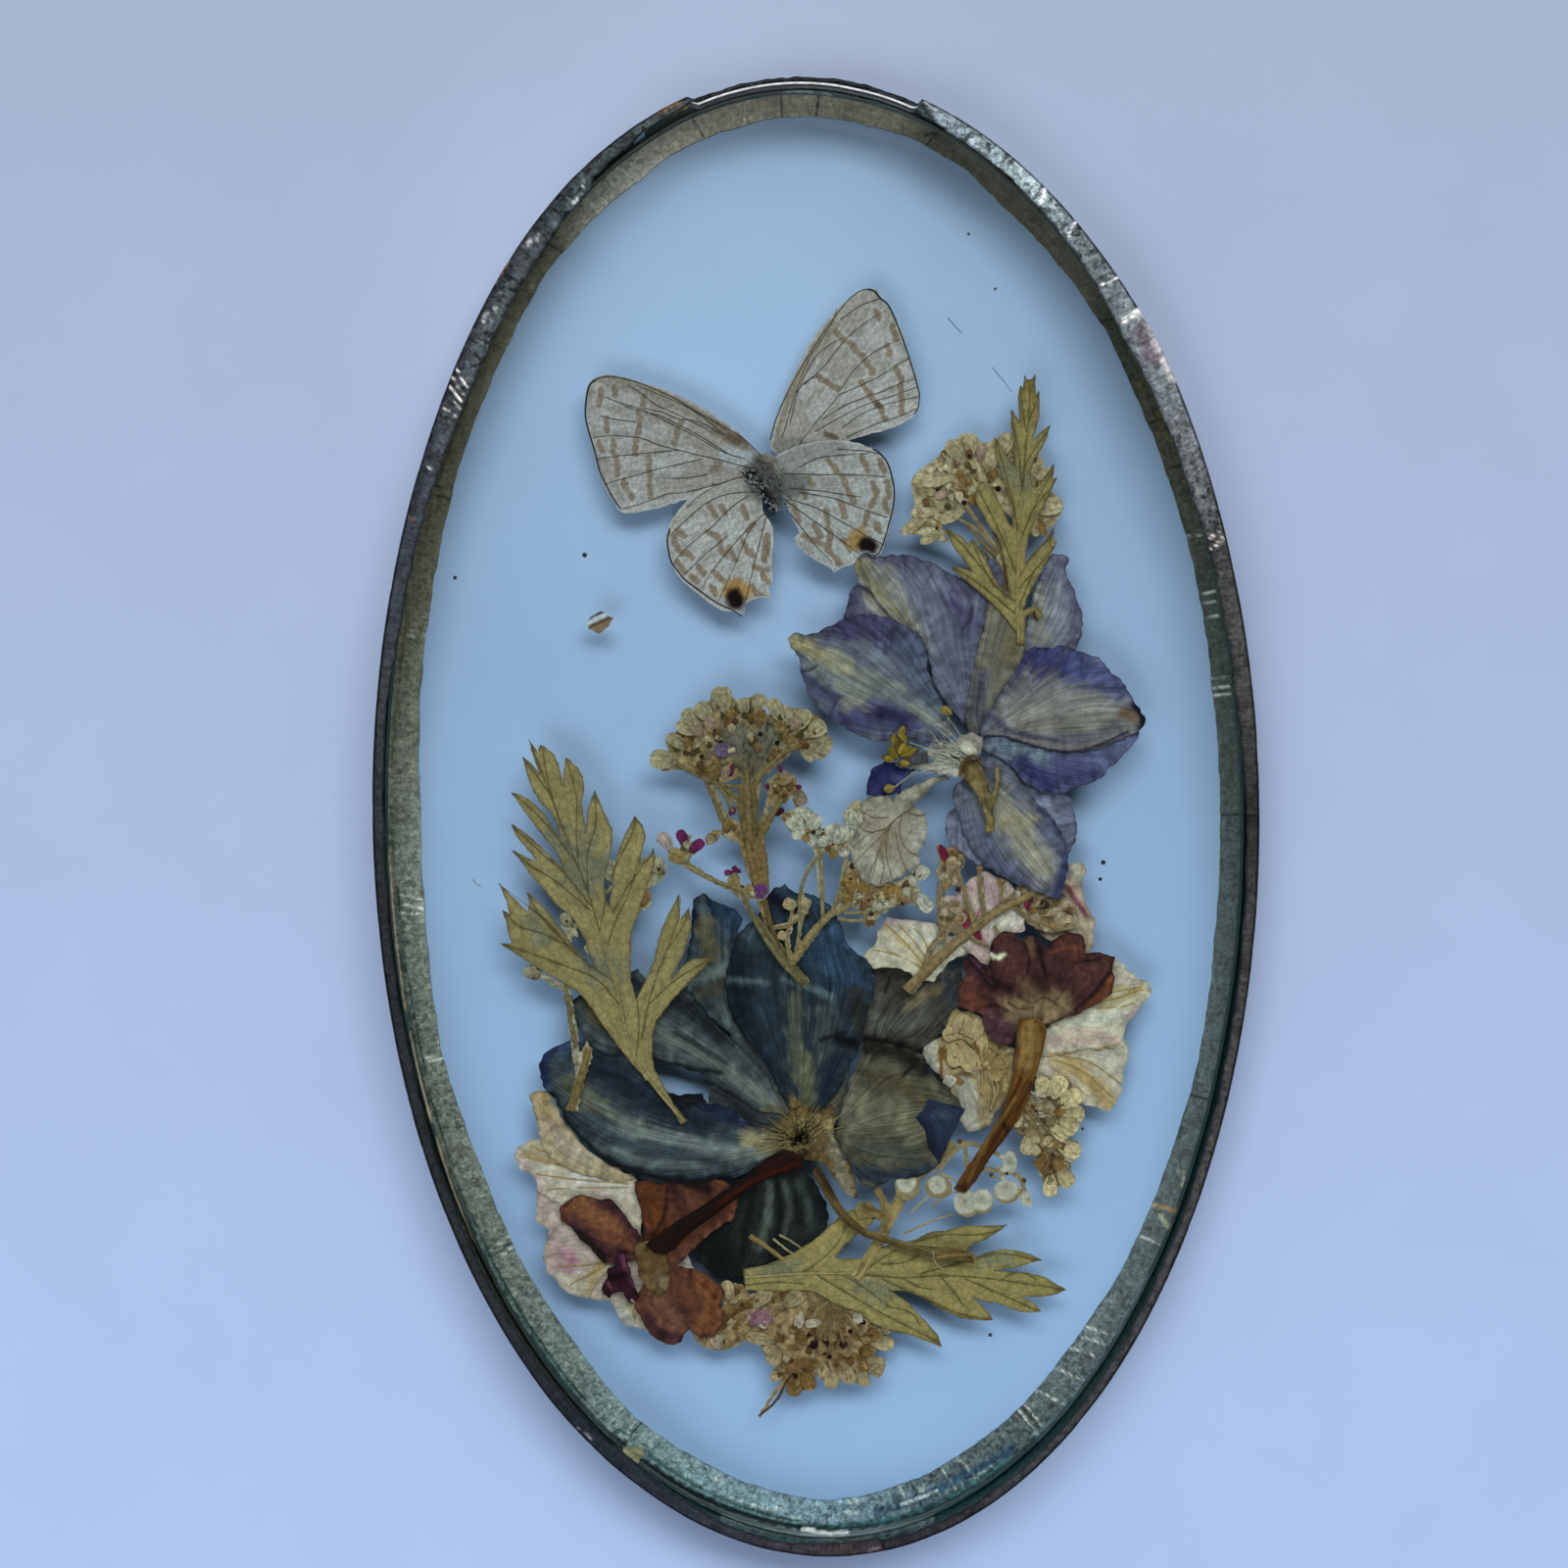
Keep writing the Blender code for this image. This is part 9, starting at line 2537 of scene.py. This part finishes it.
def umbel_bottom(finish):
    """The head at the bottom: florets round an open middle with maroon calyces."""
    umbel("umbel_bottom", finish, (176, 154, 106), (845, 1320),
          (((186, 178, 148), 16, 0.8, ((835, 1410), (860, 1412), (890, 1405))),
           ((150, 110, 54), 14, 0.8, ((806, 1395), (815, 1420))),
           ((150, 134, 92), 22, 0.8, ((845, 1340), (845, 1370))),
           ((188, 150, 168), 10, 0.8, ((770, 1348), (782, 1345))),
           ((60, 40, 32), 12, 0.6, ((830, 1372), (858, 1372)))),
          ((CREAM,
            ((790, 1372, 762, 1366, 13), (795, 1380, 786, 1396, 16), (795, 1385, 780, 1378, 12),
             (838, 1392, 842, 1408, 12), (848, 1398, 849, 1420, 16), (866, 1398, 868, 1416, 14),
             (880, 1402, 884, 1418, 12), (888, 1398, 902, 1404, 15), (886, 1390, 904, 1394, 10),
             (890, 1374, 913, 1374, 14), (800, 1404, 786, 1410, 10), (745, 1330, 740, 1310, 14),
             (770, 1335, 785, 1318, 16), (800, 1335, 818, 1322, 16), (900, 1362, 908, 1358, 10))),
           ((206, 200, 182),
            ((818, 1342, 814, 1358, 10), (876, 1340, 876, 1354, 10), (838, 1352, 822, 1354, 9),
             (735, 1380, 728, 1366, 12), (770, 1352, 784, 1356, 8))),
           ((190, 142, 166), ((766, 1358, 778, 1340, 12), (776, 1356, 786, 1346, 8))),
           (OCHRE,
            ((815, 1404, 808, 1428, 16), (822, 1400, 828, 1422, 14), (812, 1372, 822, 1366, 14),
             (885, 1370, 896, 1362, 14), (880, 1376, 890, 1386, 12), (878, 1385, 884, 1404, 10),
             (804, 1400, 800, 1410, 9), (800, 1372, 790, 1364, 9), (748, 1348, 742, 1336, 12),
             (830, 1402, 818, 1392, 10)))),
          ((MAROON,
            ((830, 1375, 11), (843, 1374, 6), (860, 1376, 9), (811, 1408, 7), (881, 1353, 8),
             (868, 1362, 5), (854, 1368, 5), (826, 1366, 6), (847, 1388, 5))),
           (BROWN,
            ((822, 1400, 8), (880, 1382, 7), (806, 1392, 6), (757, 1335, 6), (890, 1366, 6),
             (842, 1384, 6)))),
          ((STEM, 4,
            (((845, 1330), (832, 1350), (818, 1362)), ((845, 1330), (838, 1360), (836, 1385)),
             ((847, 1330), (848, 1360), (850, 1392)), ((850, 1332), (858, 1362), (866, 1390)),
             ((852, 1334), (868, 1355), (880, 1372)), ((856, 1336), (876, 1350), (896, 1360)),
             ((842, 1328), (826, 1342), (815, 1360)), ((847, 1332), (843, 1365), (843, 1390)))),
           ((106, 88, 66), 3, (((805, 1408), (795, 1428), (785, 1440), (774, 1449)),)),
           ((132, 98, 50), 5,
            (((745, 1345), (760, 1338), (782, 1325)), ((735, 1360), (748, 1342), (760, 1334))))),
          strewn=90, bare=4.2, seed=24, curled=26)


def umbel_right(finish):
    """The head at the right: lemon florets and curled stamens."""
    lemon = (212, 198, 146)
    umbel("umbel_right", finish, (162, 146, 106), (1040, 1110),
          (((128, 118, 96), 16, 0.8, ((1054, 1122), (1062, 1150))),
           ((136, 104, 56), 12, 0.8, ((1068, 1176), (1074, 1196)))),
          ((lemon,
            ((1082, 1130, 1104, 1116, 19), (1086, 1138, 1108, 1138, 18),
             (1084, 1144, 1100, 1156, 18), (1074, 1122, 1086, 1100, 19),
             (1062, 1118, 1066, 1100, 15), (1052, 1158, 1048, 1180, 15),
             (1080, 1170, 1104, 1178, 17), (1074, 1200, 1072, 1223, 15),
             (1082, 1196, 1095, 1212, 17), (1074, 1150, 1090, 1164, 14),
             (1044, 1140, 1034, 1150, 12))),
           ((206, 200, 172),
            ((1056, 1166, 1052, 1178, 11), (1088, 1176, 1098, 1186, 11),
             (1040, 1128, 1034, 1136, 9))),
           (OCHRE,
            ((1070, 1180, 1062, 1196, 12), (1078, 1182, 1084, 1196, 11),
             (1075, 1140, 1088, 1132, 9), (1072, 1176, 1080, 1166, 10),
             (1066, 1186, 1056, 1190, 9)))),
          ((BROWN,
            ((1055, 1130, 7), (1045, 1155, 6), (1070, 1190, 9), (1078, 1160, 6), (1062, 1182, 6))),
           (OLIVE, ((1066, 1146, 7), (1060, 1172, 6), (1072, 1122, 5)))),
          ((STEM, 4,
            (((1040, 1112), (1058, 1130), (1078, 1140)),
             ((1038, 1116), (1052, 1140), (1056, 1165)),
             ((1042, 1120), (1066, 1150), (1085, 1170)),
             ((1045, 1125), (1062, 1160), (1072, 1190)))),
           ((206, 200, 184), 1.6,
            (((1040, 1118), (1050, 1134), (1066, 1138)),
             ((1040, 1134), (1054, 1142), (1072, 1140)),
             ((1042, 1148), (1054, 1152), (1064, 1146)),
             ((1048, 1112), (1062, 1124), (1066, 1136))))), strewn=34, size=(0.8, 1.5), seed=25,
          curled=44, tints=((196, 182, 136), (170, 152, 108), (206, 198, 166), (136, 112, 72)))


def pink_sprig(finish):
    """A sprig with a few pink florets."""
    umbel("pink_sprig", finish, (146, 122, 76), (765, 930), (),
          (((134, 46, 84),
            ((700, 864, 693, 847, 11), (703, 869, 718, 858, 11), (752, 890, 748, 884, 6),
             (748, 890, 739, 890, 5), (752, 890, 756, 888, 5))),
           ((186, 156, 130), ((686, 868, 673, 850, 13),)),
           ((128, 62, 112), ((776, 917, 776, 902, 13),)),
           ((184, 164, 116), ((706, 868, 698, 858, 7), (766, 905, 770, 914, 7)))),
          (((156, 124, 68), ((690, 874, 17), (748, 898, 12), (764, 908, 10))),
           (OLIVE, ((697, 866, 6), (757, 906, 6)))),
          (((152, 126, 76), 5, (((760, 908), (748, 905), (725, 897), (697, 882)),)),
           ((146, 120, 70), 5, (((762, 912), (750, 903), (747, 892)),)),
           ((132, 112, 68), 6,
            (((820, 1003), (800, 984), (778, 952), (757, 910)),
             ((822, 1002), (798, 975), (786, 955), (772, 935))))), strewn=0, curled=5, seed=26)


def pink_umbel(finish):
    """A head of ochre calyces with a few pink florets."""
    umbel("pink_umbel", finish, (150, 126, 82), (960, 960), (),
          (((150, 46, 66),
            ((966, 880, 961, 864, 9), (984, 930, 987, 948, 8), (996, 950, 1000, 960, 6),
             (1050, 930, 1048, 918, 6))),
           ((178, 152, 104),
            ((975, 945, 985, 932, 11), (968, 892, 974, 874, 10), (1078, 950, 1086, 938, 9))),
           ((128, 40, 62), ((962, 874, 960, 862, 5),))),
          ((OCHRE,
            ((970, 880, 10), (965, 905, 9), (980, 938, 10), (1075, 945, 8), (1022, 900, 7),
             (1000, 886, 7))), ((74, 58, 40), ((1065, 925, 13), (978, 908, 6), (1052, 918, 6)))),
          (((158, 132, 80), 11,
            (((926, 1012), (950, 986), (985, 955), (1020, 930), (1052, 914)),)),
           ((152, 128, 80), 4,
            (((944, 990), (950, 970), (970, 950)), ((995, 945), (985, 910), (975, 878)),
             ((1005, 935), (1000, 905), (1000, 885)), ((1025, 926), (1022, 912), (1020, 898)),
             ((965, 962), (958, 930), (958, 900)), ((1015, 945), (1020, 955), (1026, 966)),
             ((990, 955), (1000, 962), (1010, 966)), ((1035, 926), (1060, 943), (1086, 945))))),
          strewn=16, curled=10, seed=27)


def white_umbel(finish):
    """A head of round white florets and dark seeds."""
    umbel("white_umbel", finish, (176, 164, 122), (840, 950),
          (((200, 196, 166), 26, 0.9, ((815, 838), (822, 842))),
           ((202, 198, 170), 20, 0.9, ((846, 852), (868, 842))),
           ((140, 112, 70), 22, 0.8, ((868, 905), (905, 915), (925, 918))),
           ((196, 184, 142), 12, 0.8, ((940, 892), (950, 925)))),
          (((204, 200, 170),
            ((818, 848, 806, 832, 18), (822, 846, 818, 826, 16), (826, 846, 836, 832, 15),
             (822, 850, 808, 850, 14), (852, 860, 862, 846, 18), (850, 858, 848, 842, 15),
             (858, 862, 866, 872, 15), (866, 842, 868, 826, 15), (872, 846, 880, 836, 13),
             (846, 862, 836, 856, 12), (938, 898, 944, 884, 15), (936, 905, 930, 895, 10),
             (936, 912, 950, 930, 14), (826, 852, 832, 862, 12))),
           (OCHRE,
            ((868, 838, 870, 828, 9), (910, 920, 914, 904, 15), (872, 915, 866, 892, 12),
             (885, 915, 878, 900, 11), (868, 925, 862, 912, 9), (825, 852, 820, 858, 9),
             (848, 868, 852, 876, 9), (895, 925, 905, 905, 9))),
           ((150, 120, 78),
            ((878, 905, 872, 886, 9), (890, 925, 880, 912, 9), (918, 925, 925, 912, 8)))),
          (((58, 44, 34),
            ((830, 849, 5), (850, 862, 4), (870, 884, 7), (868, 897, 5), (875, 910, 4),
             (897, 914, 8), (887, 919, 4), (921, 922, 5), (889, 932, 6))),
           ((176, 156, 110), ((805, 923, 13), (822, 922, 12), (798, 955, 10), (912, 912, 12))),
           (BROWN, ((840, 852, 6), (845, 866, 7), (900, 905, 6), (860, 902, 6), (886, 942, 7)))),
          (((150, 132, 86), 4,
            (((840, 937), (838, 880), (831, 856)),
             ((816, 932), (818, 905), (830, 880), (845, 866)),
             ((838, 942), (850, 928), (860, 900), (865, 872)),
             ((855, 938), (870, 940), (882, 939)), ((862, 932), (895, 930), (932, 915)),
             ((806, 978), (803, 960), (808, 930)), ((814, 968), (816, 950), (822, 928)),
             ((788, 948), (806, 944), (825, 930)), ((860, 930), (880, 910), (905, 900)),
             ((886, 930), (882, 938), (888, 946)))),
           ((152, 132, 84), 8, (((808, 984), (822, 962), (842, 938), (864, 926)),))), strewn=40,
          tints=((190, 176, 130), (162, 138, 90), (202, 196, 164), (132, 102, 62)), seed=28,
          curled=26)


def make_umbels(finish):
    """The heads of small florets: five large ones, a sprig, and a pink and a white one."""
    for part in (umbel_top, umbel_centre, umbel_left, umbel_bottom, umbel_right, pink_sprig,
                 pink_umbel, white_umbel):
        part(finish)


def make_white_florets(finish):
    """Round white florets with bright rims on hair-thin stems."""
    sheet = Sheet("white_florets", 0.18, 0.04, 0.8, seed=31)
    sheet.fill(seen(168, 152, 112))
    discs = np.array(
        ((925, 1208, 17), (957, 1210, 16), (985, 1227, 23), (1002, 1225, 20), (1027, 1213, 22),
         (1030, 1187, 20), (1050, 1225, 16), (1050, 1195, 15)), float)
    away = sheet.places[:, None] - mm(discs[:, :2])[None]
    ratio = np.hypot(away[..., 0], away[..., 1]) / (discs[:, 2] * MARK / 2)
    near = ratio.min(axis=1)
    sheet.blend(seen(198, 198, 182), 1 - smooth(1.0, 1.25, near))
    sheet.blend(seen(172, 168, 142), 0.6 * (1 - smooth(0.0, 0.75, near)))
    sheet.blend(seen(132, 104, 62), 0.7 * (1 - smooth(0.0, 0.16, near)))
    height = 0.12 + 0.10 * (1 - smooth(0.5, 0.95, near)) + 0.03 * sheet.streaks
    stalks = stems(
        (((930, 1238), (945, 1225), (957, 1214)), ((950, 1232), (975, 1218), (1002, 1220)),
         ((960, 1200), (975, 1205), (985, 1222)), ((1010, 1200), (1020, 1204), (1027, 1210)),
         ((1028, 1196), (1040, 1205), (1048, 1222)), ((1015, 1196), (1024, 1190), (1030, 1186))),
        2.2, (176, 158, 112), sheet.top - 0.2, 3)
    dots = domes(((1045, 1206, 6), (980, 1166, 6), (1012, 1200, 5), (1028, 1198, 5)),
                 seen(112, 84, 46), sheet.top - 0.2)
    make("white_florets_dried", [sheet.patch(height), stalks, dots], [finish], ["white_florets"])


def make_loose_bits(finish):
    """Loose bits of stem, specks of dust, dabs of dry glue with a fine curl by them, and scratches
    on the glass."""
    tan, pale, dust = (150, 124, 74), (176, 160, 120), (52, 54, 56)
    thick = stems(
        (((765, 1260), (782, 1271), (800, 1285)), ((893, 1213), (899, 1224), (901, 1236)),
         ((955, 1283), (972, 1280), (994, 1279))), 5.5, tan, BETWEEN, 2)
    thin = stems(
        (((789, 1263), (800, 1272), (811, 1280)), ((795, 1259), (808, 1266), (821, 1275)),
         ((922, 1258), (948, 1246), (973, 1238)), ((951, 1275), (955, 1289), (966, 1296)),
         ((600, 1458), (606, 1466), (602, 1474))), 2.4, pale, BETWEEN, 3)
    scratches = stems(
        (((486, 896), (490, 901), (495, 903)), ((1010, 380), (1020, 392), (1030, 405)),
         ((965, 330), (972, 338), (980, 346))), 1.2, (120, 134, 150), ON_GLASS, 4)
    specks = domes(((465, 590, 4), (597, 567, 5), (1125, 880, 5), (1122, 897, 4), (1104, 1151, 3),
                    (1010, 1361, 4), (988, 240, 3), (1015, 296, 3)), seen(*dust), BETWEEN, 0.1)
    glue = domes(((643, 1476, 16), (652, 1474, 14), (650, 1482, 9)), seen(146, 152, 118),
                 ON_GLASS, 0.3)
    make("loose_bits", [thick, thin, scratches, specks, glue], [finish])


make_stage()
clear = glass_finish()
cut_edge = cut_edge_finish()
make_pane("back_glass", FOIL + GAP, clear, cut_edge, 0)
make_pane("front_glass", THICKNESS - FOIL - GAP - GLASS, clear, cut_edge, 1)
make_foil()
make_butterfly()
violet = dry_plant("violet_petal", fibres=18, fibre_share=0.42, mottle_share=0.28, grain_share=0.2,
                   depth=0.07, roughness=0.75)
cream = dry_plant("cream_petal", fibres=18, fibre_share=0.20, mottle=1.0, mottle_share=0.20,
                  grain_share=0.14, depth=0.06, roughness=0.7, net=0.8, net_share=0.2)
woody = dry_plant("stalk", fibres=4, fibre_share=0.5, mottle=1.0, mottle_share=0.35,
                  grain_share=0.2, depth=0.06, roughness=0.6)
make_violet_flower(violet)
violet_heart(cream)
violet_spur(woody)
violet_stamens(woody)
make_pale_petal(cream)
blue = dry_plant("blue_petal", fibres=24, fibre_share=0.55, mottle=1.0, mottle_share=0.32,
                 grain_share=0.22, depth=0.09, roughness=0.7)
make_blue_flower(blue)
ochre = dry_plant("floret", fibres=10, fibre_share=0.35, mottle=0.5, mottle_share=0.48,
                  grain_share=0.24, depth=0.08, roughness=0.7)
blue_heart(ochre)
make_stalks(woody)
red = dry_plant("red_petal", fibres=14, fibre_share=0.36, mottle=0.7, mottle_share=0.40,
                grain_share=0.2, depth=0.08, roughness=0.55)
make_red_flowers(red, cream)
make_cream_petals(cream)
make_crumpled_flower(cream)
make_umbels(ochre)
make_white_florets(cream)
make_loose_bits(woody)
leafy = dry_plant("leaf", fibres=12, fibre_share=0.18, mottle=1.4, mottle_share=0.20,
                  grain_share=0.16, depth=0.06, roughness=0.7, net=0.9, net_share=0.28)
make_leaves(leafy)
